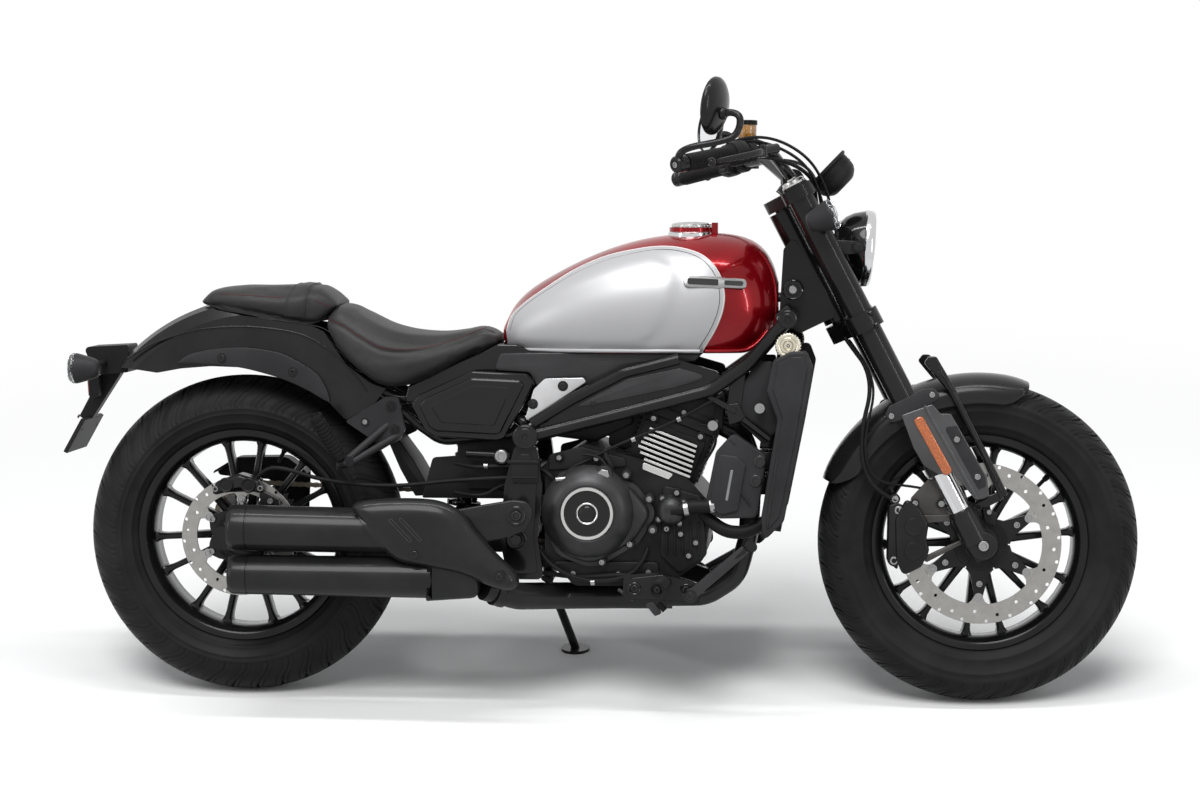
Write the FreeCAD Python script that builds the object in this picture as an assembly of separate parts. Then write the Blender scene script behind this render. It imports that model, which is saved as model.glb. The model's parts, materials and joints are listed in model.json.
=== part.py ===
import FreeCAD
import Part
import math
import os

# A cruiser motorcycle in millimetres: X forward, Y to the rider's left, Z up. It is drawn
# upright, with its origin on the road midway between the axles, and is then leaned on its
# side stand. Angles are in degrees.

# Driving dimensions
swingarm_length = 570.5
fork_reach = 645.0
front_tyre_radius = 320.2
rear_tyre_radius = 323.2
tyre_crown_radius = 75.0
tyre_wall = 9.0
tyre_tread = 13.0
front_tyre_width = 130.0
rear_tyre_width = 150.0
rim_flange_radius = 216.0
rim_flange_depth = 11.0
bead_radius = rim_flange_radius - rim_flange_depth
front_rim_half_width = 50.0
rear_rim_half_width = 57.0
axle_radius = 10.0
running_clearance = 0.05
moving_clearance = 5.0
seat_clearance = 0.3
rake = 27.3
axle_offset = 45.3
leg_offset = 38.0
leg_spacing = 104.0
steer_rest = 4.0
lean = 10.5
disc_thickness = 5.0
front_disc_radius = 160.0
rear_disc_radius = 120.0
handlebar_radius = 11.1
tank_half_width = 152.0
fender_wall = 4.0
crankcase_half_width = 120.0
swingarm_spacing = 112.0
muffler_side = -190.0

# The head and the swingarm pivot are fixed on the frame, and the axles are worked out from
# them, so a longer fork or swingarm carries its wheel with it.
head_middle = FreeCAD.Vector(406.4, 0, 872.6)
swingarm_pivot = FreeCAD.Vector(-172, 0, 330)
swingarm_drop = 6.8
rake_sin = math.sin(math.radians(rake))
rake_cos = math.cos(math.radians(rake))
steer_axis = FreeCAD.Vector(-rake_sin, 0, rake_cos)
steer_ahead = FreeCAD.Vector(rake_cos, 0, rake_sin)
steer_base = head_middle - steer_axis * fork_reach
front_axle = steer_base + steer_ahead * axle_offset
rear_axle = swingarm_pivot + FreeCAD.Vector(-swingarm_length, 0, -swingarm_drop)
across = FreeCAD.Vector(0, 1, 0)
up = FreeCAD.Vector(0, 0, 1)


def at(x, y, z):
    return FreeCAD.Vector(x, y, z)


def made_once(maker):
    # a shape that several others are fitted to is worked out once
    kept = []

    def give():
        if not kept:
            kept.append(maker())
        return kept[0].copy()

    return give


def on_fork(along, ahead, side):
    # a point measured along the steering axis from the axle, ahead of it and to the left
    return steer_base + steer_axis * along + steer_ahead * ahead + across * side


def on_side(point, sign):
    return at(point.x, sign * point.y, point.z)


def fused(shapes):
    whole = shapes[0].multiFuse(shapes[1:]) if len(shapes) > 1 else shapes[0]
    return whole.removeSplitter()


def group(shapes):
    return Part.makeCompound(shapes)


def both_sides(shape):
    return group([shape, shape.mirror(at(0, 0, 0), across)])


def rod(start, end, radius):
    return Part.makeCylinder(radius, (end - start).Length, start, end - start)


def cone(start, end, start_radius, end_radius):
    return Part.makeCone(start_radius, end_radius, (end - start).Length, start, end - start)


def rounded_path(points, radii, closed):
    # straight runs joined by tangent arcs; a zero radius keeps its corner sharp
    count = len(points)
    ends = []
    for i, point in enumerate(points):
        if radii[i] <= 0 or (not closed and i in (0, count - 1)):
            ends.append((point, None, point))
            continue
        back = points[i - 1] - point
        ahead = points[(i + 1) % count] - point
        room = 0.48 * min(back.Length, ahead.Length)
        back.normalize()
        ahead.normalize()
        half = back.getAngle(ahead) / 2
        if half > 1.56:
            ends.append((point, None, point))
            continue
        reach = min(radii[i] / math.tan(half), room)
        radius = reach * math.tan(half)
        middle = back + ahead
        middle.normalize()
        arc_middle = point + middle * (radius / math.sin(half) - radius)
        ends.append((point + back * reach, arc_middle, point + ahead * reach))
    edges = []
    for i, (arrive, arc_middle, leave) in enumerate(ends):
        if arc_middle is not None:
            edges.append(Part.Arc(arrive, arc_middle, leave).toShape())
        if closed or i < count - 1:
            follow = ends[(i + 1) % count][0]
            if (follow - leave).Length > 1e-6:
                edges.append(Part.LineSegment(leave, follow).toShape())
    return Part.Wire(edges)


def pipe(points, radius, bend):
    path = rounded_path(points, [bend] * len(points), False)
    first = points[1] - points[0]
    profile = Part.Wire([Part.makeCircle(radius, points[0], first)])
    return path.makePipeShell([profile], True, False)


def side_plate(rows, near, far):
    # a plate seen from the side: rows of x, z and corner radius, from y = near to y = far
    points = [at(x, near, z) for x, z, corner in rows]
    wire = rounded_path(points, [corner for x, z, corner in rows], True)
    return Part.Face(wire).extrude(across * (far - near))


def plate_by(anchor, rows, near, far):
    # the same, with the rows measured from an anchor point
    return side_plate([(anchor.x + x, anchor.z + z, corner) for x, z, corner in rows], near, far)


def turned(rows, centre, direction):
    # a closed profile of distance along the axis and radius, turned all the way round
    side = direction.cross(up)
    if side.Length < 1e-6:
        side = direction.cross(across)
    side.normalize()
    points = [centre + direction * along + side * radius for along, radius in rows]
    wire = Part.makePolygon(points + [points[0]])
    return Part.Face(wire).revolve(centre, direction, 360)


def body_section(x, bottom, top, half_width, foot, shoulder):
    # a closed section across the vehicle: flat foot, bulged sides and a domed top
    tall = top - bottom
    foot_side = half_width * foot
    shoulder_side = half_width * shoulder
    side_height = bottom + 0.44 * tall
    shoulder_height = bottom + 0.87 * tall
    right_foot = at(x, -foot_side, bottom)
    right_shoulder = at(x, -shoulder_side, shoulder_height)
    left_foot = at(x, foot_side, bottom)
    left_shoulder = at(x, shoulder_side, shoulder_height)
    return Part.Wire([
        Part.LineSegment(left_foot, right_foot).toShape(),
        Part.Arc(right_foot, at(x, -half_width, side_height), right_shoulder).toShape(),
        Part.Arc(right_shoulder, at(x, 0, top), left_shoulder).toShape(),
        Part.Arc(left_shoulder, at(x, half_width, side_height), left_foot).toShape(),
    ])


def lofted(rows, foot, shoulder):
    wires = [body_section(x, bottom, top, wide, foot, shoulder) for x, bottom, top, wide in rows]
    return Part.makeLoft(wires, True, False)


# ---------------------------------------------------------------- wheels
hub_radius = 36.0
spoke_pair_spacing = 360.0 / 7
spoke_pair_angle = 22.0


def tyre(axle, radius, width, rim_half):
    ring = radius - tyre_crown_radius
    seat_half = rim_half - 6
    edge = width / 2 - 1.5
    edge_radius = ring + math.sqrt(tyre_crown_radius ** 2 - edge ** 2)
    wall_middle = (edge_radius + rim_flange_radius) / 2

    inner_edge = edge - tyre_wall
    inner_edge_radius = edge_radius - tyre_wall
    inner_wall = width / 2 - tyre_wall
    inner_middle = (inner_edge_radius + bead_radius) / 2

    def spot(side, distance):
        return axle + at(0, side, distance)

    edges = [
        Part.Arc(spot(-edge, edge_radius), spot(0, radius), spot(edge, edge_radius)).toShape(),
        Part.Arc(spot(edge, edge_radius), spot(width / 2, wall_middle),
                 spot(rim_half, rim_flange_radius + 3)).toShape(),
        Part.LineSegment(spot(rim_half, rim_flange_radius + 3), spot(seat_half, rim_flange_radius)).toShape(),
        Part.LineSegment(spot(seat_half, rim_flange_radius), spot(seat_half, bead_radius)).toShape(),
        Part.LineSegment(spot(seat_half, bead_radius), spot(seat_half - 12, bead_radius)).toShape(),
        Part.Arc(spot(seat_half - 12, bead_radius), spot(inner_wall, inner_middle),
                 spot(inner_edge, inner_edge_radius)).toShape(),
        Part.Arc(spot(inner_edge, inner_edge_radius), spot(0, radius - tyre_tread),
                 spot(-inner_edge, inner_edge_radius)).toShape(),
        Part.Arc(spot(-inner_edge, inner_edge_radius), spot(-inner_wall, inner_middle),
                 spot(12 - seat_half, bead_radius)).toShape(),
        Part.LineSegment(spot(12 - seat_half, bead_radius), spot(-seat_half, bead_radius)).toShape(),
        Part.LineSegment(spot(-seat_half, bead_radius), spot(-seat_half, rim_flange_radius)).toShape(),
        Part.LineSegment(spot(-seat_half, rim_flange_radius), spot(-rim_half, rim_flange_radius + 3)).toShape(),
        Part.Arc(spot(-rim_half, rim_flange_radius + 3), spot(-width / 2, wall_middle),
                 spot(-edge, edge_radius)).toShape(),
    ]
    return Part.Face(Part.Wire(edges)).revolve(axle, across, 360)


def cast_wheel(axle, rim_half, hub_right, hub_left, first_pair):
    barrel = turned([
        (-rim_half, rim_flange_radius), (6 - rim_half, rim_flange_radius), (6 - rim_half, bead_radius),
        (rim_half - 6, bead_radius), (rim_half - 6, rim_flange_radius), (rim_half, rim_flange_radius),
        (rim_half, bead_radius - 5), (rim_half - 16, bead_radius - 15), (16 - rim_half, bead_radius - 15),
        (-rim_half, bead_radius - 5),
    ], axle, across)
    hub = turned([
        (-hub_right, axle_radius + running_clearance), (hub_left, axle_radius + running_clearance),
        (hub_left, hub_radius), (20, hub_radius), (12, hub_radius + 8), (-12, hub_radius + 8),
        (-20, hub_radius), (-hub_right, hub_radius),
    ], axle, across)
    spokes = []
    reach = bead_radius - 12
    for pair in range(7):
        for side in (-0.5, 0.5):
            angle = math.radians(first_pair + pair * spoke_pair_spacing + side * spoke_pair_angle)
            out = at(math.cos(angle), 0, math.sin(angle))
            beside = at(-math.sin(angle), 0, math.cos(angle))
            wires = []
            for distance, wide, deep in ((hub_radius - 2, 9, 24), (reach, 6, 19)):
                middle = axle + out * distance
                corners = [middle + beside * (a * wide) + across * (b * deep)
                           for a, b in ((-1, -1), (1, -1), (1, 1), (-1, 1), (-1, -1))]
                wires.append(Part.makePolygon(corners))
            spokes.append(Part.makeLoft(wires, True, True))
    return fused([barrel, hub] + spokes)


def disc_ring(axle, middle, outer, inner):
    near = middle - disc_thickness / 2
    far = middle + disc_thickness / 2
    return turned([(near, inner), (far, inner), (far, outer), (near, outer)], axle, across)


def disc_carrier(axle, middle, inner, seat, hub_bore):
    # a six-armed spider from the hub's end face out to the disc's inner edge
    near = middle - disc_thickness / 2
    spider = [turned([(near, hub_bore), (seat, hub_bore), (seat, 58), (near, 58)], axle, across)]
    for arm in range(6):
        angle = math.radians(60 * arm + 15)
        out = at(math.cos(angle), 0, math.sin(angle))
        beside = at(-math.sin(angle), 0, math.cos(angle))
        corners = [axle + out * distance + beside * wide + across * near
                   for distance, wide in ((50, -16), (inner + 4, -9), (inner + 4, 9), (50, 16))]
        arm_face = Part.Face(Part.makePolygon(corners + [corners[0]]))
        spider.append(arm_face.extrude(across * disc_thickness))
    return fused(spider)


# the front disc stands beside the hub's right end, the rear one likewise
front_disc_side = -68.0
rear_disc_side = -80.0
front_hub_end = 60.0
rear_hub_right = 70.0
rear_hub_left = 66.0
sprocket_side = 90.0
sprocket_radius = 88.0
sprocket_thickness = 7.0


def front_wheel_rim():
    return cast_wheel(front_axle, front_rim_half_width, front_hub_end, front_hub_end, 17.0)


def rear_wheel_rim():
    return cast_wheel(rear_axle, rear_rim_half_width, rear_hub_right, rear_hub_left, 40.0)


def front_tyre():
    return tyre(front_axle, front_tyre_radius, front_tyre_width, front_rim_half_width)


def rear_tyre():
    return tyre(rear_axle, rear_tyre_radius, rear_tyre_width, rear_rim_half_width)


@made_once
def front_brake_disc():
    return disc_ring(front_axle, front_disc_side, front_disc_radius, 118)


def front_disc_carrier():
    spider = disc_carrier(front_axle, front_disc_side, 118, -front_hub_end, 18)
    return spider.cut(front_brake_disc())


@made_once
def rear_brake_disc():
    return disc_ring(rear_axle, rear_disc_side, rear_disc_radius, 85)


def rear_disc_carrier():
    spider = disc_carrier(rear_axle, rear_disc_side, 85, -rear_hub_right, 18)
    return spider.cut(rear_brake_disc())


def rear_sprocket():
    near = sprocket_side - sprocket_thickness / 2
    far = sprocket_side + sprocket_thickness / 2
    plate = turned([(rear_hub_left, 18), (far, 18), (far, sprocket_radius), (near, sprocket_radius),
                    (near, 52), (rear_hub_left, 52)], rear_axle, across)
    return plate


# ---------------------------------------------------------------- steering group
stem_radius = 16.0
head_tube_radius = 30.0
head_half = 123.0
clamp_gap = 4.0
head_bottom = fork_reach - head_half
head_top = fork_reach + head_half
lower_clamp = (head_bottom - clamp_gap - 36, head_bottom - clamp_gap)
upper_clamp = (head_top + clamp_gap, head_top + clamp_gap + 24)
outer_tube_radius = 26.0
inner_tube_radius = 20.5
outer_tube_bottom = fork_reach - 360
head_cross = FreeCAD.Vector(364, 0, 770)
lug_top = 82.0


def clamp_plate(bottom, top, leg_reach, stem_reach):
    # a bridge round both legs and the stem, square to the steering axis
    tall = top - bottom
    pieces = [Part.makeCylinder(stem_reach, tall, on_fork(bottom, 0, 0), steer_axis)]
    for side in (-leg_spacing, leg_spacing):
        pieces.append(Part.makeCylinder(leg_reach, tall, on_fork(bottom, leg_offset, side), steer_axis))
    corners = [on_fork(bottom, ahead, side) for ahead, side in (
        (leg_offset + 20, -leg_spacing), (leg_offset + 20, leg_spacing), (leg_offset - 22, leg_spacing),
        (-stem_reach + 4, 24), (-stem_reach + 4, -24), (leg_offset - 22, -leg_spacing))]
    web = Part.Face(Part.makePolygon(corners + [corners[0]])).extrude(steer_axis * tall)
    return fused(pieces + [web])


def legs(radius, bottom, top):
    return [rod(on_fork(bottom, leg_offset, side), on_fork(top, leg_offset, side), radius)
            for side in (-leg_spacing, leg_spacing)]


def lower_triple_clamp():
    plate = clamp_plate(lower_clamp[0], lower_clamp[1], outer_tube_radius + 9, 32)
    stem = rod(on_fork(lower_clamp[1] - 1, 0, 0), on_fork(upper_clamp[0], 0, 0), stem_radius)
    whole = fused([plate, stem])
    return whole.cut(group(legs(outer_tube_radius, outer_tube_bottom, upper_clamp[1] + 6)))


def upper_triple_clamp():
    plate = clamp_plate(upper_clamp[0], upper_clamp[1], outer_tube_radius + 8, 30)
    return plate.cut(group(legs(outer_tube_radius, outer_tube_bottom, upper_clamp[1] + 6)))


@made_once
def fork_outer_tubes():
    return group(legs(outer_tube_radius, outer_tube_bottom, upper_clamp[1] + 6))


@made_once
def fork_inner_tubes():
    return group(legs(inner_tube_radius, lug_top, outer_tube_bottom))


@made_once
def fork_lugs():
    # the leg's lower end: a socket for the tube, a foot round the axle
    pieces = []
    for side in (-leg_spacing, leg_spacing):
        socket = rod(on_fork(10, leg_offset, side), on_fork(lug_top, leg_offset, side), 27)
        foot = Part.makeCylinder(27, 44, front_axle + at(0, side - 22, 0), across)
        lug = fused([socket, foot])
        pieces.append(lug.cut(Part.makeCylinder(axle_radius, 60, front_axle + at(0, side - 30, 0), across)))
    return group(pieces)


axle_bore_radius = 6.0


def front_axle_shaft():
    reach = leg_spacing + 26
    shaft = Part.makeCylinder(axle_radius, 2 * reach, front_axle - across * reach, across)
    lug_face = leg_spacing - 22
    right = rod(front_axle - across * lug_face,
                front_axle + across * (front_disc_side - disc_thickness / 2 - seat_clearance), 14)
    left = rod(front_axle + across * (front_hub_end + seat_clearance), front_axle + across * lug_face, 14)
    whole = fused([shaft, right, left]).cut(group([fork_lugs(), fork_inner_tubes()]))
    return whole.cut(Part.makeCylinder(axle_bore_radius, 2 * reach, front_axle - across * reach, across))


front_fender_gap = 17.8
front_fender_radius = front_tyre_radius + front_fender_gap
front_fender_half = 74.0
front_fender_wall = 3.0
front_fender_start = 74.0
front_fender_end = 158.0


def fork_guards():
    # gunmetal shields on the outside of the inner tubes, hung from a collar on each outer tube
    pieces = []
    head = outer_tube_bottom
    rows = ((90, 74), (82, 104), (head - 23, 106), (head + 5, 96), (head + 15, 12), (head - 13, 12),
            (head - 45, 16), (160, 30))
    ring_radius = leg_spacing - front_fender_half - seat_clearance
    for sign in (-1, 1):
        near = sign * (leg_spacing + outer_tube_radius + seat_clearance)
        corners = [on_fork(along, ahead, near) for along, ahead in rows]
        face = Part.Face(Part.makePolygon(corners + [corners[0]]))
        skin = face.extrude(across * (sign * 5))
        ring = rod(on_fork(outer_tube_bottom + 1, leg_offset, sign * leg_spacing),
                   on_fork(outer_tube_bottom + 19, leg_offset, sign * leg_spacing), ring_radius)
        saddle = rod(on_fork(180, leg_offset, sign * (leg_spacing + inner_tube_radius - 2)),
                     on_fork(180, leg_offset, near), 12)
        block = rod(on_fork(180, leg_offset + 30, sign * (leg_spacing - 6)),
                    on_fork(180, leg_offset + 30, near), 12)
        collar = rod(on_fork(166, leg_offset, sign * leg_spacing),
                     on_fork(194, leg_offset, sign * leg_spacing), inner_tube_radius + 6)
        tube = rod(on_fork(150, leg_offset, sign * leg_spacing),
                   on_fork(210, leg_offset, sign * leg_spacing), inner_tube_radius)
        pieces.append(fused([skin, saddle, block, collar, ring]).cut(tube))
    return group(pieces).cut(fork_outer_tubes())


def front_fender():
    wall = front_fender_wall
    half = front_fender_half
    crown = front_fender_radius

    def spot(side, distance):
        return front_axle + at(0, side, distance)

    edges = [
        Part.LineSegment(spot(-half, crown - 58), spot(-half, crown - 26)).toShape(),
        Part.Arc(spot(-half, crown - 26), spot(0, crown), spot(half, crown - 26)).toShape(),
        Part.LineSegment(spot(half, crown - 26), spot(half, crown - 58)).toShape(),
        Part.LineSegment(spot(half, crown - 58), spot(half - wall, crown - 58)).toShape(),
        Part.LineSegment(spot(half - wall, crown - 58), spot(half - wall, crown - 27)).toShape(),
        Part.Arc(spot(half - wall, crown - 27), spot(0, crown - wall), spot(wall - half, crown - 27)).toShape(),
        Part.LineSegment(spot(wall - half, crown - 27), spot(wall - half, crown - 58)).toShape(),
        Part.LineSegment(spot(wall - half, crown - 58), spot(-half, crown - 58)).toShape(),
    ]
    face = Part.Face(Part.Wire(edges))
    face.rotate(front_axle, across, 90 - front_fender_start)
    return face.revolve(front_axle, across, front_fender_start - front_fender_end)


def fender_stays():
    # a bar ahead of each leg that carries the fender, footed on the lug
    pieces = []
    rows = ((66, 122), (66, 138), (300, 140), (372, 134), (378, 108), (352, 112), (300, 124), (150, 124))
    for sign in (-1, 1):
        inner = sign * (front_fender_half + seat_clearance)
        outer = sign * (front_fender_half + 12)
        corners = [on_fork(along, ahead, inner) for along, ahead in rows]
        bar = Part.Face(Part.makePolygon(corners + [corners[0]])).extrude(across * (outer - inner))
        arm_rows = ((66, 60), (66, 126), (78, 126), (78, 60))
        arm_corners = [on_fork(along, ahead, inner) for along, ahead in arm_rows]
        arm = Part.Face(Part.makePolygon(arm_corners + [arm_corners[0]])).extrude(across * (outer - inner))
        pieces.append(fused([bar, arm]))
    return group(pieces).cut(fork_lugs())


bar_middle = at(368, 0, 1040)
grip_root = at(262, 285, 1086)
grip_end = at(152, 392, 1061)
lever_root = at(275, 268, 1087)
grip_radius = 17.0


def grip_line(sign):
    # the direction outwards along a grip, and the one square to it, ahead of the bar
    run = on_side(grip_end - grip_root, sign)
    run.normalize()
    ahead = run.cross(up) * sign
    ahead.normalize()
    return run, ahead


@made_once
def handlebar():
    left = [bar_middle + across * 64, at(318, 200, 1092), grip_root, grip_end]
    right = [on_side(point, -1) for point in left]
    return pipe(list(reversed(left)) + right, handlebar_radius, 50)


@made_once
def handlebar_clamp():
    pieces = []
    for side in (-38, 38):
        foot = on_fork(upper_clamp[1], 12, side)
        pieces.append(rod(foot, bar_middle + across * side, 14))
        pieces.append(Part.makeCylinder(22, 26, bar_middle + at(0, side - 13, 1), across))
    pieces.append(Part.makeBox(30, 76, 12, bar_middle + at(-15, -38, -22)))
    return fused(pieces).cut(handlebar())


def grips():
    pieces = []
    for sign in (-1, 1):
        outer = on_side(grip_end, sign)
        run, ahead = grip_line(sign)
        grip = rod(outer - run * 122, outer - run * 2, grip_radius)
        pieces.append(grip.cut(rod(outer - run * 130, outer + run * 5, handlebar_radius)))
    return group(pieces)


def switch_housings():
    pieces = []
    for sign in (-1, 1):
        run, ahead = grip_line(sign)
        start = on_side(grip_end, sign) - run * 150
        case = rod(start - run * 8, start + run * 28, 24)
        pieces.append(case.cut(rod(start - run * 30, start + run * 40, handlebar_radius)))
    return group(pieces)


reservoir_base = at(272, 222, 1112)
reservoir_radius = 19.0


def levers():
    # clutch lever on the left, brake lever and its fluid reservoir on the right, each on its clamp
    pieces = []
    for sign in (-1, 1):
        run, ahead = grip_line(sign)
        root = on_side(lever_root, sign)
        collar = rod(root - run * 9, root + run * 7, 20)
        knuckle = rod(root + ahead * 15, root + ahead * 40, 11)
        blade = pipe([root + ahead * 36, root + ahead * 52 + run * 40, root + ahead * 50 + run * 150], 5, 30)
        ball = Part.makeSphere(8, root + ahead * 50 + run * 152)
        parts = [collar, knuckle, blade, ball]
        if sign < 0:
            base = on_side(reservoir_base, sign)
            cylinder_end = root + ahead * 26 - run * 52
            parts.append(rod(root + ahead * 26, cylinder_end, 10))
            parts.append(rod(cylinder_end, base + up * 4, 6))
            parts.append(rod(base, base + up * 30, reservoir_radius))
            parts.append(rod(base + up * 29, base + up * 38, reservoir_radius + 1.5))
        pieces.append(fused(parts).cut(handlebar()))
    return group(pieces)


mirror_centre = at(232, 402, 1178)
mirror_facing = at(-1, 0, 0.14)
mirror_facing.normalize()
mirror_radius = 55.0


def bar_end_mirrors():
    # weight and arm on the bar's end; the round housing faces back to the rider
    rims = ((-14, 0), (-14, 18), (-9, 38), (0, mirror_radius - 2), (4, mirror_radius), (10, mirror_radius),
            (10, mirror_radius - 4), (7, mirror_radius - 4), (7, 0))
    pieces = []
    for sign in (-1, 1):
        outer = on_side(grip_end, sign)
        run, ahead = grip_line(sign)
        weight = rod(outer, outer + run * 26, 15)
        head = turned(rims, on_side(mirror_centre, sign), mirror_facing)
        arm = pipe([outer + run * 18, at(150, sign * 424, 1092), at(196, sign * 424, 1110),
                    on_side(mirror_centre, sign) + at(0, sign * 6, -32)], 6, 14)
        pieces.append(fused([weight, arm, head]))
    return group(pieces)


headlight_centre = at(504, 0, 907)
headlight_radius = 76.0


headlight_facing = at(1, 0, -0.09)
headlight_facing.normalize()


@made_once
def headlight_bowl():
    facing = headlight_facing
    return turned([(-56, 0), (-54, 30), (-44, 52), (-24, 68), (0, headlight_radius - 2), (10, headlight_radius - 2),
                   (10, 0)], headlight_centre, facing)


def headlight_lens():
    front = headlight_centre + headlight_facing * 10
    return turned([(0, 0), (0, headlight_radius), (10, headlight_radius), (14, headlight_radius - 7),
                   (18, headlight_radius - 22), (21, 0)], front, headlight_facing)


def headlight_bracket():
    # an ear from each fork leg to the bowl's side
    ears = [rod(headlight_centre + at(-74, sign * (leg_spacing - 6), 0),
                headlight_centre + at(-10, sign * (headlight_radius - 8), 0), 9) for sign in (-1, 1)]
    return group(ears).cut(group([headlight_bowl(), fork_outer_tubes()]))


def gauge_pod():
    facing = at(-0.72, 0, 0.69)
    facing.normalize()
    centre = at(446, 0, 1056)
    pod = turned([(-26, 0), (-26, 30), (-14, 44), (10, 50), (16, 50), (16, 46), (12, 44), (12, 0)],
                 centre, facing)
    stalk = rod(on_fork(upper_clamp[1], leg_offset + 18, 0), centre - facing * 20, 8)
    return fused([pod, stalk]).cut(triple_clamps())


def signal_lamp(centre, facing):
    # a conical housing whose clear lens is its wide end; the centre is the housing's middle
    return turned([(-26, 0), (-26, 15), (-20, 19), (22, 31), (27, 31), (34, 27), (37, 0)], centre, facing)


front_signal_centre = at(416, 160, 961)
front_signal_facing = at(0.93, 0, 0.36)
front_signal_facing.normalize()


def front_signals():
    solids = []
    for sign in (-1, 1):
        centre = on_side(front_signal_centre, sign)
        root = at(centre.x, sign * (leg_spacing + outer_tube_radius - 8), centre.z)
        arm = rod(root, centre - across * (sign * 10), 8)
        lamp = signal_lamp(centre, front_signal_facing)
        solids.append(fused([arm, lamp]))
    return group(solids).cut(fork_outer_tubes())


caliper_gap = moving_clearance + disc_thickness / 2


@made_once
def front_caliper():
    # two halves that straddle the disc, carried on ears behind the right leg
    outer_near = front_disc_side - caliper_gap
    inner_near = front_disc_side + caliper_gap
    rows = [(-146, 90, 8), (-110, 52, 8), (-102, 10, 8), (-110, -28, 8), (-152, -58, 8), (-168, -20, 8),
            (-170, 40, 8)]
    outer = plate_by(front_axle, rows, outer_near, outer_near - 20)
    inner = plate_by(front_axle, rows, inner_near, inner_near + 18)
    bridge_rows = [(-152, 85, 5), (-168, 46, 5), (-171, 0, 5), (-162, -48, 5), (-176, -40, 5),
                   (-185, 10, 5), (-180, 65, 5)]
    bridge = plate_by(front_axle, bridge_rows, outer_near - 20, inner_near + 18)
    ear = plate_by(front_axle, [(-142, 76, 4), (-70, 68, 4), (-66, 46, 4), (-117, 40, 4)],
                   outer_near, outer_near - 14)
    lower_ear = plate_by(front_axle, [(-114, 10, 4), (-30, 30, 4), (-26, 6, 4), (-108, -20, 4)],
                         outer_near, outer_near - 14)
    whole = fused([outer, inner, bridge, ear, lower_ear])
    clear = Part.makeCylinder(front_disc_radius + moving_clearance, 2 * caliper_gap,
                              front_axle + across * outer_near, across)
    return whole.cut(clear).cut(group([fork_lugs(), fork_inner_tubes()]))


def brake_hose():
    # from the lower clamp down behind the right leg to the caliper
    points = [at(472, -60, 728), at(476, -78, 690), at(497, -92, 640), at(502, -96, 590), at(498, -98, 540),
              at(510, -96, 480), at(540, -94, 430), at(578, -92, 400)]
    return pipe(points, 4, 60).cut(group([front_caliper(), triple_clamps()]))


def control_cables():
    # two throttle cables and the upper brake hose on the right, the clutch cable on the left:
    # each runs from the bar over the upper clamp and down to the lower one. Columns: the side,
    # the cable's radius, then its points.
    routes = (
        (-1, 3.0, ((232, 306, 1102), (300, 268, 1128), (392, 170, 1112), (424, 70, 1040), (436, 52, 920),
                   (498, 48, 770))),
        (-1, 3.0, ((240, 298, 1108), (306, 256, 1142), (408, 150, 1124), (436, 62, 1040), (448, 62, 920),
                   (506, 60, 770))),
        (-1, 4.0, ((296, 232, 1080), (330, 190, 1072), (404, 120, 1050), (412, 40, 1030), (428, 38, 920),
                   (488, 34, 768))),
        (1, 3.5, ((296, 268, 1080), (350, 230, 1092), (410, 140, 1070), (426, 56, 1030), (438, 52, 920),
                  (498, 48, 770))),
    )
    pieces = []
    for sign, radius, route in routes:
        points = [at(x, sign * y, z) for x, y, z in route]
        pieces.append(pipe(points, radius, 12 * radius))
    return group(pieces).cut(group([triple_clamps(), hand_controls(), handlebar()]))


# ---------------------------------------------------------------- frame
rail_side = 130.0
rail_radius = 14.0
plate_inner = 124.0


def steering_head():
    tube = rod(on_fork(head_bottom, 0, 0), on_fork(head_top, 0, 0), head_tube_radius)
    gusset = side_plate([(458, 772, 10), (438, 822, 8), (372, 930, 10), (352, 905, 10), (344, 766, 14),
                         (384, 736, 14)], -34, 34)
    half = rail_side - rail_radius
    crossing = Part.makeCylinder(16, 2 * half, head_cross - across * half, across)
    mounts = [rod(at(336, side, 808), at(358, side, 808), 9) for side in (-22, 22)]
    whole = fused([tube, gusset, crossing] + mounts).cut(fuel_tank())
    bore = rod(on_fork(head_bottom - 5, 0, 0), on_fork(head_top + 5, 0, 0), stem_radius + running_clearance)
    return whole.cut(bore)


@made_once
def frame_rails():
    # each side: an upper tube, a lower tube, the panel between them and the pivot boss
    y = -rail_side
    lower = pipe([at(-150, y, 535), at(-80, y, 552), at(80, y, 594), at(215, y, 630), at(290, y, 684),
                  head_cross + across * y], rail_radius, 90)
    upper = pipe([at(-142, y, 560), at(-60, y, 610), at(40, y, 662), at(150, y, 690)], rail_radius - 2, 60)
    web = side_plate([(-140, 540, 0), (-60, 562, 0), (80, 598, 0), (205, 632, 0), (240, 662, 10),
                      (150, 688, 10), (40, 660, 0), (-60, 608, 0)], y - 5, y + 5)
    boss = Part.makeCylinder(25, 44, at(-154, y - 22, 535), across)
    head_boss = Part.makeCylinder(19, 2 * rail_radius, head_cross + across * (y - rail_radius), across)
    tank_rest = at(60, 0, 669)
    half = rail_side - rail_radius
    crossing = Part.makeCylinder(11, 2 * half, tank_rest - across * half, across)
    pads = [rod(tank_rest + across * side, tank_rest + at(0, side, 36), 13) for side in (-60, 60)]
    sides = both_sides(fused([lower, upper, web, boss, head_boss])).Solids
    return fused(sides + [crossing] + pads).cut(fuel_tank())


@made_once
def frame_plates():
    # cast side plates from the pivot boss down past the swingarm pivot
    rows = [(-176, 516, 10), (-132, 516, 10), (-122, 440, 20), (-130, 330, 20), (-118, 250, 12),
            (-190, 250, 12), (-206, 330, 20), (-196, 440, 20)]
    plate = side_plate(rows, -plate_inner - 18, -plate_inner)
    return both_sides(plate).cut(frame_rails())


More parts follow.
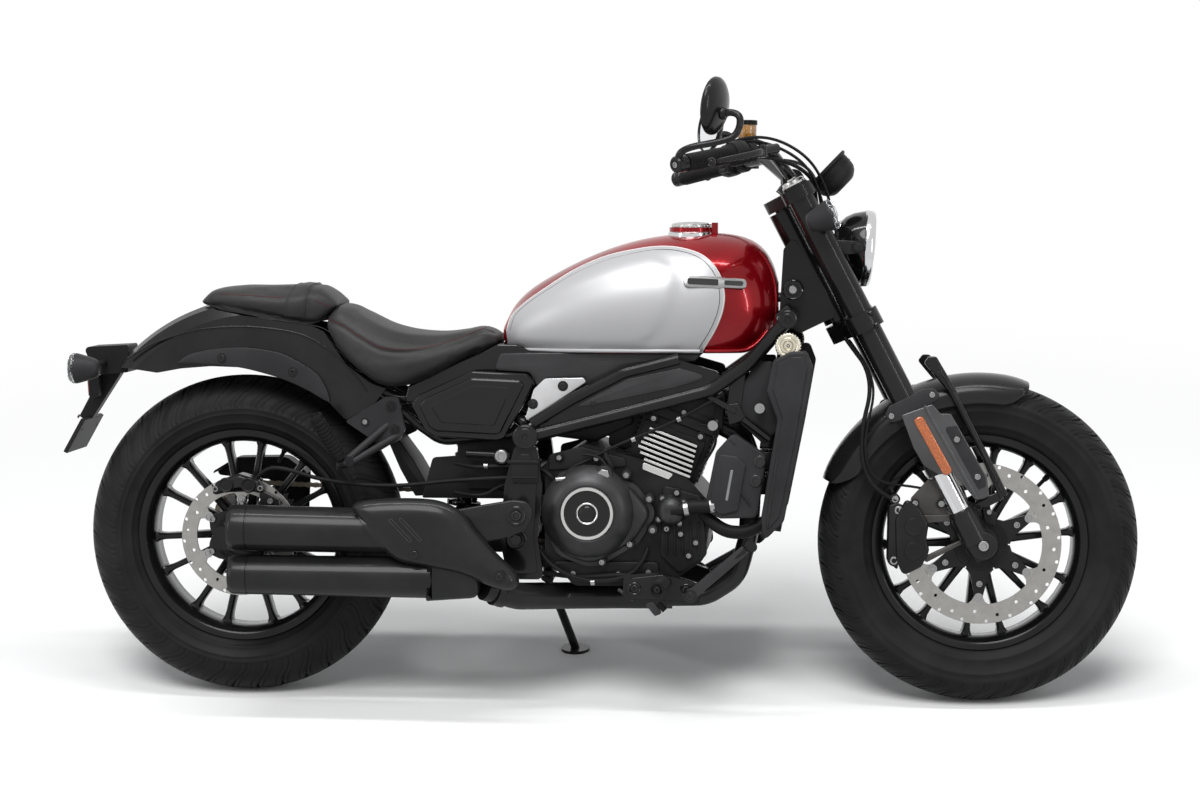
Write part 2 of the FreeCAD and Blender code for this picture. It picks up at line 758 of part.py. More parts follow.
@made_once
def seat_subframe():
    # rails from the pivot bosses back and up under the seats
    y = -82
    rail = pipe([at(-160, y - 26, 560), at(-260, y, 620), at(-420, y, 604), at(-520, y, 660),
                 at(-600, y, 730), at(-760, y, 752)], 11, 60)
    stay = pipe([at(-176, y - 30, 540), at(-330, y, 520), at(-430, y, 590)], 10, 50)
    crossing = Part.makeCylinder(9, -2 * y, at(shock_head.x, y, shock_head.z), across)
    riser = rod(at(shock_head.x, y, shock_head.z), at(shock_head.x, y, 622), 9)
    mirrored = both_sides(fused([rail, stay, riser]))
    return fused([crossing] + mirrored.Solids).cut(group([frame_rails(), rear_shock(), rider_seat()]))


@made_once
def swingarm():
    y = swingarm_spacing
    pivot_half = plate_inner - seat_clearance
    pivot = Part.makeCylinder(26, 2 * pivot_half, swingarm_pivot - across * pivot_half, across)
    front = swingarm_pivot
    rear = rear_axle
    rows = [(front.x - 24, front.z + 28, 10), (front.x - 24, front.z - 28, 10), (rear.x + 42, rear.z - 27, 12),
            (rear.x - 44, rear.z - 23, 12), (rear.x - 44, rear.z + 23, 12), (rear.x + 42, rear.z + 27, 12)]
    arms = [side_plate(rows, sign * (y - 12), sign * (y + 10)) for sign in (-1, 1)]
    bridge = Part.makeBox(60, 2 * y - 10, 50, swingarm_pivot + at(-158, 5 - y, -25))
    whole = fused([pivot, bridge] + arms).cut(rear_shock())
    bore = Part.makeCylinder(axle_radius, 2 * y + 60, rear_axle - across * (y + 30), across)
    return whole.cut(bore)


def rear_axle_shaft():
    reach = swingarm_spacing + 24
    arm_face = swingarm_spacing - 12
    shaft = Part.makeCylinder(axle_radius, 2 * reach, rear_axle - across * reach, across)
    right = rod(rear_axle - across * arm_face,
                rear_axle + across * (rear_disc_side - disc_thickness / 2 - seat_clearance), 14)
    left = rod(rear_axle + across * (sprocket_side + sprocket_thickness / 2 + seat_clearance),
               rear_axle + across * arm_face, 14)
    bore = Part.makeCylinder(axle_bore_radius, 2 * reach, rear_axle - across * reach, across)
    return fused([shaft, right, left]).cut(bore)


shock_foot = at(-300, 0, 368)
shock_head = at(-268, 0, 566)


@made_once
def rear_shock():
    # damper body, spring cup and the coil's outline between its eyes
    run = shock_head - shock_foot
    run.normalize()
    body = rod(shock_foot, shock_head, 14)
    coil = rod(shock_foot + run * 40, shock_head - run * 34, 28)
    foot_eye = Part.makeCylinder(15, 36, shock_foot - across * 18, across)
    head_eye = Part.makeCylinder(15, 36, shock_head - across * 18, across)
    return fused([body, coil, foot_eye, head_eye])


cylinder_lean = 21.0
cylinder_foot = at(96, 0, 420)
cylinder_up = at(math.sin(math.radians(cylinder_lean)), 0, math.cos(math.radians(cylinder_lean)))
cylinder_back = at(-cylinder_up.z, 0, cylinder_up.x)
cylinder_half_width = 92.0
cylinder_height = 150.0
fin_count = 7
fin_pitch = 10.2


def cylinder_slab(rows, near, far):
    # rows of distance back and up along the leaned cylinder, from y = near to y = far
    points = [cylinder_foot + cylinder_back * back + cylinder_up * rise + across * near for back, rise in rows]
    return Part.Face(Part.makePolygon(points + [points[0]])).extrude(across * (far - near))


@made_once
def engine_block():
    half = crankcase_half_width
    case = side_plate([(-118, 300, 30), (-118, 470, 30), (-40, 520, 20), (150, 470, 30), (216, 400, 30),
                       (200, 290, 30), (120, 236, 20), (-60, 236, 20)], -half, half)
    sump = side_plate([(-60, 240, 0), (110, 240, 0), (90, 186, 12), (-40, 186, 12)], 24, 84)
    lugs = []
    for x, z in ((-146, 452), (-150, 280)):
        lugs.append(Part.makeCylinder(15, 2 * plate_inner, at(x, -plate_inner, z), across))
        lugs.append(Part.makeBox(50, 180, 22, at(x, -90, z - 11)))
    return fused([case, sump] + lugs)


def cylinder():
    # the barrel, with polished fins on both flanks
    half = cylinder_half_width
    solids = [cylinder_slab([(-72, -10), (72, -10), (72, cylinder_height), (-72, cylinder_height)], -half, half)]
    for sign in (-1, 1):
        solids.append(cylinder_slab([(-52, 56), (60, 56), (60, 126), (-52, 126)], sign * half, sign * (half + 6)))
        for fin in range(fin_count):
            height = 58 + fin * fin_pitch
            rows = [(-52, height), (60, height), (60, height + 5), (-52, height + 5)]
            solids.append(cylinder_slab(rows, sign * (half + 5), sign * (half + 34)))
    return fused(solids).cut(engine_block())


@made_once
def cylinder_head():
    top = cylinder_height
    rows = [(-80, top), (78, top), (66, top + 96), (-66, top + 96)]
    return cylinder_slab(rows, -100, 100)


cover_centre = at(-28, 0, 387)


def clutch_cover():
    side = -crankcase_half_width
    rows = [(-92, 455, 46), (-20, 476, 50), (66, 440, 40), (108, 386, 18), (70, 322, 40), (-20, 262, 60),
            (-108, 300, 50), (-112, 400, 50)]
    plate = side_plate(rows, side, side - 34)
    dome = turned([(34, 0), (34, 92), (50, 84), (64, 64), (68, 48), (68, 0)], cover_centre + at(0, side, 0),
                  across * -1)
    pump_centre = cover_centre + at(163, side, 2)
    pump = turned([(0, 0), (0, 30), (20, 30), (26, 24), (40, 20), (40, 0)], pump_centre, across * -1)
    hose = pipe([pump_centre + at(0, -22, 0), pump_centre + at(40, -22, 14), pump_centre + at(86, -24, 22)], 11, 60)
    return fused([plate, dome, pump, hose]).cut(radiator_reservoir())


def alternator_cover():
    side = crankcase_half_width
    rows = [(-92, 455, 40), (-10, 476, 40), (70, 440, 40), (92, 360, 30), (30, 280, 50), (-80, 290, 50)]
    plate = side_plate(rows, side, side + 26)
    dome = turned([(26, 0), (26, 80), (44, 66), (50, 44), (50, 0)], at(-10, side, 378), across)
    return fused([plate, dome])


def radiator():
    rows = [(362, 690, 6), (396, 690, 6), (352, 350, 6), (318, 356, 6)]
    return side_plate(rows, -148, 148)


def radiator_shrouds():
    rows = [(324, 629, 8), (336, 690, 12), (369, 707, 12), (402, 709, 10), (415, 675, 12), (392, 543, 0),
            (359, 374, 10), (317, 330, 10), (314, 381, 0), (345, 573, 0)]
    return both_sides(side_plate(rows, -148, -172))


@made_once
def radiator_reservoir():
    rows = [(258, 546, 12), (325, 501, 12), (306, 378, 12), (233, 376, 12), (201, 393, 10), (224, 508, 12)]
    case = side_plate(rows, -128, -158)
    hanger = side_plate([(290, 500, 4), (340, 480, 4), (340, 440, 4), (290, 440, 4)], -148, -132)
    return fused([case, hanger]).cut(radiator())


@made_once
def header_pipes():
    pieces = []
    for y in (-44, 44):
        points = [at(222, y, 556), at(268, y, 532), at(290, y, 470), at(284, y, 330), at(262, y * 0.8, 246),
                  at(200, y * 0.6 - 8, 206), at(120, y * 0.5 - 14, 204)]
        pieces.append(pipe(points, 19, 70))
    collector = pipe([at(130, -14, 204), at(20, -20, 204), at(-90, -66, 208), at(-170, -140, 216),
                      at(-232, muffler_side + 6, 240)], 27, 80)
    return fused(pieces + [collector]).cut(cylinder_head())


muffler_rear = -742.0
muffler_front = -330.0


@made_once
def mufflers():
    lower = cone(at(muffler_front, muffler_side, 258), at(muffler_rear, muffler_side, 260), 41, 39)
    upper = cone(at(muffler_front, muffler_side, 348), at(muffler_rear, muffler_side, 354), 44, 46)
    box = side_plate([(-238, 222, 20), (-238, 336, 40), (-300, 392, 30), (-340, 394, 4), (-340, 214, 4)],
                     muffler_side - 38, muffler_side + 38)
    whole = fused([lower, upper, box])
    bores = []
    for z in (260, 354):
        bores.append(Part.makeCylinder(26, 60, at(muffler_rear - 1, muffler_side, z), at(1, 0, 0)))
    return whole.cut(group(bores)).cut(header_pipes())


def heat_shield():
    # a sheet outside both cans, its upper and lower edges rolled inwards
    rows = [(-497, 398, 12), (-438, 410, 20), (-319, 412, 20), (-180, 416, 18), (-160, 384, 18), (-214, 321, 40),
            (-164, 249, 16), (-195, 234, 12), (-313, 274, 40), (-401, 288, 20), (-439, 311, 10), (-497, 307, 10)]
    near = muffler_side - 46 - seat_clearance
    wall = 4.0
    edges = []
    for grown in (0, wall):
        y = near - grown
        edges.append([at(-510, near + 20, 424 + grown), at(-510, near + 5, 404 + grown), at(-510, y, 372),
                      at(-510, y, 262), at(-510, near + 2, 244 - grown), at(-510, near + 8, 226 - grown)])
    inner, outer = edges
    wire = Part.Wire([
        Part.Arc(inner[0], inner[1], inner[2]).toShape(), Part.LineSegment(inner[2], inner[3]).toShape(),
        Part.Arc(inner[3], inner[4], inner[5]).toShape(), Part.LineSegment(inner[5], outer[5]).toShape(),
        Part.Arc(outer[5], outer[4], outer[3]).toShape(), Part.LineSegment(outer[3], outer[2]).toShape(),
        Part.Arc(outer[2], outer[1], outer[0]).toShape(), Part.LineSegment(outer[0], inner[0]).toShape()])
    sheet = Part.Face(wire).extrude(at(400, 0, 0)).common(side_plate(rows, near + 30, near - 30))
    bosses = [rod(at(x, near + 8, z), at(x, near - 1, z), 7) for x, z in ((-452, 352), (-262, 300))]
    return fused([sheet] + bosses).cut(mufflers())


# ---------------------------------------------------------------- bodywork
# station along the bike, bottom, top, half width
tank_rows = (
    (-208, 722, 748, 0.36), (-180, 704, 802, 0.58), (-120, 699, 847, 0.78), (-40, 698, 888, 0.93),
    (60, 699, 922, 1.0), (160, 700, 936, 1.0), (240, 702, 935, 0.93), (300, 712, 915, 0.76),
    (332, 745, 872, 0.5), (342, 785, 838, 0.26),
)


def tank_body(grown):
    rows = [(x, bottom - grown, top + grown, tank_half_width * wide + grown) for x, bottom, top, wide in tank_rows]
    return lofted(rows, 0.74, 0.62)


cap_centre = at(166, 0, 936)
cap_radius = 44.0
cap_neck_top = 12.0
cap_lid_thickness = 10.0
cap_hinge_radius = 2.0
fuel_cap_hinge = cap_centre + at(cap_radius + 4, 0, cap_neck_top + seat_clearance + cap_lid_thickness / 2)


@made_once
def fuel_tank():
    # the tank with its filler neck, and the two lugs and pin that the cap turns on
    neck = Part.makeCylinder(cap_radius, 40, cap_centre + up * (cap_neck_top - 40), up)
    pieces = [tank_body(0), neck, rod(fuel_cap_hinge - across * 11, fuel_cap_hinge + across * 11, cap_hinge_radius)]
    for side in (-11, 6):
        corner = at(cap_centre.x + cap_radius - 2.5, side, cap_centre.z - 10)
        pieces.append(Part.makeBox(12, 5, fuel_cap_hinge.z + 4 - corner.z, corner))
    return fused(pieces)


def tank_side_panels():
    rows = [(-187, 771, 10), (-122, 822, 60), (-62, 864, 60), (0, 891, 60), (60, 904, 60), (108, 909, 60),
            (153, 907, 60), (200, 892, 50), (229, 860, 40), (238, 815, 40), (225, 764, 40), (195, 706, 20),
            (-170, 704, 20)]
    slab = side_plate(rows, -200, -70)
    right = tank_body(3).common(slab).cut(tank_body(0))
    return both_sides(right)


def fuel_cap_lid():
    base = cap_centre + up * (cap_neck_top + seat_clearance)
    disc = Part.makeCylinder(cap_radius - 4, cap_lid_thickness, base, up)
    barrel = rod(fuel_cap_hinge - across * 5, fuel_cap_hinge + across * 5, cap_lid_thickness / 2)
    tab = Part.makeBox(cap_radius + 4 - 20, 10, cap_lid_thickness, base + at(20, -5, 0))
    hole = rod(fuel_cap_hinge - across * 12, fuel_cap_hinge + across * 12, cap_hinge_radius + running_clearance)
    return fused([disc, barrel, tab]).cut(hole)


@made_once
def rider_seat():
    rows = ((-560, 742, 778, 104), (-536, 704, 797, 116), (-500, 668, 779, 128), (-450, 634, 754, 138),
            (-400, 632, 740, 143), (-340, 654, 735, 135), (-290, 678, 740, 115), (-245, 697, 749, 92),
            (-216, 714, 738, 72))
    return lofted(rows, 0.86, 0.74)


@made_once
def pillion_seat():
    rows = ((-825, 790, 802, 62), (-800, 785, 822, 82), (-745, 776, 827, 94), (-690, 766, 827, 98),
            (-630, 756, 829, 98), (-585, 753, 832, 95), (-560, 770, 818, 90), (-540, 786, 800, 84))
    return lofted(rows, 0.86, 0.74).cut(rider_seat())


rear_fender_centre = at(-693.4, 0, 417.5)
rear_fender_radius = 393.0
rear_fender_half = 100.0


def fender_dome(radius, half):
    rows = [(-half, 0), (-half, radius - 36), (12 - half, radius - 12), (36 - half, radius - 3),
            (0, radius), (half - 36, radius - 3), (half - 12, radius - 12), (half, radius - 36), (half, 0)]
    return turned(rows, rear_fender_centre, across)


@made_once
def rear_fender():
    rows = [(-999, 665, 6), (-1012, 700, 0), (-940, 790, 0), (-830, 800, 0), (-786, 782, 0), (-709, 767, 0),
            (-588, 750, 0), (-566, 740, 0), (-521, 674, 0), (-471, 636, 0), (-440, 626, 0), (-465, 594, 6),
            (-522, 562, 8), (-556, 598, 30), (-616, 634, 60), (-680, 658, 80), (-737, 667, 80),
            (-795, 669, 80), (-857, 664, 60), (-906, 655, 20), (-960, 663, 6)]
    outline = side_plate(rows, -rear_fender_half - 1, rear_fender_half + 1)
    outer = fender_dome(rear_fender_radius, rear_fender_half).common(outline)
    inner = fender_dome(rear_fender_radius - fender_wall, rear_fender_half - fender_wall)
    return outer.cut(inner).cut(group([rider_seat(), pillion_seat()]))


def fender_side_trims():
    rows = [(-862, 675, 3), (-837, 693, 20), (-792, 703, 40), (-727, 707, 40), (-660, 698, 40), (-616, 679, 30),
            (-577, 653, 20), (-559, 623, 20), (-553, 599, 3), (-616, 635, 60), (-660, 650, 60), (-727, 668, 60)]
    return both_sides(side_plate(rows, -rear_fender_half, -rear_fender_half - 7))


@made_once
def tail_bracket():
    block = side_plate([(-1072, 703, 8), (-980, 708, 4), (-980, 652, 4), (-1050, 646, 8)], -40, 40)
    arm = side_plate([(-1000, 652, 4), (-1040, 652, 4), (-1090, 560, 4), (-1070, 545, 4)], -14, 14)
    arms = []
    for sign in (-1, 1):
        arms.append(rod(at(-1030, sign * 38, 672), at(-1034, sign * 96, 667), 7))
    return fused([block, arm] + arms).cut(rear_fender())


def rear_signals():
    solids = [signal_lamp(at(-1047, sign * 112, 664), at(-1, 0, 0)) for sign in (-1, 1)]
    return group(solids).cut(tail_bracket())


plate_top = at(-1066, 0, 558)
plate_bottom = at(-1104, 0, 490)
plate_bolt_spacing = 120.0
plate_bolt_radius = 3.2
plate_bolt_centre = plate_top * 0.72 + plate_bottom * 0.28
plate_normal = (plate_bottom - plate_top).cross(across)
plate_normal.normalize()


def plate_holder():
    slab = side_plate([(-1062, 556, 2), (-1070, 560, 2), (-1108, 492, 2), (-1100, 488, 2)], -75, 75)
    holes = []
    for sign in (-0.5, 0.5):
        centre = plate_bolt_centre + across * (sign * plate_bolt_spacing)
        holes.append(rod(centre - plate_normal * 20, centre + plate_normal * 20, plate_bolt_radius))
    return slab.cut(tail_bracket()).cut(group(holes))


@made_once
def side_covers():
    rows = [(-386, 597, 14), (-370, 616, 20), (-264, 664, 24), (-153, 659, 16), (-138, 644, 10),
            (-160, 596, 20), (-199, 530, 16), (-214, 526, 10), (-337, 532, 14), (-356, 544, 12)]
    return both_sides(side_plate(rows, -112, -140)).cut(group([seat_subframe(), frame_rails()]))


def accent_plates():
    rows = [(-159, 558, 10), (-138, 633, 10), (-92, 652, 12), (-20, 650, 4), (-46, 622, 10)]
    return both_sides(side_plate(rows, -118, -126)).cut(frame_rails())


def brake_pedal():
    path = pipe([at(176, -164, 226), at(236, -170, 276), at(284, -176, 318)], 6, 20)
    pad = rod(at(292, -166, 324), at(298, -214, 328), 9)
    hub = rod(at(176, -150, 226), at(176, -172, 226), 13)
    link = rod(at(284, -176, 318), at(294, -182, 325), 6)
    return fused([path, pad, hub, link]).cut(peg_plates())


def shift_lever():
    path = pipe([at(176, 164, 226), at(240, 170, 262), at(292, 176, 296)], 6, 20)
    pad = rod(at(296, 166, 300), at(302, 214, 302), 9)
    hub = rod(at(176, 150, 226), at(176, 172, 226), 13)
    link = rod(at(288, 176, 292), at(298, 182, 300), 6)
    return fused([path, pad, hub, link]).cut(peg_plates())


drive_sprocket = at(-70, 0, 350)
drive_sprocket_radius = 36.0
chain_height = 9.0
chain_width = 15.0


def chain():
    # one loop round the rear sprocket, running forward into the crankcase
    near = sprocket_side - chain_width / 2
    loops = []
    for growth in (chain_height + 1, 1):
        rear = Part.makeCylinder(sprocket_radius + growth, chain_width,
                                 rear_axle + across * near, across)
        front = Part.makeCylinder(drive_sprocket_radius + growth, chain_width,
                                  drive_sprocket + across * near, across)
        run = drive_sprocket - rear_axle
        length = run.Length
        run.normalize()
        square = at(-run.z, 0, run.x)
        tilt = math.asin((sprocket_radius - drive_sprocket_radius) / length)
        corners = []
        for sign in (1, -1):
            normal = square * (sign * math.cos(tilt)) + run * math.sin(tilt)
            corners.append(rear_axle + normal * (sprocket_radius + growth) + across * near)
            corners.append(drive_sprocket + normal * (drive_sprocket_radius + growth) + across * near)
        ring = [corners[0], corners[1], corners[3], corners[2]]
        belt = Part.Face(Part.makePolygon(ring + [ring[0]])).extrude(across * chain_width)
        loops.append(fused([rear, front, belt]))
    return loops[0].cut(loops[1]).cut(engine_block())


@made_once
def rear_caliper():
    # over the top of the disc, hung from the right arm
    near = rear_disc_side - caliper_gap
    rows = [(-58, 82, 8), (-44, 113, 12), (2, 129, 14), (42, 117, 12), (58, 87, 8), (2, 99, 0)]
    block = plate_by(rear_axle, rows, near - 12, rear_disc_side + caliper_gap + 12)
    clear = Part.makeCylinder(rear_disc_radius + moving_clearance, 2 * caliper_gap, rear_axle + across * near,
                              across)
    hanger = plate_by(rear_axle, [(42, 97, 6), (82, 77, 6), (92, 17, 6), (52, 21, 6)], near - 12, near)
    link = plate_by(rear_axle, [(52, 27, 4), (92, 27, 4), (92, 7, 4), (52, 7, 4)], near - 12.5, near)
    return fused([block.cut(clear), hanger, link]).cut(swingarm())


def rear_brake_hose():
    # from the caliper forward above the cans to the frame's right plate
    points = [at(-706, -92, 440), at(-664, -112, 470), at(-560, -122, 436), at(-420, -124, 430),
              at(-300, -126, 446), at(-190, -132, 452)]
    return pipe(points, 4, 50).cut(group([rear_caliper(), frame_plates(), swingarm()]))


def chain_guard():
    # a tray over the chain's upper run, open below and at its ends, bolted to the left arm
    near = swingarm_spacing + 10
    rows = [(-105, 107, 8), (-41, 146, 30), (65, 148, 30), (107, 117, 10), (103, 30, 6), (53, 28, 6),
            (22, 96, 12), (-58, 101, 12)]
    hollow_rows = [(-140, 81, 0), (-42, 141, 0), (66, 143, 0), (140, 89, 0), (140, -20, 0), (-140, -20, 0)]
    whole = plate_by(rear_axle, rows, sprocket_side - 14, near + 3)
    return whole.cut(plate_by(rear_axle, hollow_rows, sprocket_side - 20, near))


# ---------------------------------------------------------------- things that fold
hinge_pin_radius = 4.0
peg_eye_half = 5.0
peg_bar_start = 14.0
rider_peg_root = at(123, crankcase_half_width + 44, 250)
passenger_peg_root = at(-515, 168, 481)
rider_peg_direction = at(-0.03, 1, 0.03)
passenger_peg_direction = at(-0.42, 0.36, 0.833)


def folding_peg(root, direction, axis, length, radius):
    # an eye on the pin, a neck, then the bar
    run = at(direction.x, direction.y, direction.z)
    run.normalize()
    eye = rod(root - axis * peg_eye_half, root + axis * peg_eye_half, 10)
    neck = rod(root + run * 5, root + run * (peg_bar_start + 2), 4.5)
    bar = rod(root + run * peg_bar_start, root + run * length, radius)
    hole = rod(root - axis * 30, root + axis * 30, hinge_pin_radius + running_clearance)
    return fused([eye, neck, bar]).cut(hole)


def peg_clevis(root, axis, sign):
    # an ear either side of the eye, reaching in to the base, and the pin through them
    inward = across * -sign
    inward = inward - axis * inward.dot(axis)
    inward.normalize()
    beside = axis.cross(inward)
    beside.normalize()
    solids = [rod(root - axis * 12, root + axis * 12, hinge_pin_radius)]
    for near in (-peg_eye_half - 6.5, peg_eye_half + 0.5):
        solids.append(rod(root + axis * near, root + axis * (near + 6), 9))
        start = root + axis * near
        corners = [start - beside * 9, start + beside * 9,
                   start + beside * 9 + inward * 15, start - beside * 9 + inward * 15]
        solids.append(Part.Face(Part.makePolygon(corners + [corners[0]])).extrude(axis * 6))
    return solids


def hinge_line(folded, deployed):
    # a hinge square to the peg both folded and deployed; turning about it deploys the peg
    line = folded.cross(deployed)
    line.normalize()
    return line


rider_peg_raised = at(0, 0.35, 0.94)
passenger_peg_deployed = at(-0.42, 0.9075, 0)


def rider_peg_axis(sign):
    return hinge_line(on_side(rider_peg_direction, sign), on_side(rider_peg_raised, sign))


def passenger_peg_axis(sign):
    return hinge_line(on_side(passenger_peg_direction, sign), on_side(passenger_peg_deployed, sign))


def rider_peg(sign):
    root = on_side(rider_peg_root, sign)
    return folding_peg(root, on_side(rider_peg_direction, sign), rider_peg_axis(sign), 140, 13)


def passenger_peg(sign):
    root = on_side(passenger_peg_root, sign)
    return folding_peg(root, on_side(passenger_peg_direction, sign), passenger_peg_axis(sign), 118, 12)


def right_rider_peg():
    return rider_peg(-1)


def left_rider_peg():
    return rider_peg(1)


def right_passenger_peg():
    return passenger_peg(-1)


def left_passenger_peg():
    return passenger_peg(1)


@made_once
def peg_plates():
    rows = [(40, 214, 8), (42, 262, 10), (120, 268, 12), (202, 239, 10), (192, 204, 10)]
    outer = crankcase_half_width + 30
    solids = []
    for sign in (-1, 1):
        plate = side_plate(rows, sign * crankcase_half_width, sign * outer)
        clevis = peg_clevis(on_side(rider_peg_root, sign), rider_peg_axis(sign), sign)
        solids.append(fused([plate] + clevis))
    return group(solids).cut(header_pipes())


def passenger_peg_brackets():
    pieces = []
    for sign in (-1, 1):
        root = on_side(passenger_peg_root, sign)
        base = Part.makeBox(34, 10, 26, root + at(-17, 12 if sign < 0 else -22, -13))
        first = rod(root + at(4, sign * -17, 6), at(-428, sign * 104, 560), 7)
        second = rod(root + at(6, sign * -17, -4), at(-404, sign * 104, 540), 7)
        foot = side_plate([(-521, 561, 4), (-462, 596, 20), (-440, 610, 8), (-413, 610, 8), (-405, 574, 10),
                           (-400, 544, 8), (-410, 524, 8), (-440, 510, 10), (-466, 524, 20)],
                          sign * (rear_fender_half + seat_clearance), sign * (rear_fender_half + 14))
        clevis = peg_clevis(root, passenger_peg_axis(sign), sign)
        pieces.append(fused([base, first, second, foot] + clevis))
    return group(pieces).cut(group([seat_subframe(), side_covers(), rear_fender()]))


# The side stand's leg leaves its pivot down, out and a little forward; folded it lies back.
stand_pivot = at(-140, 140, 220)
stand_down = at(0.22, 0.56, -0.80)
stand_folded = at(-0.985, 0.14, 0.06)
stand_foot_radius = 30.0
stand_foot_thickness = 6.0
stand_down.normalize()
stand_folded.normalize()
stand_axis = stand_down.cross(stand_folded)
stand_axis.normalize()


def steer_placement(angle):
    return FreeCAD.Placement(at(0, 0, 0), FreeCAD.Rotation(steer_axis, angle), steer_base)


def lowest_point(placement, centre, axle_line, radius):
    # how low a round-crowned tyre reaches once it is placed
    middle = placement.multVec(centre)
    line = placement.Rotation.multVec(axle_line)
    return middle.z - (radius - tyre_crown_radius) * math.sqrt(1 - line.z ** 2) - tyre_crown_radius


def stance_placement():
    # lean to the left, then pitch and lift until both tyres meet the road
    steer = steer_placement(steer_rest)
    front_centre = steer.multVec(front_axle)
    front_line = steer.Rotation.multVec(across)
    leaned = FreeCAD.Placement(at(0, 0, 0), FreeCAD.Rotation(at(1, 0, 0), -lean))
    pitch = 0.0
    for trial in range(6):
        stance = FreeCAD.Placement(at(0, 0, 0), FreeCAD.Rotation(across, pitch)).multiply(leaned)
        front_low = lowest_point(stance, front_centre, front_line, front_tyre_radius)
        rear_low = lowest_point(stance, rear_axle, across, rear_tyre_radius)
        pitch += math.degrees(math.atan2(front_low - rear_low, front_axle.x - rear_axle.x))
    return FreeCAD.Placement(at(0, 0, -rear_low), stance.Rotation)


stance = stance_placement()


def side_stand():
    # eye, neck, leg and a foot plate that lies flat on the road
    leg_root = stance.multVec(stand_pivot)
    leg_line = stance.Rotation.multVec(stand_down)
    length = (leg_root.z - stand_foot_thickness + 1) / -leg_line.z
    end = stand_pivot + stand_down * length
    eye = rod(stand_pivot - stand_axis * 6, stand_pivot + stand_axis * 6, 14)
    neck = rod(stand_pivot + stand_down * 6, stand_pivot + stand_down * 34, 6)
    leg = rod(stand_pivot + stand_down * 30, end, 9)
    road_up = stance.Rotation.inverted().multVec(up)
    road_point = stance.inverse().multVec(at(stance.multVec(end).x, stance.multVec(end).y, 0))
    foot = rod(road_point, road_point + road_up * stand_foot_thickness, stand_foot_radius)
    below = rod(road_point - road_up * 30, road_point, 3 * stand_foot_radius)
    hole = rod(stand_pivot - stand_axis * 30, stand_pivot + stand_axis * 30, 6 + running_clearance)
    return fused([eye, neck, leg, foot]).cut(group([hole, below]))


def side_stand_bracket():
    pin = rod(stand_pivot - stand_axis * 8, stand_pivot + stand_axis * 14, 6)
    ear = rod(stand_pivot + stand_axis * 6.5, stand_pivot + stand_axis * 15, 16)
    block = rod(stand_pivot + stand_axis * 14.9, at(-154, plate_inner + 9, 268), 8.5)
    return fused([pin, ear, block]).cut(frame_plates())


# ---------------------------------------------------------------- the whole machine
def frame_side_plates():
    return fused(frame_plates().Solids + side_stand_bracket().Solids)


def fork_lower_legs():
    lugs = fork_lugs().Solids
    tubes = fork_inner_tubes().Solids
    return group([fused([lug, tube]) for lug, tube in zip(lugs, tubes)])


@made_once
def triple_clamps():
    return fused([lower_triple_clamp(), upper_triple_clamp(), handlebar_clamp()])


def fender_with_stays():
    return fused([front_fender()] + fender_stays().Solids)


@made_once
def hand_controls():
    pieces = []
    for grip, housing, lever in zip(grips().Solids, switch_housings().Solids, levers().Solids):
        pieces.append(fused([grip, housing, lever]))
    return group(pieces).cut(handlebar())


def headlight_shell():
    return fused([headlight_bowl()] + headlight_bracket().Solids)


def radiator_covers():
    return group(radiator_shrouds().Solids + radiator_reservoir().Solids)


def front_disc():
    return fused([front_brake_disc(), front_disc_carrier()])


def rear_disc():
    return fused([rear_brake_disc(), rear_disc_carrier()])


def engine_covers():
    return group([clutch_cover(), alternator_cover()])


def tail_assembly():
    return fused([tail_bracket(), plate_holder()])


def side_panels():
    return group(side_covers().Solids + accent_plates().Solids)


def fender_with_trims():
    return fused([rear_fender()] + fender_side_trims().Solids)


def footrest_plates():
    return fused(peg_plates().Solids + [brake_pedal(), shift_lever()])


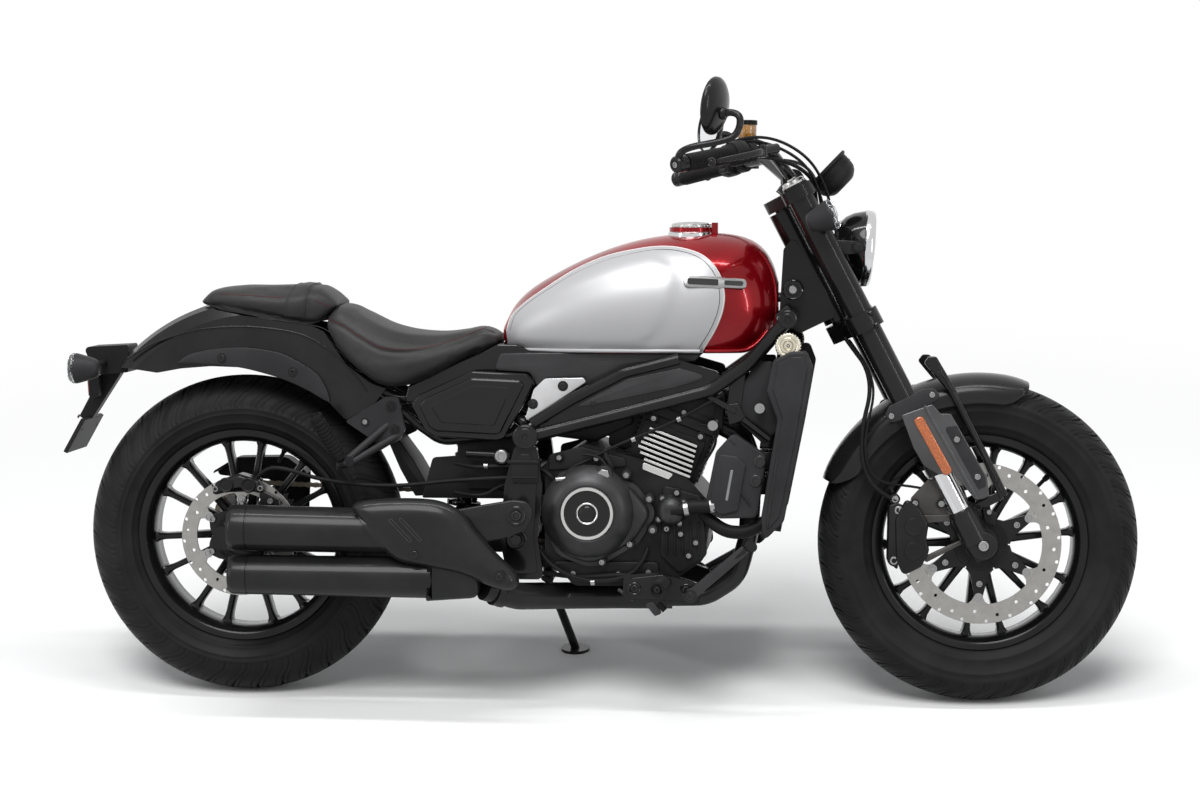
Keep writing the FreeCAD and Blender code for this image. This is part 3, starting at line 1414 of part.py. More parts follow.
# node, its maker and whether it turns with the steering
nodes = (
    ("steering_head", steering_head, False),
    ("frame_rails", frame_rails, False),
    ("frame_plates", frame_side_plates, False),
    ("seat_subframe", seat_subframe, False),
    ("swingarm", swingarm, False),
    ("rear_axle", rear_axle_shaft, False),
    ("rear_shock", rear_shock, False),
    ("crankcase", engine_block, False),
    ("cylinder", cylinder, False),
    ("cylinder_head", cylinder_head, False),
    ("engine_covers", engine_covers, False),
    ("radiator", radiator, False),
    ("radiator_covers", radiator_covers, False),
    ("header_pipes", header_pipes, False),
    ("mufflers", mufflers, False),
    ("heat_shield", heat_shield, False),
    ("fuel_tank", fuel_tank, False),
    ("tank_side_panels", tank_side_panels, False),
    ("fuel_cap_lid", fuel_cap_lid, False),
    ("rider_seat", rider_seat, False),
    ("pillion_seat", pillion_seat, False),
    ("rear_fender", fender_with_trims, False),
    ("tail_bracket", tail_assembly, False),
    ("rear_signals", rear_signals, False),
    ("side_covers", side_panels, False),
    ("footrest_plates", footrest_plates, False),
    ("rider_peg_right", right_rider_peg, False),
    ("rider_peg_left", left_rider_peg, False),
    ("passenger_peg_brackets", passenger_peg_brackets, False),
    ("passenger_peg_right", right_passenger_peg, False),
    ("passenger_peg_left", left_passenger_peg, False),
    ("chain", chain, False),
    ("chain_guard", chain_guard, False),
    ("rear_caliper", rear_caliper, False),
    ("rear_brake_hose", rear_brake_hose, False),
    ("side_stand", side_stand, False),
    ("rear_wheel_rim", rear_wheel_rim, False),
    ("rear_tyre", rear_tyre, False),
    ("rear_brake_disc", rear_disc, False),
    ("rear_sprocket", rear_sprocket, False),
    ("triple_clamps", triple_clamps, True),
    ("fork_outer_tubes", fork_outer_tubes, True),
    ("fork_lower_legs", fork_lower_legs, True),
    ("front_axle", front_axle_shaft, True),
    ("fork_guards", fork_guards, True),
    ("front_fender", fender_with_stays, True),
    ("handlebar", handlebar, True),
    ("hand_controls", hand_controls, True),
    ("bar_end_mirrors", bar_end_mirrors, True),
    ("headlight_shell", headlight_shell, True),
    ("headlight_lens", headlight_lens, True),
    ("gauge_pod", gauge_pod, True),
    ("front_signals", front_signals, True),
    ("front_caliper", front_caliper, True),
    ("front_brake_hose", brake_hose, True),
    ("control_cables", control_cables, True),
    ("front_wheel_rim", front_wheel_rim, True),
    ("front_tyre", front_tyre, True),
    ("front_brake_disc", front_disc, True),
)


def upright_nodes():
    return [(name, maker()) for name, maker, steered in nodes]


def stand_up(shapes):
    # turn the steered nodes, lean the machine, and set the origin under the box's middle
    steered = {name for name, maker, turns in nodes if turns}
    steer = steer_placement(steer_rest)
    placed = []
    for name, shape in shapes:
        moved = stance.multiply(steer) if name in steered else stance
        placed.append((name, shape.transformed(moved.Matrix)))
    return placed


def origin_shift(placed):
    box = group([shape for name, shape in placed]).optimalBoundingBox(False, False)
    return at(-(box.XMin + box.XMax) / 2, -(box.YMin + box.YMax) / 2, 0)


def main():
    os.makedirs("parts", exist_ok=True)
    placed = stand_up(upright_nodes())
    shift = origin_shift(placed)
    for name, shape in placed:
        shape.translate(shift)
        shape.exportStep("parts/" + name + ".step")
    print("origin shift", round(shift.x, 4), round(shift.y, 4))


if __name__ == "__main__":
    main()
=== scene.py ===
import json
import math
import random

import bmesh
import bpy
from mathutils import Matrix, Vector
from mathutils.bvhtree import BVHTree


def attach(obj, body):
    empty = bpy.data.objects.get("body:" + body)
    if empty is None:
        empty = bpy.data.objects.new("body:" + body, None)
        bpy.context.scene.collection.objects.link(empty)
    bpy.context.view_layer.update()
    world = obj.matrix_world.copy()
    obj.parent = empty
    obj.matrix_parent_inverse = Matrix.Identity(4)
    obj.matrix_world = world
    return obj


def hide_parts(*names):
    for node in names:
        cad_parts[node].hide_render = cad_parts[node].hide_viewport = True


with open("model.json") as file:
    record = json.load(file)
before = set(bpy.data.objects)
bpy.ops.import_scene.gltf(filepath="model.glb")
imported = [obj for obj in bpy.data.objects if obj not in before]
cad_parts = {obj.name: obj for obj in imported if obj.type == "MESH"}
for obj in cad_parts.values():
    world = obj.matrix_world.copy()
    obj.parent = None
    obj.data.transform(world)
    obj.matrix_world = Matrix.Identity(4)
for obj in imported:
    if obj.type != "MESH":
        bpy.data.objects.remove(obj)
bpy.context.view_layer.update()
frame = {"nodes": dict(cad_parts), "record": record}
nodes = frame["nodes"]
print("stage: frame loaded")


# ---- the machine's own frames
# Pieces are drawn as the machine stands upright: X forward, Y to the rider's left, Z up, the
# origin on the road midway between the axles. Two placements take them to where the CAD leans.
machine = {
    "rake": math.radians(27.3),
    "rearAxle": Vector((-0.7425, 0, 0.3232)),
    "frontAxle": Vector((0.7425, 0, 0.3202)),
    "frontTyreRadius": 0.3202,
    "rearTyreRadius": 0.3232,
    "legOffset": 0.038,
    "legSpacing": 0.104,
    "axleOffset": 0.0453,
}


def jointNamed(name):
    for joint in frame["record"]["behaviour"]["joints"]:
        if joint["name"] == name:
            return Vector(joint["pos_m"]), Vector(joint["axis"]).normalized()
    raise KeyError(name)


def placement(steerAxis, across, knownPoint, drawnPoint):
    sine, cosine = math.sin(machine["rake"]), math.cos(machine["rake"])
    ahead = across.cross(steerAxis).normalized()
    forward = ahead * cosine - steerAxis * sine
    upward = forward.cross(across)
    turn = Matrix((forward, across, upward)).transposed()
    return Matrix.Translation(knownPoint - turn @ drawnPoint) @ turn.to_4x4()


steerPoint, steerAxis = jointNamed("steering")
rearPoint, rearAcross = jointNamed("rear_wheel_spin")
frontPoint, frontAcross = jointNamed("front_wheel_spin")
upright = placement(steerAxis, rearAcross, rearPoint, machine["rearAxle"])
turned = placement(steerAxis, frontAcross, frontPoint, machine["frontAxle"])
bodyPlace = {"chassis": upright, "rear_wheel": upright, "steering": turned, "front_wheel": turned}


def place(body):
    return bodyPlace.get(body, upright)


def onFork(along, ahead, side):
    # a point measured up the steering axis from beside the axle, ahead of it and to the left
    sine, cosine = math.sin(machine["rake"]), math.cos(machine["rake"])
    axis = Vector((-sine, 0, cosine))
    front = Vector((cosine, 0, sine))
    base = machine["frontAxle"] - front * machine["axleOffset"]
    return base + axis * along + front * ahead + Vector((0, side, 0))


# ---- shader maths
class Signal:
    def __init__(self, shader, socket):
        self.shader = shader
        self.socket = socket

    def do(self, operation, *others):
        return self.shader.maths(operation, self, *others)

    def __add__(self, other):
        return self.do("ADD", other)

    def __sub__(self, other):
        return self.do("SUBTRACT", other)

    def __mul__(self, other):
        return self.do("MULTIPLY", other)

    def __truediv__(self, other):
        return self.do("DIVIDE", other)

    def __radd__(self, other):
        return self.shader.maths("ADD", other, self)

    def __rsub__(self, other):
        return self.shader.maths("SUBTRACT", other, self)

    def __rmul__(self, other):
        return self.shader.maths("MULTIPLY", other, self)

    def __neg__(self):
        return self * -1.0

    def between(self, low, high):
        made = self.shader.node("ShaderNodeMapRange", {"Value": self, "From Min": low, "From Max": high})
        made.interpolation_type = "SMOOTHSTEP"
        return Signal(self.shader, made.outputs["Result"])

class Shader:
    def __init__(self, name, **constants):
        self.material = bpy.data.materials.new(name)
        self.material.use_nodes = True
        self.tree = self.material.node_tree
        self.tree.nodes.clear()
        self.surface = self.node("ShaderNodeBsdfPrincipled", constants)
        self.output = self.node("ShaderNodeOutputMaterial", {"Surface": self.out(self.surface, "BSDF")})

    def node(self, kind, inputs=None, **settings):
        made = self.tree.nodes.new(kind)
        for key, value in settings.items():
            setattr(made, key, value)
        for key, value in (inputs or {}).items():
            self.feed(made.inputs[key], value)
        return made

    def feed(self, target, value):
        if isinstance(value, Signal):
            self.tree.links.new(value.socket, target)
        elif isinstance(value, (tuple, list)) and len(value) == 3 and target.type == "RGBA":
            target.default_value = (*value, 1.0)
        else:
            target.default_value = value

    def out(self, made, name):
        return Signal(self, made.outputs[name])

    def maths(self, operation, *values):
        made = self.node("ShaderNodeMath", operation=operation)
        for target, value in zip(made.inputs, values):
            self.feed(target, value)
        return Signal(self, made.outputs[0])

    def point(self):
        return self.out(self.node("ShaderNodeTexCoord"), "Object")

    def stretched(self, scale, vector=None):
        made = self.node("ShaderNodeMapping", {"Vector": vector or self.point()})
        made.inputs["Scale"].default_value = scale
        return self.out(made, "Vector")

    def noise(self, scale, detail=3.0, roughness=0.55, vector=None):
        made = self.node("ShaderNodeTexNoise", {"Scale": scale, "Detail": detail, "Roughness": roughness,
            "Vector": vector or self.point()})
        return self.out(made, "Fac")

    def cells(self, scale, vector=None, feature="F1"):
        made = self.node("ShaderNodeTexVoronoi", {"Scale": scale, "Vector": vector or self.point()}, feature=feature)
        return self.out(made, "Distance")

    def mix(self, factor, first, second):
        made = self.node("ShaderNodeMix", data_type="RGBA")
        self.feed(made.inputs[0], factor)
        self.feed(made.inputs[6], first)
        self.feed(made.inputs[7], second)
        return Signal(self, made.outputs[2])

    def set(self, **values):
        for key, value in values.items():
            self.feed(self.surface.inputs[key.replace("_", " ")], value)
        return self

    def bump(self, height, strength=0.3, distance=0.001):
        made = self.node("ShaderNodeBump", {"Height": height, "Strength": strength, "Distance": distance})
        self.feed(self.surface.inputs["Normal"], self.out(made, "Normal"))
        return self


# ---- finishes
def candyPaint(name, colour, deep):
    shader = Shader(name, Metallic=0.45)
    cloud = shader.noise(7.0, 2.0)
    flake = shader.noise(2600.0, 1.0)
    shader.set(Base_Color=shader.mix(cloud.between(0.3, 0.7), colour, deep), Roughness=0.19 + flake * 0.1)
    shader.set(Specular_IOR_Level=0.12, Coat_Weight=0.34, Coat_Roughness=0.03)
    return shader.bump(flake, 0.02, 0.0002).material


def glossPaint(name, colour, roughness=0.16):
    shader = Shader(name, Metallic=0.0)
    haze = shader.noise(9.0, 4.0)
    peel = shader.noise(420.0, 2.0)
    lighter = tuple(channel * 1.5 + 0.003 for channel in colour)
    shader.set(Base_Color=shader.mix(haze, colour, lighter), Roughness=roughness + haze * 0.08)
    shader.set(Specular_IOR_Level=0.1, Coat_Weight=0.4, Coat_Roughness=0.04)
    return shader.bump(peel, 0.04, 0.0003).material


def satinPaint(name, colour, roughness=0.38, metallic=0.0):
    shader = Shader(name, Metallic=metallic)
    haze = shader.noise(11.0, 5.0)
    grain = shader.noise(900.0, 2.0)
    lighter = tuple(channel * 1.45 + 0.004 for channel in colour)
    shader.set(Base_Color=shader.mix(haze.between(0.25, 0.8), colour, lighter),
        Roughness=roughness - 0.05 + haze * 0.1)
    shader.set(Specular_IOR_Level=0.12, Coat_Weight=0.22, Coat_Roughness=0.13)
    return shader.bump(grain, 0.12, 0.0003).material


def castMetal(name, colour, roughness=0.5, metallic=0.6, depth=0.35):
    shader = Shader(name, Metallic=metallic)
    haze = shader.noise(14.0, 6.0)
    sand = shader.noise(520.0, 3.0, 0.7)
    lighter = tuple(channel * 1.6 + 0.006 for channel in colour)
    shader.set(Base_Color=shader.mix(haze.between(0.3, 0.75), colour, lighter),
        Roughness=roughness + (sand - 0.5) * 0.18)
    shader.set(Specular_IOR_Level=0.14)
    return shader.bump(sand, depth, 0.0006).material


def brushedMetal(name, colour, stretch, roughness=0.28):
    shader = Shader(name, Metallic=1.0)
    streak = shader.noise(1.0, 6.0, 0.7, shader.stretched(stretch))
    haze = shader.noise(5.0, 3.0)
    darker = tuple(channel * 0.82 for channel in colour)
    shader.set(Base_Color=shader.mix(streak.between(0.2, 0.8), darker, colour),
        Roughness=roughness + (streak - 0.5) * 0.16 + (haze - 0.5) * 0.06)
    return shader.bump(streak, 0.05, 0.0003).material


def polishedMetal(name, colour, roughness=0.12):
    shader = Shader(name, Metallic=1.0)
    haze = shader.noise(30.0, 5.0)
    darker = tuple(channel * 0.9 for channel in colour)
    shader.set(Base_Color=shader.mix(haze, darker, colour), Roughness=roughness + haze * 0.08)
    return shader.bump(shader.noise(600.0, 2.0), 0.03, 0.0002).material


def silverPaint(name, colour):
    shader = Shader(name, Metallic=0.35)
    flake = shader.noise(2200.0, 1.0)
    haze = shader.noise(5.0, 3.0)
    darker = tuple(channel * 0.92 for channel in colour)
    shader.set(Base_Color=shader.mix(haze, darker, colour), Roughness=0.38 + flake * 0.08)
    shader.set(Specular_IOR_Level=0.3, Coat_Weight=0.2, Coat_Roughness=0.2)
    return shader.bump(flake, 0.03, 0.0002).material


def mouldedPlastic(name, colour, roughness=0.5):
    shader = Shader(name)
    haze = shader.noise(8.0, 4.0)
    pebble = shader.cells(1500.0)
    lighter = tuple(channel * 1.35 + 0.004 for channel in colour)
    shader.set(Base_Color=shader.mix(haze.between(0.3, 0.7), colour, lighter), Roughness=roughness - 0.04 + haze * 0.1)
    shader.set(Specular_IOR_Level=0.13)
    return shader.bump(pebble, 0.12, 0.0003).material


def rubber(name, colour, roughness=0.62):
    shader = Shader(name)
    haze = shader.noise(12.0, 5.0)
    grain = shader.noise(750.0, 3.0, 0.7)
    lighter = tuple(channel * 1.6 + 0.004 for channel in colour)
    shader.set(Base_Color=shader.mix(haze.between(0.25, 0.8), colour, lighter),
        Roughness=roughness + (haze - 0.5) * 0.16)
    shader.set(Specular_IOR_Level=0.1)
    return shader.bump(grain, 0.2, 0.0004).material


def leather(name, colour):
    shader = Shader(name)
    grain = shader.cells(420.0)
    crease = shader.noise(60.0, 5.0, 0.65)
    haze = shader.noise(6.0, 3.0)
    lighter = tuple(channel * 1.6 + 0.006 for channel in colour)
    shader.set(Base_Color=shader.mix(haze.between(0.3, 0.7), colour, lighter),
        Roughness=0.46 + (grain - 0.3) * 0.2 + (haze - 0.5) * 0.1)
    shader.set(Specular_IOR_Level=0.24)
    return shader.bump(grain + crease * 0.6, 0.35, 0.0006).material


def clearGlass(name, tint=(0.97, 0.98, 1.0), roughness=0.03):
    shader = Shader(name)
    ripple = shader.noise(25.0, 2.0)
    shader.set(Base_Color=shader.mix(ripple, tint, tuple(channel * 0.96 for channel in tint)),
        Roughness=roughness + ripple * 0.02)
    shader.set(IOR=1.45, Transmission_Weight=1.0)
    return shader.bump(ripple, 0.03, 0.0004).material


def lampPlastic(name, colour, paintedGlow=0.0):
    shader = Shader(name)
    prism = shader.cells(260.0)
    shader.set(Base_Color=shader.mix(prism.between(0.0, 0.7), colour, tuple(c * 0.55 for c in colour)),
        Roughness=0.14 + prism * 0.12)
    shader.set(Coat_Weight=1.0, Coat_Roughness=0.04)
    # paintedGlow is painted light: emission in the part's own colour, for parts that are not lamps
    if paintedGlow:
        shader.set(Emission_Color=colour, Emission_Strength=paintedGlow)
    return shader.bump(prism, 0.25, 0.0006).material


finish = {
    "candyRed": candyPaint("candy_red", (0.3, 0.0015, 0.007), (0.2, 0.001, 0.004)),
    "silver": silverPaint("satin_silver", (0.49, 0.49, 0.5)),
    "polished": polishedMetal("polished_alloy", (0.55, 0.55, 0.54), 0.2),
    "chrome": polishedMetal("chrome", (0.62, 0.62, 0.63), 0.1),
    "blackGloss": glossPaint("black_gloss", (0.004, 0.004, 0.0045)),
    "blackSatin": satinPaint("black_satin", (0.0085, 0.0085, 0.009), 0.27),
    "frameBlack": satinPaint("frame_black", (0.007, 0.007, 0.0075), 0.24),
    "cansBlack": satinPaint("cans_black", (0.0105, 0.0105, 0.011), 0.36),
    "engineBlack": castMetal("engine_black", (0.01, 0.01, 0.0105), 0.42, 0.3),
    "coverGrey": castMetal("cover_charcoal", (0.03, 0.03, 0.031), 0.36, 0.6, 0.2),
    "matteBlack": mouldedPlastic("matte_black", (0.01, 0.01, 0.0105), 0.45),
    "charcoal": mouldedPlastic("charcoal", (0.026, 0.026, 0.0275), 0.42),
    "gunmetal": satinPaint("gunmetal", (0.06, 0.06, 0.062), 0.32, 0.6),
    "disc": brushedMetal("disc_steel", (0.33, 0.325, 0.31), (60.0, 60.0, 60.0), 0.34),
    "blackAlloy": satinPaint("black_alloy", (0.0075, 0.0075, 0.008), 0.28, 0.25),
    "leather": leather("seat_leather", (0.016, 0.0155, 0.016)),
    "tyre": rubber("tyre_rubber", (0.01, 0.01, 0.0103), 0.5),
    "rubber": rubber("rubber_black", (0.009, 0.009, 0.009), 0.5),
    "steel": brushedMetal("steel", (0.3, 0.3, 0.3), (80.0, 80.0, 80.0), 0.3),
    "boltSteel": polishedMetal("bolt_steel", (0.31, 0.31, 0.31), 0.3),
    "boltBlack": satinPaint("bolt_black", (0.022, 0.022, 0.023), 0.26, 0.6),
    "chain": castMetal("chain_steel", (0.22, 0.19, 0.15), 0.38, 0.9, 0.1),
    "glass": clearGlass("clear_glass"),
    # the fork's amber reflectors are not lamps; their faint emission is a painted glow
    "amber": lampPlastic("amber_reflector_painted_glow", (0.62, 0.13, 0.006), 0.08),
    "amberFluid": lampPlastic("amber_fluid", (0.55, 0.25, 0.04)),
    "redThread": rubber("red_thread", (0.13, 0.008, 0.012), 0.6),
    "blackThread": rubber("black_thread", (0.03, 0.03, 0.03), 0.6),
    "mirror": polishedMetal("mirror_glass", (0.85, 0.86, 0.87), 0.02),
    "lamp": polishedMetal("lamp_reflector", (0.8, 0.81, 0.82), 0.08),
    "clearLamp": clearGlass("clear_lamp", (0.95, 0.96, 0.97), 0.12),
    "redLamp": lampPlastic("red_lamp", (0.45, 0.01, 0.012)),
    "whiteMark": mouldedPlastic("dial_marks", (0.75, 0.75, 0.75), 0.5),
    "wheelBlack": satinPaint("wheel_black", (0.006, 0.006, 0.0065), 0.26, 0.2),
    "bracketGrey": castMetal("bracket_grey", (0.05, 0.048, 0.046), 0.42, 0.6, 0.15),
    "paleBrass": polishedMetal("pale_brass", (0.62, 0.58, 0.48), 0.26),
    "paleSlot": satinPaint("pale_slot", (0.2, 0.2, 0.21), 0.35, 0.6),
    "coreFins": castMetal("core_fins", (0.03, 0.03, 0.032), 0.45, 0.8, 0.1),
    "silverSatin": satinPaint("silver_satin", (0.42, 0.42, 0.425), 0.36, 0.7),
    "paleLine": glossPaint("pale_line", (0.62, 0.56, 0.56), 0.25),
    "trimGrey": satinPaint("trim_grey", (0.03, 0.03, 0.0315), 0.36, 0.2),
}
nodeFinish = {
    "steering_head": "frameBlack", "frame_rails": "frameBlack", "frame_plates": "frameBlack",
    "seat_subframe": "frameBlack", "swingarm": "blackAlloy", "rear_axle": "steel", "rear_shock": "blackSatin",
    "crankcase": "engineBlack", "cylinder": "engineBlack", "cylinder_head": "engineBlack",
    "engine_covers": "coverGrey", "radiator": "matteBlack", "radiator_covers": "charcoal",
    "header_pipes": "cansBlack", "mufflers": "cansBlack", "heat_shield": "cansBlack", "fuel_tank": "candyRed",
    "tank_side_panels": "silver", "fuel_cap_lid": "polished", "rider_seat": "leather",
    "pillion_seat": "leather", "rear_fender": "blackSatin", "tail_bracket": "matteBlack",
    "rear_signals": "charcoal", "side_covers": "blackGloss", "footrest_plates": "blackAlloy",
    "rider_peg_right": "rubber", "rider_peg_left": "rubber", "passenger_peg_brackets": "charcoal",
    "passenger_peg_right": "rubber", "passenger_peg_left": "rubber", "chain": "chain",
    "chain_guard": "matteBlack", "rear_caliper": "blackAlloy", "rear_brake_hose": "rubber",
    "side_stand": "blackSatin", "rear_wheel_rim": "blackAlloy", "rear_tyre": "tyre",
    "rear_brake_disc": "disc", "rear_sprocket": "steel", "triple_clamps": "blackAlloy",
    "fork_outer_tubes": "blackSatin", "fork_lower_legs": "blackSatin", "front_axle": "boltSteel",
    "fork_guards": "gunmetal", "front_fender": "blackSatin", "handlebar": "blackSatin",
    "hand_controls": "matteBlack", "bar_end_mirrors": "matteBlack", "headlight_shell": "blackGloss",
    "headlight_lens": "glass", "gauge_pod": "matteBlack", "front_signals": "charcoal",
    "front_caliper": "blackAlloy", "front_brake_hose": "rubber", "control_cables": "rubber",
    "front_wheel_rim": "blackAlloy", "front_tyre": "tyre", "front_brake_disc": "disc",
}
for nodeName, finishName in nodeFinish.items():
    shown = nodes[nodeName]
    shown.data.materials.clear()
    shown.data.materials.append(finish[finishName])
print("stage: finishes")


# ---- studio
studio = {
    "cameraSpot": Vector((0.517, -6.0, 1.034)),
    "yaw": -0.089,
    "pitch": 0.073,
    "lens": 2983.0 / 1200.0 * 36.0,
    "floorSeen": (0.97, 0.97, 0.97),
    "floorHidden": (0.35, 0.35, 0.35),
    "floorReach": (1.6, 3.4),
    "skyHidden": (0.26, 0.265, 0.27),
}


def addCamera():
    yaw, pitch = studio["yaw"], studio["pitch"]
    facing = Vector((math.sin(yaw) * math.cos(pitch), math.cos(yaw) * math.cos(pitch), -math.sin(pitch)))
    right = Vector((math.cos(yaw), -math.sin(yaw), 0))
    above = right.cross(facing)
    turn = Matrix((right, above, -facing)).transposed().to_4x4()
    data = bpy.data.cameras.new("camera")
    data.lens = studio["lens"]
    data.sensor_width = 36.0
    data.clip_end = 200.0
    camera = bpy.data.objects.new("camera", data)
    camera.matrix_world = upright @ Matrix.Translation(studio["cameraSpot"]) @ turn
    bpy.context.scene.collection.objects.link(camera)
    bpy.context.scene.camera = camera


def addLight(name, spot, target, size, power):
    data = bpy.data.lights.new(name, "AREA")
    data.shape = "RECTANGLE"
    data.size, data.size_y = size
    data.energy = power
    light = bpy.data.objects.new(name, data)
    light.location = spot
    aim = Vector(target) - Vector(spot)
    light.rotation_euler = aim.to_track_quat("-Z", "Y").to_euler()
    bpy.context.scene.collection.objects.link(light)


def addSun(name, heading, power, spread):
    data = bpy.data.lights.new(name, "SUN")
    data.energy = power
    data.angle = math.radians(spread)
    sun = bpy.data.objects.new(name, data)
    sun.rotation_euler = Vector(heading).to_track_quat("-Z", "Y").to_euler()
    bpy.context.scene.collection.objects.link(sun)


def seenDirectly(tree):
    # 1 for camera, glossy and transmission rays, 0 for the light that falls on the machine
    rays = tree.nodes.new("ShaderNodeLightPath")
    total = rays.outputs["Is Camera Ray"]
    for kind in ("Is Glossy Ray", "Is Transmission Ray"):
        most = tree.nodes.new("ShaderNodeMath")
        most.operation = "MAXIMUM"
        tree.links.new(total, most.inputs[0])
        tree.links.new(rays.outputs[kind], most.inputs[1])
        total = most.outputs[0]
    return total


def addFloor():
    mesh = bpy.data.meshes.new("floor")
    bm = bmesh.new()
    bmesh.ops.create_grid(bm, x_segments=1, y_segments=1, size=60.0)
    bm.to_mesh(mesh)
    bm.free()
    floor = bpy.data.objects.new("floor", mesh)
    bpy.context.scene.collection.objects.link(floor)
    shader = Shader("floor_white", Roughness=0.95)
    shader.set(Specular_IOR_Level=0.0)
    seen = Signal(shader, seenDirectly(shader.tree))
    shader.set(Base_Color=shader.mix(seen, studio["floorHidden"], studio["floorSeen"]))
    # past the machine's surroundings the floor turns into the white backdrop
    flat = shader.node("ShaderNodeVectorMath", {0: shader.point()}, operation="LENGTH")
    far = shader.out(flat, "Value").between(studio["floorReach"][0], studio["floorReach"][1]) * seen
    backdrop = shader.node("ShaderNodeEmission", {"Color": (1.0, 1.0, 1.0), "Strength": 1.0})
    both = shader.node("ShaderNodeMixShader", {0: far, 1: shader.out(shader.surface, "BSDF"),
        2: shader.out(backdrop, "Emission")})
    shader.feed(shader.output.inputs["Surface"], shader.out(both, "Shader"))
    mesh.materials.append(shader.material)


def setWorld():
    world = bpy.data.worlds.new("studio")
    bpy.context.scene.world = world
    world.use_nodes = True
    tree = world.node_tree
    mix = tree.nodes.new("ShaderNodeMix")
    mix.data_type = "RGBA"
    mix.inputs[6].default_value = (*studio["skyHidden"], 1)
    mix.inputs[7].default_value = (1.0, 1.0, 1.0, 1)
    tree.links.new(seenDirectly(tree), mix.inputs[0])
    tree.links.new(mix.outputs[2], tree.nodes["Background"].inputs["Color"])


addCamera()
addSun("key", (0.1, 0.62, -1.0), 1.9, 30)
addLight("overhead", (0.0, -0.5, 4.2), (0, 0, 0.6), (3.6, 0.22), 62)
addLight("nose_strip", (3.6, -2.6, 1.9), (0.3, 0, 0.7), (0.14, 2.6), 24)
addLight("tail_strip", (-3.6, -2.6, 1.9), (-0.4, 0, 0.6), (0.14, 2.6), 24)
addFloor()
setWorld()
bpy.context.scene.view_settings.view_transform = "Standard"
print("stage: studio")


# ---- making pieces
flanks = ((-1, "right"), (1, "left"))


def besideRight(x, z, y):
    return Vector((x, -y, z))


def besideLeft(x, z, y):
    return Vector((x, y, z))


def blanks(count):
    return [bmesh.new() for part in range(count)]


def mm(*spot):
    # a place given in millimetres
    return Vector([value / 1000 for value in spot])


def milli(*rows):
    # a table written in thousandths, of a metre or of a share
    return [tuple(milli(*row)) if isinstance(row, tuple) else row / 1000 for row in rows]


def oblong(left, right, low, high, corner=0):
    return [(left, low, corner), (right, low, corner), (right, high, corner), (left, high, corner)]


def settle(piece, finishName, body, replaced):
    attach(piece, body)
    if replaced:
        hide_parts(*replaced)
    return piece


def addPiece(name, bm, finishName, body="chassis", replaced=(), sharp=35):
    bmesh.ops.remove_doubles(bm, verts=bm.verts, dist=0.00002)
    bmesh.ops.recalc_face_normals(bm, faces=bm.faces)
    mesh = bpy.data.meshes.new(name)
    bm.to_mesh(mesh)
    bm.free()
    mesh.transform(place(body))
    mesh.materials.append(finish[finishName])
    mesh.shade_smooth()
    mesh.set_sharp_from_angle(angle=math.radians(sharp))
    piece = bpy.data.objects.new(name, mesh)
    bpy.context.scene.collection.objects.link(piece)
    return settle(piece, finishName, body, replaced)


def addHose(name, points, radius, finishName, body="chassis", replaced=()):
    curve = bpy.data.curves.new(name, "CURVE")
    curve.dimensions = "3D"
    curve.bevel_depth = radius
    curve.bevel_resolution = 3
    curve.use_fill_caps = True
    spline = curve.splines.new("NURBS")
    spline.points.add(len(points) - 1)
    for point, spot in zip(spline.points, points):
        point.co = (*(place(body) @ Vector(spot)), 1)
    spline.order_u = 3
    spline.use_endpoint_u = True
    spline.resolution_u = 8
    curve.materials.append(finish[finishName])
    piece = bpy.data.objects.new(name, curve)
    bpy.context.scene.collection.objects.link(piece)
    return settle(piece, finishName, body, replaced)


def lathe(bm, rows, centre, direction, steps=48):
    # rows of distance along the axis and radius, turned all the way round
    direction = Vector(direction).normalized()
    centre = Vector(centre)
    side = direction.orthogonal().normalized()
    spots = [bm.verts.new(centre + direction * along + side * radius) for along, radius in rows]
    edges = [bm.edges.new(pair) for pair in zip(spots, spots[1:])]
    bmesh.ops.spin(bm, geom=spots + edges, cent=centre, axis=direction, angle=2 * math.pi, steps=steps, use_merge=True)


def rod(bm, start, end, radius, endRadius=None, steps=20, chamfer=0.0006):
    start, end = Vector(start), Vector(end)
    last = radius if endRadius is None else endRadius
    reach = (end - start).length
    rows = [(0, 0), (0, radius - chamfer), (chamfer, radius), (reach - chamfer, last),
        (reach, last - chamfer), (reach, 0)]
    lathe(bm, rows, start, end - start, steps)


def bolt(bm, spot, direction, radius=0.005, height=0.005, hexagon=False):
    # a socket-headed screw, or a hexagon head on its flange
    direction = Vector(direction).normalized()
    if hexagon:
        lathe(bm, [(0, radius * 1.35), (0.0012, radius * 1.3), (0.0016, radius)], spot, direction, 18)
        lathe(bm, [(0.001, radius), (height * 0.85, radius), (height, radius * 0.85), (height, 0)], spot, direction, 6)
        return
    lathe(bm, [(0, radius), (height * 0.8, radius), (height, radius * 0.88),
        (height, radius * 0.62)], spot, direction, 16)
    lathe(bm, [(height, radius * 0.62), (height * 0.1, radius * 0.56), (height * 0.08, 0)], spot, direction, 6)


def roundedOutline(rows, pieces=5):
    # rows of x, z and corner radius, as points with each corner turned into an arc
    points = []
    for i, (x, z, corner) in enumerate(rows):
        here = Vector((x, z))
        back = Vector(rows[i - 1][:2]) - here
        ahead = Vector(rows[(i + 1) % len(rows)][:2]) - here
        half = back.angle(ahead) / 2
        if corner <= 0 or half > 1.55:
            points.append(here)
            continue
        reach = min(corner / math.tan(half), 0.48 * back.length, 0.48 * ahead.length)
        start = here + back.normalized() * reach
        end = here + ahead.normalized() * reach
        for step in range(pieces + 1):
            t = step / pieces
            points.append(start * (1 - t) ** 2 + here * (2 * t * (1 - t)) + end * t ** 2)
    return points


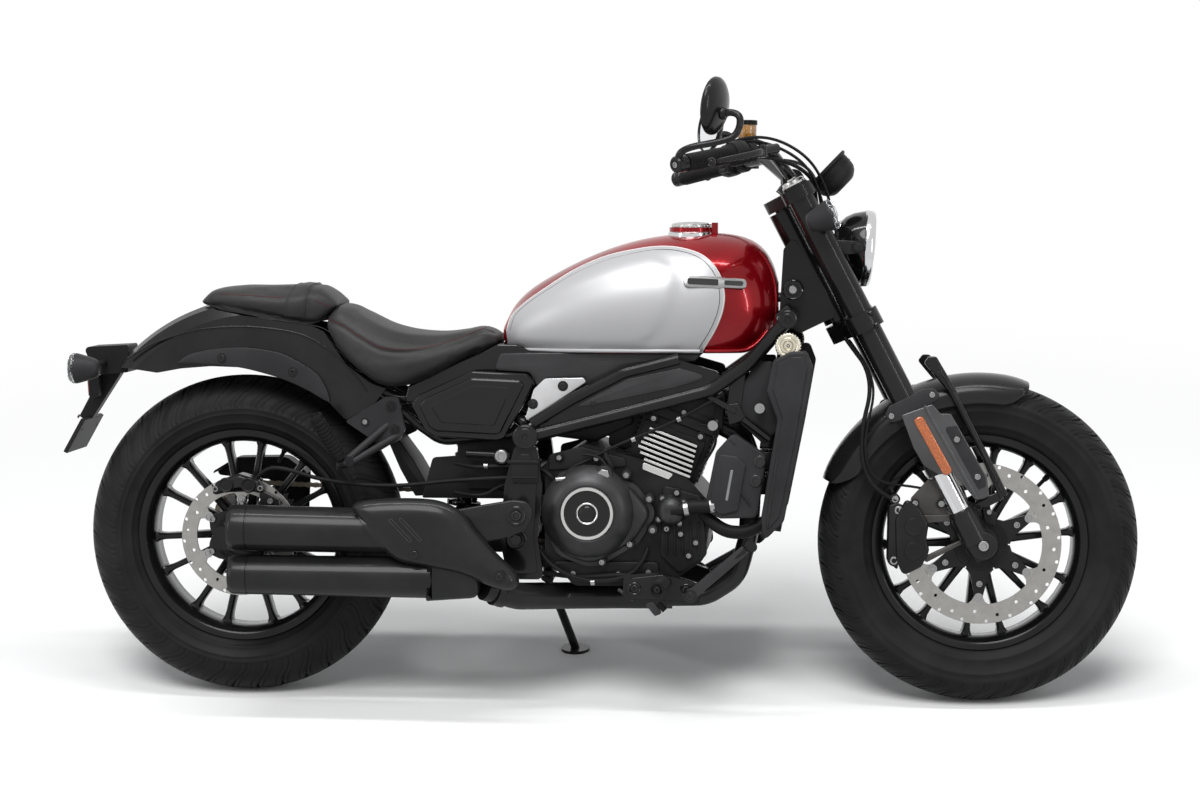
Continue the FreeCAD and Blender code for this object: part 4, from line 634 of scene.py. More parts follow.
def smoothCurve(points, count, closed=False):
    # evenly counted spots on a smooth curve through the given ones
    points = [Vector(point) for point in points]
    last = len(points) - 1
    spans = len(points) if closed else last

    def at(i):
        return points[i % len(points)] if closed else points[min(max(i, 0), last)]

    spots = []
    for step in range(count if closed else count + 1):
        reach = spans * step / count
        i = min(int(reach), spans - 1)
        t = reach - i
        p0, p1, p2, p3 = at(i - 1), at(i), at(i + 1), at(i + 2)
        spots.append(p1 + (p2 - p0) * (t / 2) + (p0 * 2 - p1 * 5 + p2 * 4 - p3) * (t * t / 2)
            + (p1 * 3 - p0 - p2 * 3 + p3) * (t ** 3 / 2))
    return spots


def quilt(bm, columns):
    # faces between neighbouring columns of spots
    grid = [[bm.verts.new(spot) for spot in column] for column in columns]
    for near, far in zip(grid, grid[1:]):
        for i in range(len(near) - 1):
            bm.faces.new((near[i], far[i], far[i + 1], near[i + 1]))


def spanAt(outline, x):
    # a closed outline's lowest and highest places at x
    heights = []
    for first, second in zip(outline, outline[1:] + outline[:1]):
        if (first.x - x) * (second.x - x) <= 0 and abs(first.x - second.x) > 1e-9:
            heights.append(first.y + (second.y - first.y) * (x - first.x) / (second.x - first.x))
    return min(heights), max(heights)


def edgeDistance(outline, spot):
    least = 1
    for first, second in zip(outline, outline[1:] + outline[:1]):
        run = second - first
        t = min(max((spot - first).dot(run) / max(run.length_squared, 1e-12), 0), 1)
        least = min(least, (first + run * t - spot).length)
    return least


def columnsOf(outline, columns, rows, lift):
    # spots all over a closed outline, closer together towards its two ends; lift gives each its place
    first, last = min(p.x for p in outline) + 0.0002, max(p.x for p in outline) - 0.0002
    made = []
    for column in range(columns + 1):
        x = first + (last - first) * (0.5 - 0.5 * math.cos(math.pi * column / columns))
        low, high = spanAt(outline, x)
        made.append([lift(Vector((x,
            low + (high - low) * (0.5 - 0.5 * math.cos(math.pi * row / rows))))) for row in range(rows + 1)])
    return made


# ---- tyres
tyreForm = {
    "front": {"radius": machine["frontTyreRadius"], "width": 0.13, "rimHalf": 0.05, "pitches": 42},
    "rear": {"radius": machine["rearTyreRadius"], "width": 0.15, "rimHalf": 0.057, "pitches": 38},
    "crown": 0.075, "flange": 0.216, "bead": 0.205, "grooveDepth": 0.0048, "sipeDepth": 0.0028,
    "sweep": 1.15,
}
# columns of one tread pitch: where it stands in the pitch, and which groove it is the floor of
treadColumns = ((0, None), (0.02, "left"), (0.1, "left"), (0.12, None), (0.25, None), (0.265, "sipe"), (0.295, "sipe"),
    (0.31, None), (0.5, None), (0.52, "right"), (0.6, "right"), (0.62, None), (0.75, None), (0.765, "sipe"),
    (0.795, "sipe"), (0.81, None))
# rows across half of the tread: share of the half width, and how deep a groove is there
treadRows = milli((0, 0), (70, 0), (85, 1000), (250, 1000), (420, 1000), (580, 1000), (740, 1000), (880, 1000),
    (950, 800), (1000, 500))


def makeTyre(which, centre, body):
    form = tyreForm[which]
    crown = tyreForm["crown"]
    ring = form["radius"] - crown
    edge = form["width"] / 2 - 0.0015
    edgeAngle = math.asin(edge / crown)
    wallTop = ring + crown * math.cos(edgeAngle)
    wallFoot = tyreForm["flange"] + 0.003
    # the side wall: share of the way down, how far it stands out, with the raised rings of a wall
    wallRows = milli((60, 0), (120, 0.8), (160, 0), (300, 0), (330, 0.9), (360, 0), (550, 0), (720, 0), (750, 1.2),
        (800, 1.2), (830, 0), (930, 0), (1000, 0))
    profile = []
    for share, depth in treadRows:
        turn = edgeAngle * share
        profile.append((crown * math.sin(turn), ring + crown * math.cos(turn), share, depth))
    for share, proud in wallRows:
        bulge = math.sin(math.pi * min(share * 0.9 + 0.1, 1)) * 0.0035
        side = edge + (form["rimHalf"] - edge) * share ** 1.6 + bulge + proud
        profile.append((side, wallTop + (wallFoot - wallTop) * share, 1, 0))
    profile.append((form["rimHalf"] - 0.006, tyreForm["flange"] - 0.002, 1, 0))
    rows = [(-side, radius, -share, depth) for side, radius, share, depth in reversed(profile[1:])] + profile
    columns = form["pitches"] * len(treadColumns)
    bm = bmesh.new()
    bmesh.ops.create_grid(bm, x_segments=columns, y_segments=len(rows) - 1, size=0.5)
    bm.verts.ensure_lookup_table()
    pitch = 2 * math.pi / form["pitches"]
    for vert in bm.verts:
        column = round((vert.co.x + 0.5) * columns)
        row = round((vert.co.y + 0.5) * (len(rows) - 1))
        side, radius, share, depth = rows[row]
        where, floor = treadColumns[column % len(treadColumns)]
        zigzag = 0.1 * math.sin(abs(share) * 9)
        angle = (column // len(treadColumns) + where + abs(share) * tyreForm["sweep"] + zigzag) * pitch
        cut = 0
        if (floor == "right" and share < 0) or (floor == "left" and share > 0):
            cut = tyreForm["grooveDepth"] * depth
        elif floor == "sipe" and abs(share) > 0.4:
            cut = tyreForm["sipeDepth"] * depth
        vert.co = centre + Vector((math.cos(angle) * (radius - cut), side, math.sin(angle) * (radius - cut)))
    addPiece(which + "_tyre_tread", bm, "tyre", body, [which + "_tyre"], 50)


makeTyre("front", machine["frontAxle"], "front_wheel")
makeTyre("rear", machine["rearAxle"], "rear_wheel")
print("stage: tyres")


# ---- brake discs
discForm = {
    "thickness": 0.005, "holeRows": 4, "holeRadius": 0.0037, "firstArm": 28, "drilledRows": (3, 1, 3, 2),
    "front": {"side": -0.068, "outer": 0.16, "inner": 0.122, "holes": 40, "hub": 0.06},
    "rear": {"side": -0.08, "outer": 0.12, "inner": 0.089, "holes": 32, "hub": 0.07},
}


def makeDisc(which, centre, body):
    form = discForm[which]
    half = discForm["thickness"] / 2
    rows = discForm["holeRows"]
    depth = (form["outer"] - form["inner"]) / rows
    step = 2 * math.pi / form["holes"]

    def spot(radius, angle, side):
        return centre + Vector((math.cos(angle) * radius, form["side"] + side, math.sin(angle) * radius))

    bm = bmesh.new()
    for cell in range(form["holes"]):
        for row in range(rows):
            low = form["inner"] + row * depth
            middle = Vector(((cell + 0.5) * step, low + depth / 2))
            border = []
            for u, v in ((-1, -1), (0, -1), (1, -1), (1, 0), (1, 1), (0, 1), (-1, 1), (-1, 0)):
                border.append((middle.y + v * depth / 2, middle.x + u * step / 2))
            drilled = row == discForm["drilledRows"][cell % 4]
            for side in (-half, half):
                outerLoop = [bm.verts.new(spot(radius, angle, side)) for radius, angle in border]
                if not drilled:
                    bm.faces.new(outerLoop)
                    continue
                innerLoop = []
                for turn in range(8):
                    around = math.radians(225 + 45 * turn)
                    radius = middle.y + math.sin(around) * discForm["holeRadius"]
                    angle = middle.x + math.cos(around) * discForm["holeRadius"] / middle.y
                    innerLoop.append(bm.verts.new(spot(radius, angle, side)))
                for i in range(8):
                    bm.faces.new((outerLoop[i], outerLoop[(i + 1) % 8], innerLoop[(i + 1) % 8], innerLoop[i]))
                if side < 0:
                    nearLoop = innerLoop
                else:
                    for i in range(8):
                        bm.faces.new((nearLoop[i], nearLoop[(i + 1) % 8], innerLoop[(i + 1) % 8], innerLoop[i]))
        for radius in (form["inner"], form["outer"]):
            for u in (0, 0.5):
                first, second = (cell + u) * step, (cell + u + 0.5) * step
                bm.faces.new([bm.verts.new(spot(radius, angle, side)) for angle, side in ((first, -half),
                    (second, -half), (second, half), (first, half))])
    # six rounded ears reach in to the carrier's buttons
    ear = [(form["inner"] + 0.001, -0.17), (form["inner"] - 0.006, -0.115), (form["inner"] - 0.014, -0.085),
        (form["inner"] - 0.021, -0.055), (form["inner"] - 0.0235, 0), (form["inner"] - 0.021, 0.055),
        (form["inner"] - 0.014, 0.085), (form["inner"] - 0.006, 0.115), (form["inner"] + 0.001, 0.17)]
    arms = [math.radians(60 * arm + discForm["firstArm"]) for arm in range(6)]
    for angle in arms:
        for side in (-half, half):
            bm.faces.new([bm.verts.new(spot(radius, angle + turn, side)) for radius, turn in ear])
        for first, second in zip(ear, ear[1:]):
            bm.faces.new([bm.verts.new(spot(radius, angle + turn, side)) for (radius, turn), side in ((first, -half),
                (second, -half), (second, half), (first, half))])
    addPiece(which + "_disc_ring", bm, "disc", body, [which + "_brake_disc"], 30)

    # the carrier: six broad arms from the hub, a rivet button at each ear, and the hub's bolts
    bm = bmesh.new()
    button = form["inner"] - 0.014
    for angle in arms:
        corners = ((0.03, -0.5), (0.058, -0.5), (0.064, -0.3), (button - 0.004, -0.085), (button + 0.004, 0),
            (button - 0.004, 0.085), (0.064, 0.3), (0.058, 0.5), (0.03, 0.5))
        flat = bm.faces.new([bm.verts.new(spot(radius, angle + turn, -half - 0.0004)) for radius, turn in corners])
        grown = bmesh.ops.extrude_face_region(bm, geom=[flat])["geom"]
        bmesh.ops.translate(bm, vec=(0, 2 * half + 0.0006, 0), verts=[part for part in grown if isinstance(part,
            bmesh.types.BMVert)])
    hubFace = centre + Vector((0, form["side"], 0))
    lathe(bm, [(half, 0.018), (-half - 0.001, 0.018), (-half - 0.001, 0.034), (-half + 0.001, 0.036), (half, 0.052)],
        hubFace, (0, 1, 0), 48)
    lathe(bm, [(half, 0.052), (-form["hub"] - form["side"], 0.05), (-form["hub"] - form["side"], 0.018)],
        hubFace, (0, 1, 0), 48)
    addPiece(which + "_disc_carrier", bm, "blackAlloy", body)

    bm = bmesh.new()
    for angle in arms:
        lathe(bm, milli((0, 9.4), (2, 9), (2.4, 6.2), (1.2, 5.6), (1.2, 3.6), (2.2, 3.2), (2.2, 0)),
            spot(button, angle, -half), (0, -1, 0), 24)
        bolt(bm, spot(0.066 if which == "rear" else 0.08, angle, -half - 0.001), (0, -1, 0), 0.0068, 0.006)
    addPiece(which + "_disc_fixings", bm, "boltSteel", body)


makeDisc("front", machine["frontAxle"], "front_wheel")
makeDisc("rear", machine["rearAxle"], "rear_wheel")
print("stage: discs")


# ---- fork
forkForm = {
    "tubeTop": 0.802, "tubeFoot": 0.285, "lugTop": 0.082, "outer": 0.026, "inner": 0.0205, "legAhead": 0.038,
    "legSide": 0.104, "guardNear": 0.1303, "guardProud": 0.005, "stayNear": 0.0745, "stayFar": 0.086,
}
forkLine = (onFork(1, 0, 0) - onFork(0, 0, 0)).normalized()
aheadLine = (onFork(0, 1, 0) - onFork(0, 0, 0)).normalized()


def slab(bm, rows, spot, near, far, rim=0.0015, segments=2):
    # a plate drawn in any plane: spot takes two places on the plane and a height over it
    flat = bm.faces.new([bm.verts.new(spot(point.x, point.y, near)) for point in roundedOutline(rows)])
    grown = bmesh.ops.extrude_face_region(bm, geom=[flat])["geom"]
    moved = [part for part in grown if isinstance(part, bmesh.types.BMVert)]
    bmesh.ops.translate(bm, vec=spot(0, 0, far) - spot(0, 0, near), verts=moved)
    if rim > 0:
        top = [part for part in grown if isinstance(part, bmesh.types.BMFace)]
        edges = list({edge for face in top for edge in face.edges})
        bmesh.ops.bevel(bm, geom=edges, offset=rim, segments=segments, affect="EDGES", profile=0.5, material=-1)


def makeFork():
    form = forkForm
    tubes, caps, guards, inserts, lugs, chromes, reflectors, bolts = blanks(8)
    for side in (-1, 1):
        leg = side * form["legSide"]
        foot = onFork(form["tubeFoot"], form["legAhead"], leg)
        reach = form["tubeTop"] - form["tubeFoot"]
        radius = form["outer"]
        lathe(tubes, [(0, radius - 0.005), (0, radius - 0.001), (0.001, radius), (reach - 0.001, radius),
            (reach, radius - 0.001), (reach, 0)], foot, forkLine, 56)
        lathe(caps, [(-0.001, radius - 0.001), (0.003, radius - 0.0012), (0.004, radius - 0.003),
            (0.009, radius - 0.004), (0.01, radius - 0.006), (0.01, 0.011), (0.007, 0.01), (0.007, 0)],
            onFork(form["tubeTop"], form["legAhead"], leg), forkLine, 48)
        lathe(caps, milli((0, 9.5), (6, 9.5), (7, 8.5), (7, 0)), onFork(form["tubeTop"] + 0.007,
            form["legAhead"], leg), forkLine, 6)
        lathe(chromes, [(0, form["inner"]), (form["tubeFoot"] - form["lugTop"] + 0.004, form["inner"])],
            onFork(form["lugTop"] - 0.004, form["legAhead"], leg), forkLine, 48)
        # the lower leg: a stepped socket, the foot round the axle and its pinch bolt
        lathe(lugs, milli((0, 0), (0, 27), (55, 27), (60, 25.5), (68, 25.5), (72, 23.5), (72, 20.6)),
            onFork(0.01, form["legAhead"], leg), forkLine, 48)
        near = Vector((0.7425, leg - 0.022, 0.3202))
        lathe(lugs, milli((0, 12), (0, 25), (2, 27), (42, 27), (44, 25), (44, 12)), near, (0, 1, 0), 48)
        slab(lugs, milli((-18, 60, 4), (-26, 44, 6), (-26, 20, 6), (12, 16, 6), (34, 30, 6), (34, 50, 8)),
            lambda u, v, w: onFork(u, v, w), leg - 0.016, leg + 0.016, 0.002)
        bolt(bolts, onFork(-0.014, 0.052, leg - 0.005), aheadLine, 0.0048, 0.006)
        lathe(bolts, milli((0, 9.8), (3, 9.8), (3.6, 9), (3.6, 5.8), (1, 5.2), (1, 0)),
            Vector((0.7425, side * 0.1295, 0.3202)), (0, side, 0), 24)

        # the shield outside the inner tube, its darker forward plate, the collar and the reflector, whose amber has a
        # faint painted glow
        surface = side * form["guardNear"]
        proud = side * (form["guardNear"] + form["guardProud"])

        slab(guards, milli((84, 88, 6), (84, 100, 4), (118, 112, 6), (262, 106, 4), (272, 88, 6), (296, 82, 5),
            (304, 18, 4), (236, 10, 12), (196, 12, 18), (166, 30, 12), (160, 52, 12), (148, 60, 12), (88, 72, 8)),
            onFork, surface, proud, 0.0022, 3)
        slab(guards, milli((90, 78, 3), (300, 70, 3), (300, 63.5, 3), (90, 71.5, 3)), onFork, proud,
            proud + side * 0.0022, 0.0015)
        slab(inserts, milli((104, 86, 4), (104, 104, 6), (122, 110, 6), (236, 105, 4), (244, 86, 5), (236, 82, 4)),
            onFork, proud, proud + side * 0.0014, 0.001)
        slab(inserts, milli((302, 104, 10), (322, 100, 10), (330, 78, 8), (330, 6, 10), (318, -10, 10), (300, -8, 10),
            (296, 10, 6), (298, 88, 6)), onFork, surface - side * 0.004, proud - side * 0.001, 0.0018, 2)
        lathe(inserts, milli((-10, 26.2), (-10, 29.7), (34, 29.7), (34, 26.2)),
            onFork(0.292, form["legAhead"], leg), forkLine, 48)
        lathe(inserts, milli((0, 20.8), (0, 26.2), (28, 26.2), (28, 20.8)),
            onFork(0.166, form["legAhead"], leg), forkLine, 40)
        for u, v in ((0.312, 0.09), (0.311, 0)):
            bolt(bolts, onFork(u, v, proud - side * 0.001), (0, side, 0), 0.0055, 0.003)
        for u, v in ((0.212, 0.093), (0.128, 0.096)):
            lathe(inserts, milli((0, 9.8), (1, 9.2), (1, 6)), onFork(u, v, proud + side * 0.0014), (0, side, 0), 20)
            bolt(bolts, onFork(u, v, proud + side * 0.0014), (0, side, 0), 0.0058, 0.0036)
        slab(reflectors, milli((158, 38, 10), (158, 58, 10), (286, 54, 10), (286, 34, 10)), onFork,
            proud - side * 0.0005, proud + side * 0.0044, 0.003, 3)
    addPiece("fork_tubes", tubes, "blackSatin", "steering", ["fork_outer_tubes"])
    addPiece("fork_caps", caps, "polished", "steering")
    addPiece("fork_shields", guards, "gunmetal", "steering", ["fork_guards"])
    addPiece("fork_shield_plates", inserts, "charcoal", "steering")
    addPiece("fork_feet", lugs, "blackSatin", "steering", ["fork_lower_legs"])
    addPiece("fork_sliders", chromes, "chrome", "steering")
    addPiece("fork_reflectors", reflectors, "amber", "steering")
    addPiece("fork_bolts", bolts, "boltSteel", "steering")


makeFork()
print("stage: fork")


# ---- front fender
fenderForm = {"crown": 0.338, "half": 0.074, "wall": 0.0024, "first": 73, "last": 158, "steps": 44}


def makeFrontFender():
    form = fenderForm
    # across the fender: share of the half width, drop below the crown, from the middle to the lip
    rows = milli((0, 0), (200, 0.9), (400, 3.6), (600, 8.5), (760, 15), (880, 22.5), (955, 31), (985, 40), (985, 49),
        (990, 54.5), (1000, 57.5), (992, 59.2), (972, 58.5))
    full = [(-side, drop) for side, drop in reversed(rows[1:])] + list(rows)
    bm = bmesh.new()
    grid = []
    for step in range(form["steps"] + 1):
        share = step / form["steps"]
        angle = math.radians(form["first"] + (form["last"] - form["first"]) * share)
        fromEnd = min(share, 1 - share) * form["steps"]
        # both ends draw up in a rounded point
        lift = max(0, 1 - fromEnd / 5) ** 2.2
        line = []
        for side, drop in full:
            radius = form["crown"] - drop * (1 - 0.62 * lift) - 0.003 * lift
            line.append(bm.verts.new(machine["frontAxle"] + Vector((math.cos(angle) * radius,
                side * form["half"] * (1 - 0.1 * lift), math.sin(angle) * radius))))
        grid.append(line)
    for first, second in zip(grid, grid[1:]):
        for i in range(len(full) - 1):
            bm.faces.new((first[i], first[i + 1], second[i + 1], second[i]))
    fender = addPiece("front_fender_shell", bm, "blackSatin", "steering", ["front_fender"], 60)
    wall = fender.modifiers.new("wall", "SOLIDIFY")
    wall.thickness = form["wall"]
    wall.offset = -1

    stays, bolts = bmesh.new(), bmesh.new()
    for side in (-1, 1):
        near, far = side * forkForm["stayNear"], side * forkForm["stayFar"]
        slab(stays, milli((64, 118, 4), (64, 137, 4), (300, 139, 20), (372, 135, 8), (379, 122, 8), (372, 108, 6),
            (352, 112, 10), (300, 124, 10), (150, 124, 10)), onFork, near, far, 0.003, 3)
        slab(stays, milli((74, 130, 2), (300, 134, 2), (352, 130, 2), (352, 127, 2), (300, 128.5, 2), (74, 126.5, 2)),
            onFork, far - side * 0.001, far + side * 0.0018, 0.001)
        slab(stays, milli((60, 56, 4), (60, 126, 4), (78, 126, 4), (78, 56, 4)), onFork, near,
            far - side * 0.002, 0.002)
        for u, v in milli((70, 64), (100, 131), (340, 124)):
            bolt(bolts, onFork(u, v, far), (0, side, 0), 0.0052, 0.0035)
    addPiece("front_fender_stays", stays, "blackGloss", "steering")
    addPiece("front_fender_bolts", bolts, "boltBlack", "steering")


makeFrontFender()
print("stage: front fender")


# ---- bars and controls
barForm = {
    "middle": mm(368, 0, 1040), "gripRoot": mm(262, 285, 1086),
    "gripEnd": mm(152, 392, 1061), "leverRoot": mm(275, 268, 1087),
    "gripRadius": 0.017, "reservoir": mm(272, -222, 1112), "reservoirRadius": 0.019,
    "mirrorCentre": mm(212, 400, 1167), "mirrorTurn": mm(-900, -400, 130).normalized(),
    "mirrorRadius": 0.055,
}


def onSide(point, side):
    return Vector((point.x, side * point.y, point.z))


def gripLine(side):
    run = onSide(barForm["gripEnd"] - barForm["gripRoot"], side).normalized()
    ahead = run.cross(Vector((0, 0, 1))) * side
    return run, ahead.normalized()


def makeGrip(side, bm):
    # a ribbed rubber grip: rings along it
    run = gripLine(side)[0]
    outer = onSide(barForm["gripEnd"], side)
    start = outer - run * 0.122
    rows = milli((0, 11.2), (0, 20), (4, 20.5), (7, 18))
    for ring in range(15):
        along = 0.01 + ring * 0.007
        rows += [(along, 0.016), (along + 0.0012, 0.0171), (along + 0.005, 0.0171), (along + 0.0062, 0.016)]
    rows += milli((116, 16.5), (118, 17.2), (120, 16.5), (120, 11.2))
    lathe(bm, rows, start, run, 40)


def makeControls():
    form = barForm
    grips, cases, levers, buttons, bolts = blanks(5)
    for side in (-1, 1):
        run, ahead = gripLine(side)
        outer = onSide(form["gripEnd"], side)
        makeGrip(side, grips)
        start = outer - run * 0.15
        lathe(cases, milli((-8, 11.5), (-8, 20), (-5, 23), (4, 24), (8.5, 24), (9.2, 23.2), (10.8, 23.2), (11.5, 24),
            (22, 24), (26, 22.5), (28, 19), (28, 11.5)), start, run, 40)
        # the switch block's rearward face with its buttons
        above = run.cross(ahead).normalized()
        above = above if above.z > 0 else -above

        def onCase(u, v, w):
            return start + run * u + above * v - ahead * w

        slab(cases, oblong(-0.004, 0.024, -0.017, 0.017, 0.004), onCase, 0.012, 0.0272, 0.003, 2)
        for u, v in milli((10, 10), (10, -1), (10, -11)):
            slab(buttons, oblong(u - 0.006, u + 0.006, v - 0.0035, v + 0.0035, 0.002), onCase, 0.027, 0.0295, 0.0008)
        root = onSide(form["leverRoot"], side)
        lathe(cases, milli((-9, 11.5), (-9, 19), (-8, 20), (6, 20), (7, 19), (7, 11.5)), root, run, 36)
        rod(cases, root + ahead * 0.013, root + ahead * 0.04, 0.0125, 0.0105, 24)
        lathe(levers, milli((-11, 0), (-11, 8), (-10, 9), (10, 9), (11, 8), (11, 0)),
            root + ahead * 0.036, (0, 0, 1), 28)
        bolt(bolts, root + ahead * 0.036 + mm(0, 0, 11), (0, 0, 1), 0.0045, 0.003)
        for lift in (-0.006, 0.008):
            bolt(bolts, root - ahead * 0.0195 + above * lift, -ahead, 0.003, 0.003)
    addPiece("grip_rubbers", grips, "rubber", "steering", ["hand_controls"], 25)
    addPiece("control_cases", cases, "matteBlack", "steering")
    addPiece("lever_pivots", levers, "blackSatin", "steering")
    addPiece("control_buttons", buttons, "charcoal", "steering")
    addPiece("control_bolts", bolts, "boltBlack", "steering")

    for side, label in flanks:
        # the lever blade: a flattened tapering bar that ends in a ball
        run, ahead = gripLine(side)
        root = onSide(form["leverRoot"], side)
        route = [root + ahead * 0.036, root + ahead * 0.047 + run * 0.012, root + ahead * 0.053 + run * 0.04,
            root + ahead * 0.051 + run * 0.09, root + ahead * 0.05 + run * 0.146]
        bm = bmesh.new()
        loops = []
        widths = (0.0085, 0.0085, 0.0072, 0.0058, 0.0046)
        for i, (spot, wide) in enumerate(zip(route, widths)):
            along = (route[min(i + 1, 4)] - route[max(i - 1, 0)]).normalized()
            out = along.cross(Vector((0, 0, 1))).normalized()
            loop = []
            for corner in range(12):
                turn = 2 * math.pi * corner / 12
                loop.append(bm.verts.new(spot + out * math.cos(turn) * 0.0048 + Vector((0, 0,
                    1)) * math.sin(turn) * wide))
            loops.append(loop)
        for first, second in zip(loops, loops[1:]):
            for i in range(12):
                bm.faces.new((first[i], first[(i + 1) % 12], second[(i + 1) % 12], second[i]))
        bm.faces.new(loops[0])
        bm.faces.new(loops[-1])
        knob = [(-0.009, 0), (-0.0085, 0.0036)]
        for step in range(1, 10):
            turn = math.pi * (step / 10 + 0.1)
            knob.append((-math.cos(turn) * 0.0085, math.sin(turn) * 0.0085))
        knob.append((0.0085, 0))
        lathe(bm, knob, root + ahead * 0.05 + run * 0.152, run, 20)
        blade = addPiece("lever_blade_" + label, bm, "blackSatin", "steering")
        smooth = blade.modifiers.new("smooth", "SUBSURF")
        smooth.levels = smooth.render_levels = 1

    # the brake's master cylinder and its fluid reservoir on the right
    run, ahead = gripLine(-1)
    root = onSide(form["leverRoot"], -1)
    base = form["reservoir"]
    cylinders, fluid, cap = bmesh.new(), bmesh.new(), bmesh.new()
    rod(cylinders, root + ahead * 0.026, root + ahead * 0.026 - run * 0.052, 0.01, 0.0095, 24, 0.0015)
    rod(cylinders, root + ahead * 0.026 - run * 0.046, base + mm(0, 0, 4), 0.0055, 0.0055, 16)
    lathe(fluid, milli((0, 0), (0, 10), (1, 16.5), (4, 18.5), (28.5, 19), (29.5, 18.5),
        (29.5, 0)), base, (0, 0, 1), 40)
    rows = [(0.029, 0.0195), (0.0295, 0.0204)]
    for ring in range(4):
        rows += [(0.0305 + ring * 0.0018, 0.0205), (0.0311 + ring * 0.0018, 0.0199)]
    lathe(cap, rows + milli((37.2, 20.3), (38, 19), (38, 0)), base, (0, 0, 1), 40)
    slab(cap, oblong(-0.008, 0.008, -0.004, 0.004, 0.002), lambda u, v, w: base + Vector((u, v, w)),
        0.0375, 0.0385, 0.0004)
    addPiece("master_cylinder", cylinders, "blackSatin", "steering")
    addPiece("reservoir_pot", fluid, "amberFluid", "steering")
    addPiece("reservoir_cap", cap, "matteBlack", "steering")


makeControls()


def makeMirrors():
    form = barForm
    shells, glasses, weights, bolts = blanks(4)
    radius = form["mirrorRadius"]
    for side, label in flanks:
        centre, facing = onSide(form["mirrorCentre"], side), onSide(form["mirrorTurn"], side)
        run = gripLine(side)[0]
        outer = onSide(form["gripEnd"], side)
        lathe(shells, [(-0.0145, 0), (-0.0143, 0.01), (-0.0132, 0.018), (-0.0108, 0.03), (-0.007, 0.042),
            (-0.0015, radius - 0.004), (0.003, radius - 0.0005), (0.008, radius), (0.0098, radius - 0.001),
            (0.01, radius - 0.003), (0.0078, radius - 0.0042)], centre, facing, 72)
        lathe(shells, milli((-20, 0), (-20, 9), (-18, 11), (-12, 12.5)), centre - mm(0, 0, 12), facing, 28)
        lathe(glasses, [(0.0072, radius - 0.004), (0.0085, radius * 0.6), (0.0092, radius * 0.3),
            (0.0095, 0)], centre, facing, 72)
        lathe(weights, milli((0, 11.2), (0, 15.2), (1, 16), (12.5, 16), (13.5, 15.2), (14.5, 16), (23, 15.8), (26, 13),
            (26, 8), (24, 7), (24, 0)), outer, run, 40)
        lathe(bolts, milli((24, 6), (26.2, 5.8), (26.2, 3.5), (24.5, 3), (24.5, 0)), outer, run, 18)
        elbow, knee, bend, neck = [onSide(Vector(spot), side) for spot in milli((150, 424, 1088), (222, 424, 1100),
            (250, 423, 1112), (258, 418, 1146))]
        head = centre - facing * 0.017 + mm(0, 0, -12)
        addHose("mirror_arm_" + label, [outer + run * 0.014, outer + run * 0.022 + mm(0, 0, 10), elbow, knee, bend,
            neck, head + Vector((0.012, side * 0.004, 0.004)), head], 0.0068, "blackSatin", "steering")
    addPiece("mirror_shells", shells, "blackSatin", "steering", ["bar_end_mirrors"], 40)
    addPiece("mirror_glasses", glasses, "mirror", "steering")
    addPiece("bar_weights", weights, "blackSatin", "steering")
    addPiece("bar_end_bolts", bolts, "boltSteel", "steering")


makeMirrors()
print("stage: bars")


# ---- lamps and gauge
lampForm = {
    "headCentre": mm(504, 0, 907), "headFacing": mm(1000, 0, -90).normalized(),
    "headRadius": 0.076, "gaugeCentre": mm(446, 0, 1056), "gaugeFacing": mm(-720, 0, 690).normalized(),
    "frontSignal": mm(416, 160, 961), "frontFacing": mm(930, 0, 360).normalized(),
    "rearSignal": mm(-1047, 112, 664),
}


def makeHeadlight():
    centre, facing = lampForm["headCentre"], lampForm["headFacing"]
    shell, ring, glass, mirrors, bulb, ears = blanks(6)
    lathe(shell, milli((-56, 0), (-55.5, 16), (-52, 32), (-45, 47.5), (-33, 60), (-18, 68.5), (-2, 73), (4, 74.2),
        (9.5, 74.2)), centre, facing, 80)
    lathe(ring, milli((4.5, 74.8), (5.2, 76.2), (10, 76.8), (18.5, 76.2), (23.5, 73.5), (25, 70.8), (24.2, 69),
        (21.5, 69), (15, 70)), centre, facing, 96)
    lathe(glass, milli((19, 70), (22.5, 60), (26.2, 45), (29, 25), (30.2, 10), (30.5, 0)), centre, facing, 80)
    lathe(mirrors, milli((18.5, 69.8), (12, 66), (-2, 59), (-18, 47), (-29, 34), (-36, 20), (-38, 12),
        (-38, 0)), centre, facing, 80)
    lathe(bulb, milli((-38, 0), (-38, 12), (-10, 12), (-6, 17), (0, 18.5), (4, 17), (6, 0)), centre, facing, 40)
    glassPiece = addPiece("headlight_glass", glass, "glass", "steering", ["headlight_lens"], 60)
    wall = glassPiece.modifiers.new("wall", "SOLIDIFY")
    wall.thickness = 0.0022
    wall.offset = -1
    for side in (-1, 1):
        near = side * 0.07
        rod(ears, centre + Vector((-0.01, near, 0)), centre + Vector((-0.012, side * 0.088, -0.002)),
            0.011, 0.01, 24, 0.0012)
        slab(ears, milli((-86, -16, 8), (-14, -13, 10), (2, 0, 10), (-14, 13, 10), (-86, 16, 8)),
            lambda u, v, w: centre + Vector((u, w, v)), side * 0.079, side * 0.085, 0.0015)
        bolt(ears, centre + Vector((-0.011, side * 0.085, 0)), (0, side, 0), 0.009, 0.006, True)
    addPiece("headlight_bowl", shell, "blackGloss", "steering", ["headlight_shell"], 60)
    addPiece("headlight_ears", ears, "blackSatin", "steering")
    addPiece("headlight_bezel", ring, "chrome", "steering", sharp=60)
    addPiece("headlight_mirror", mirrors, "lamp", "steering", sharp=60)
    addPiece("headlight_bulb", bulb, "blackGloss", "steering")


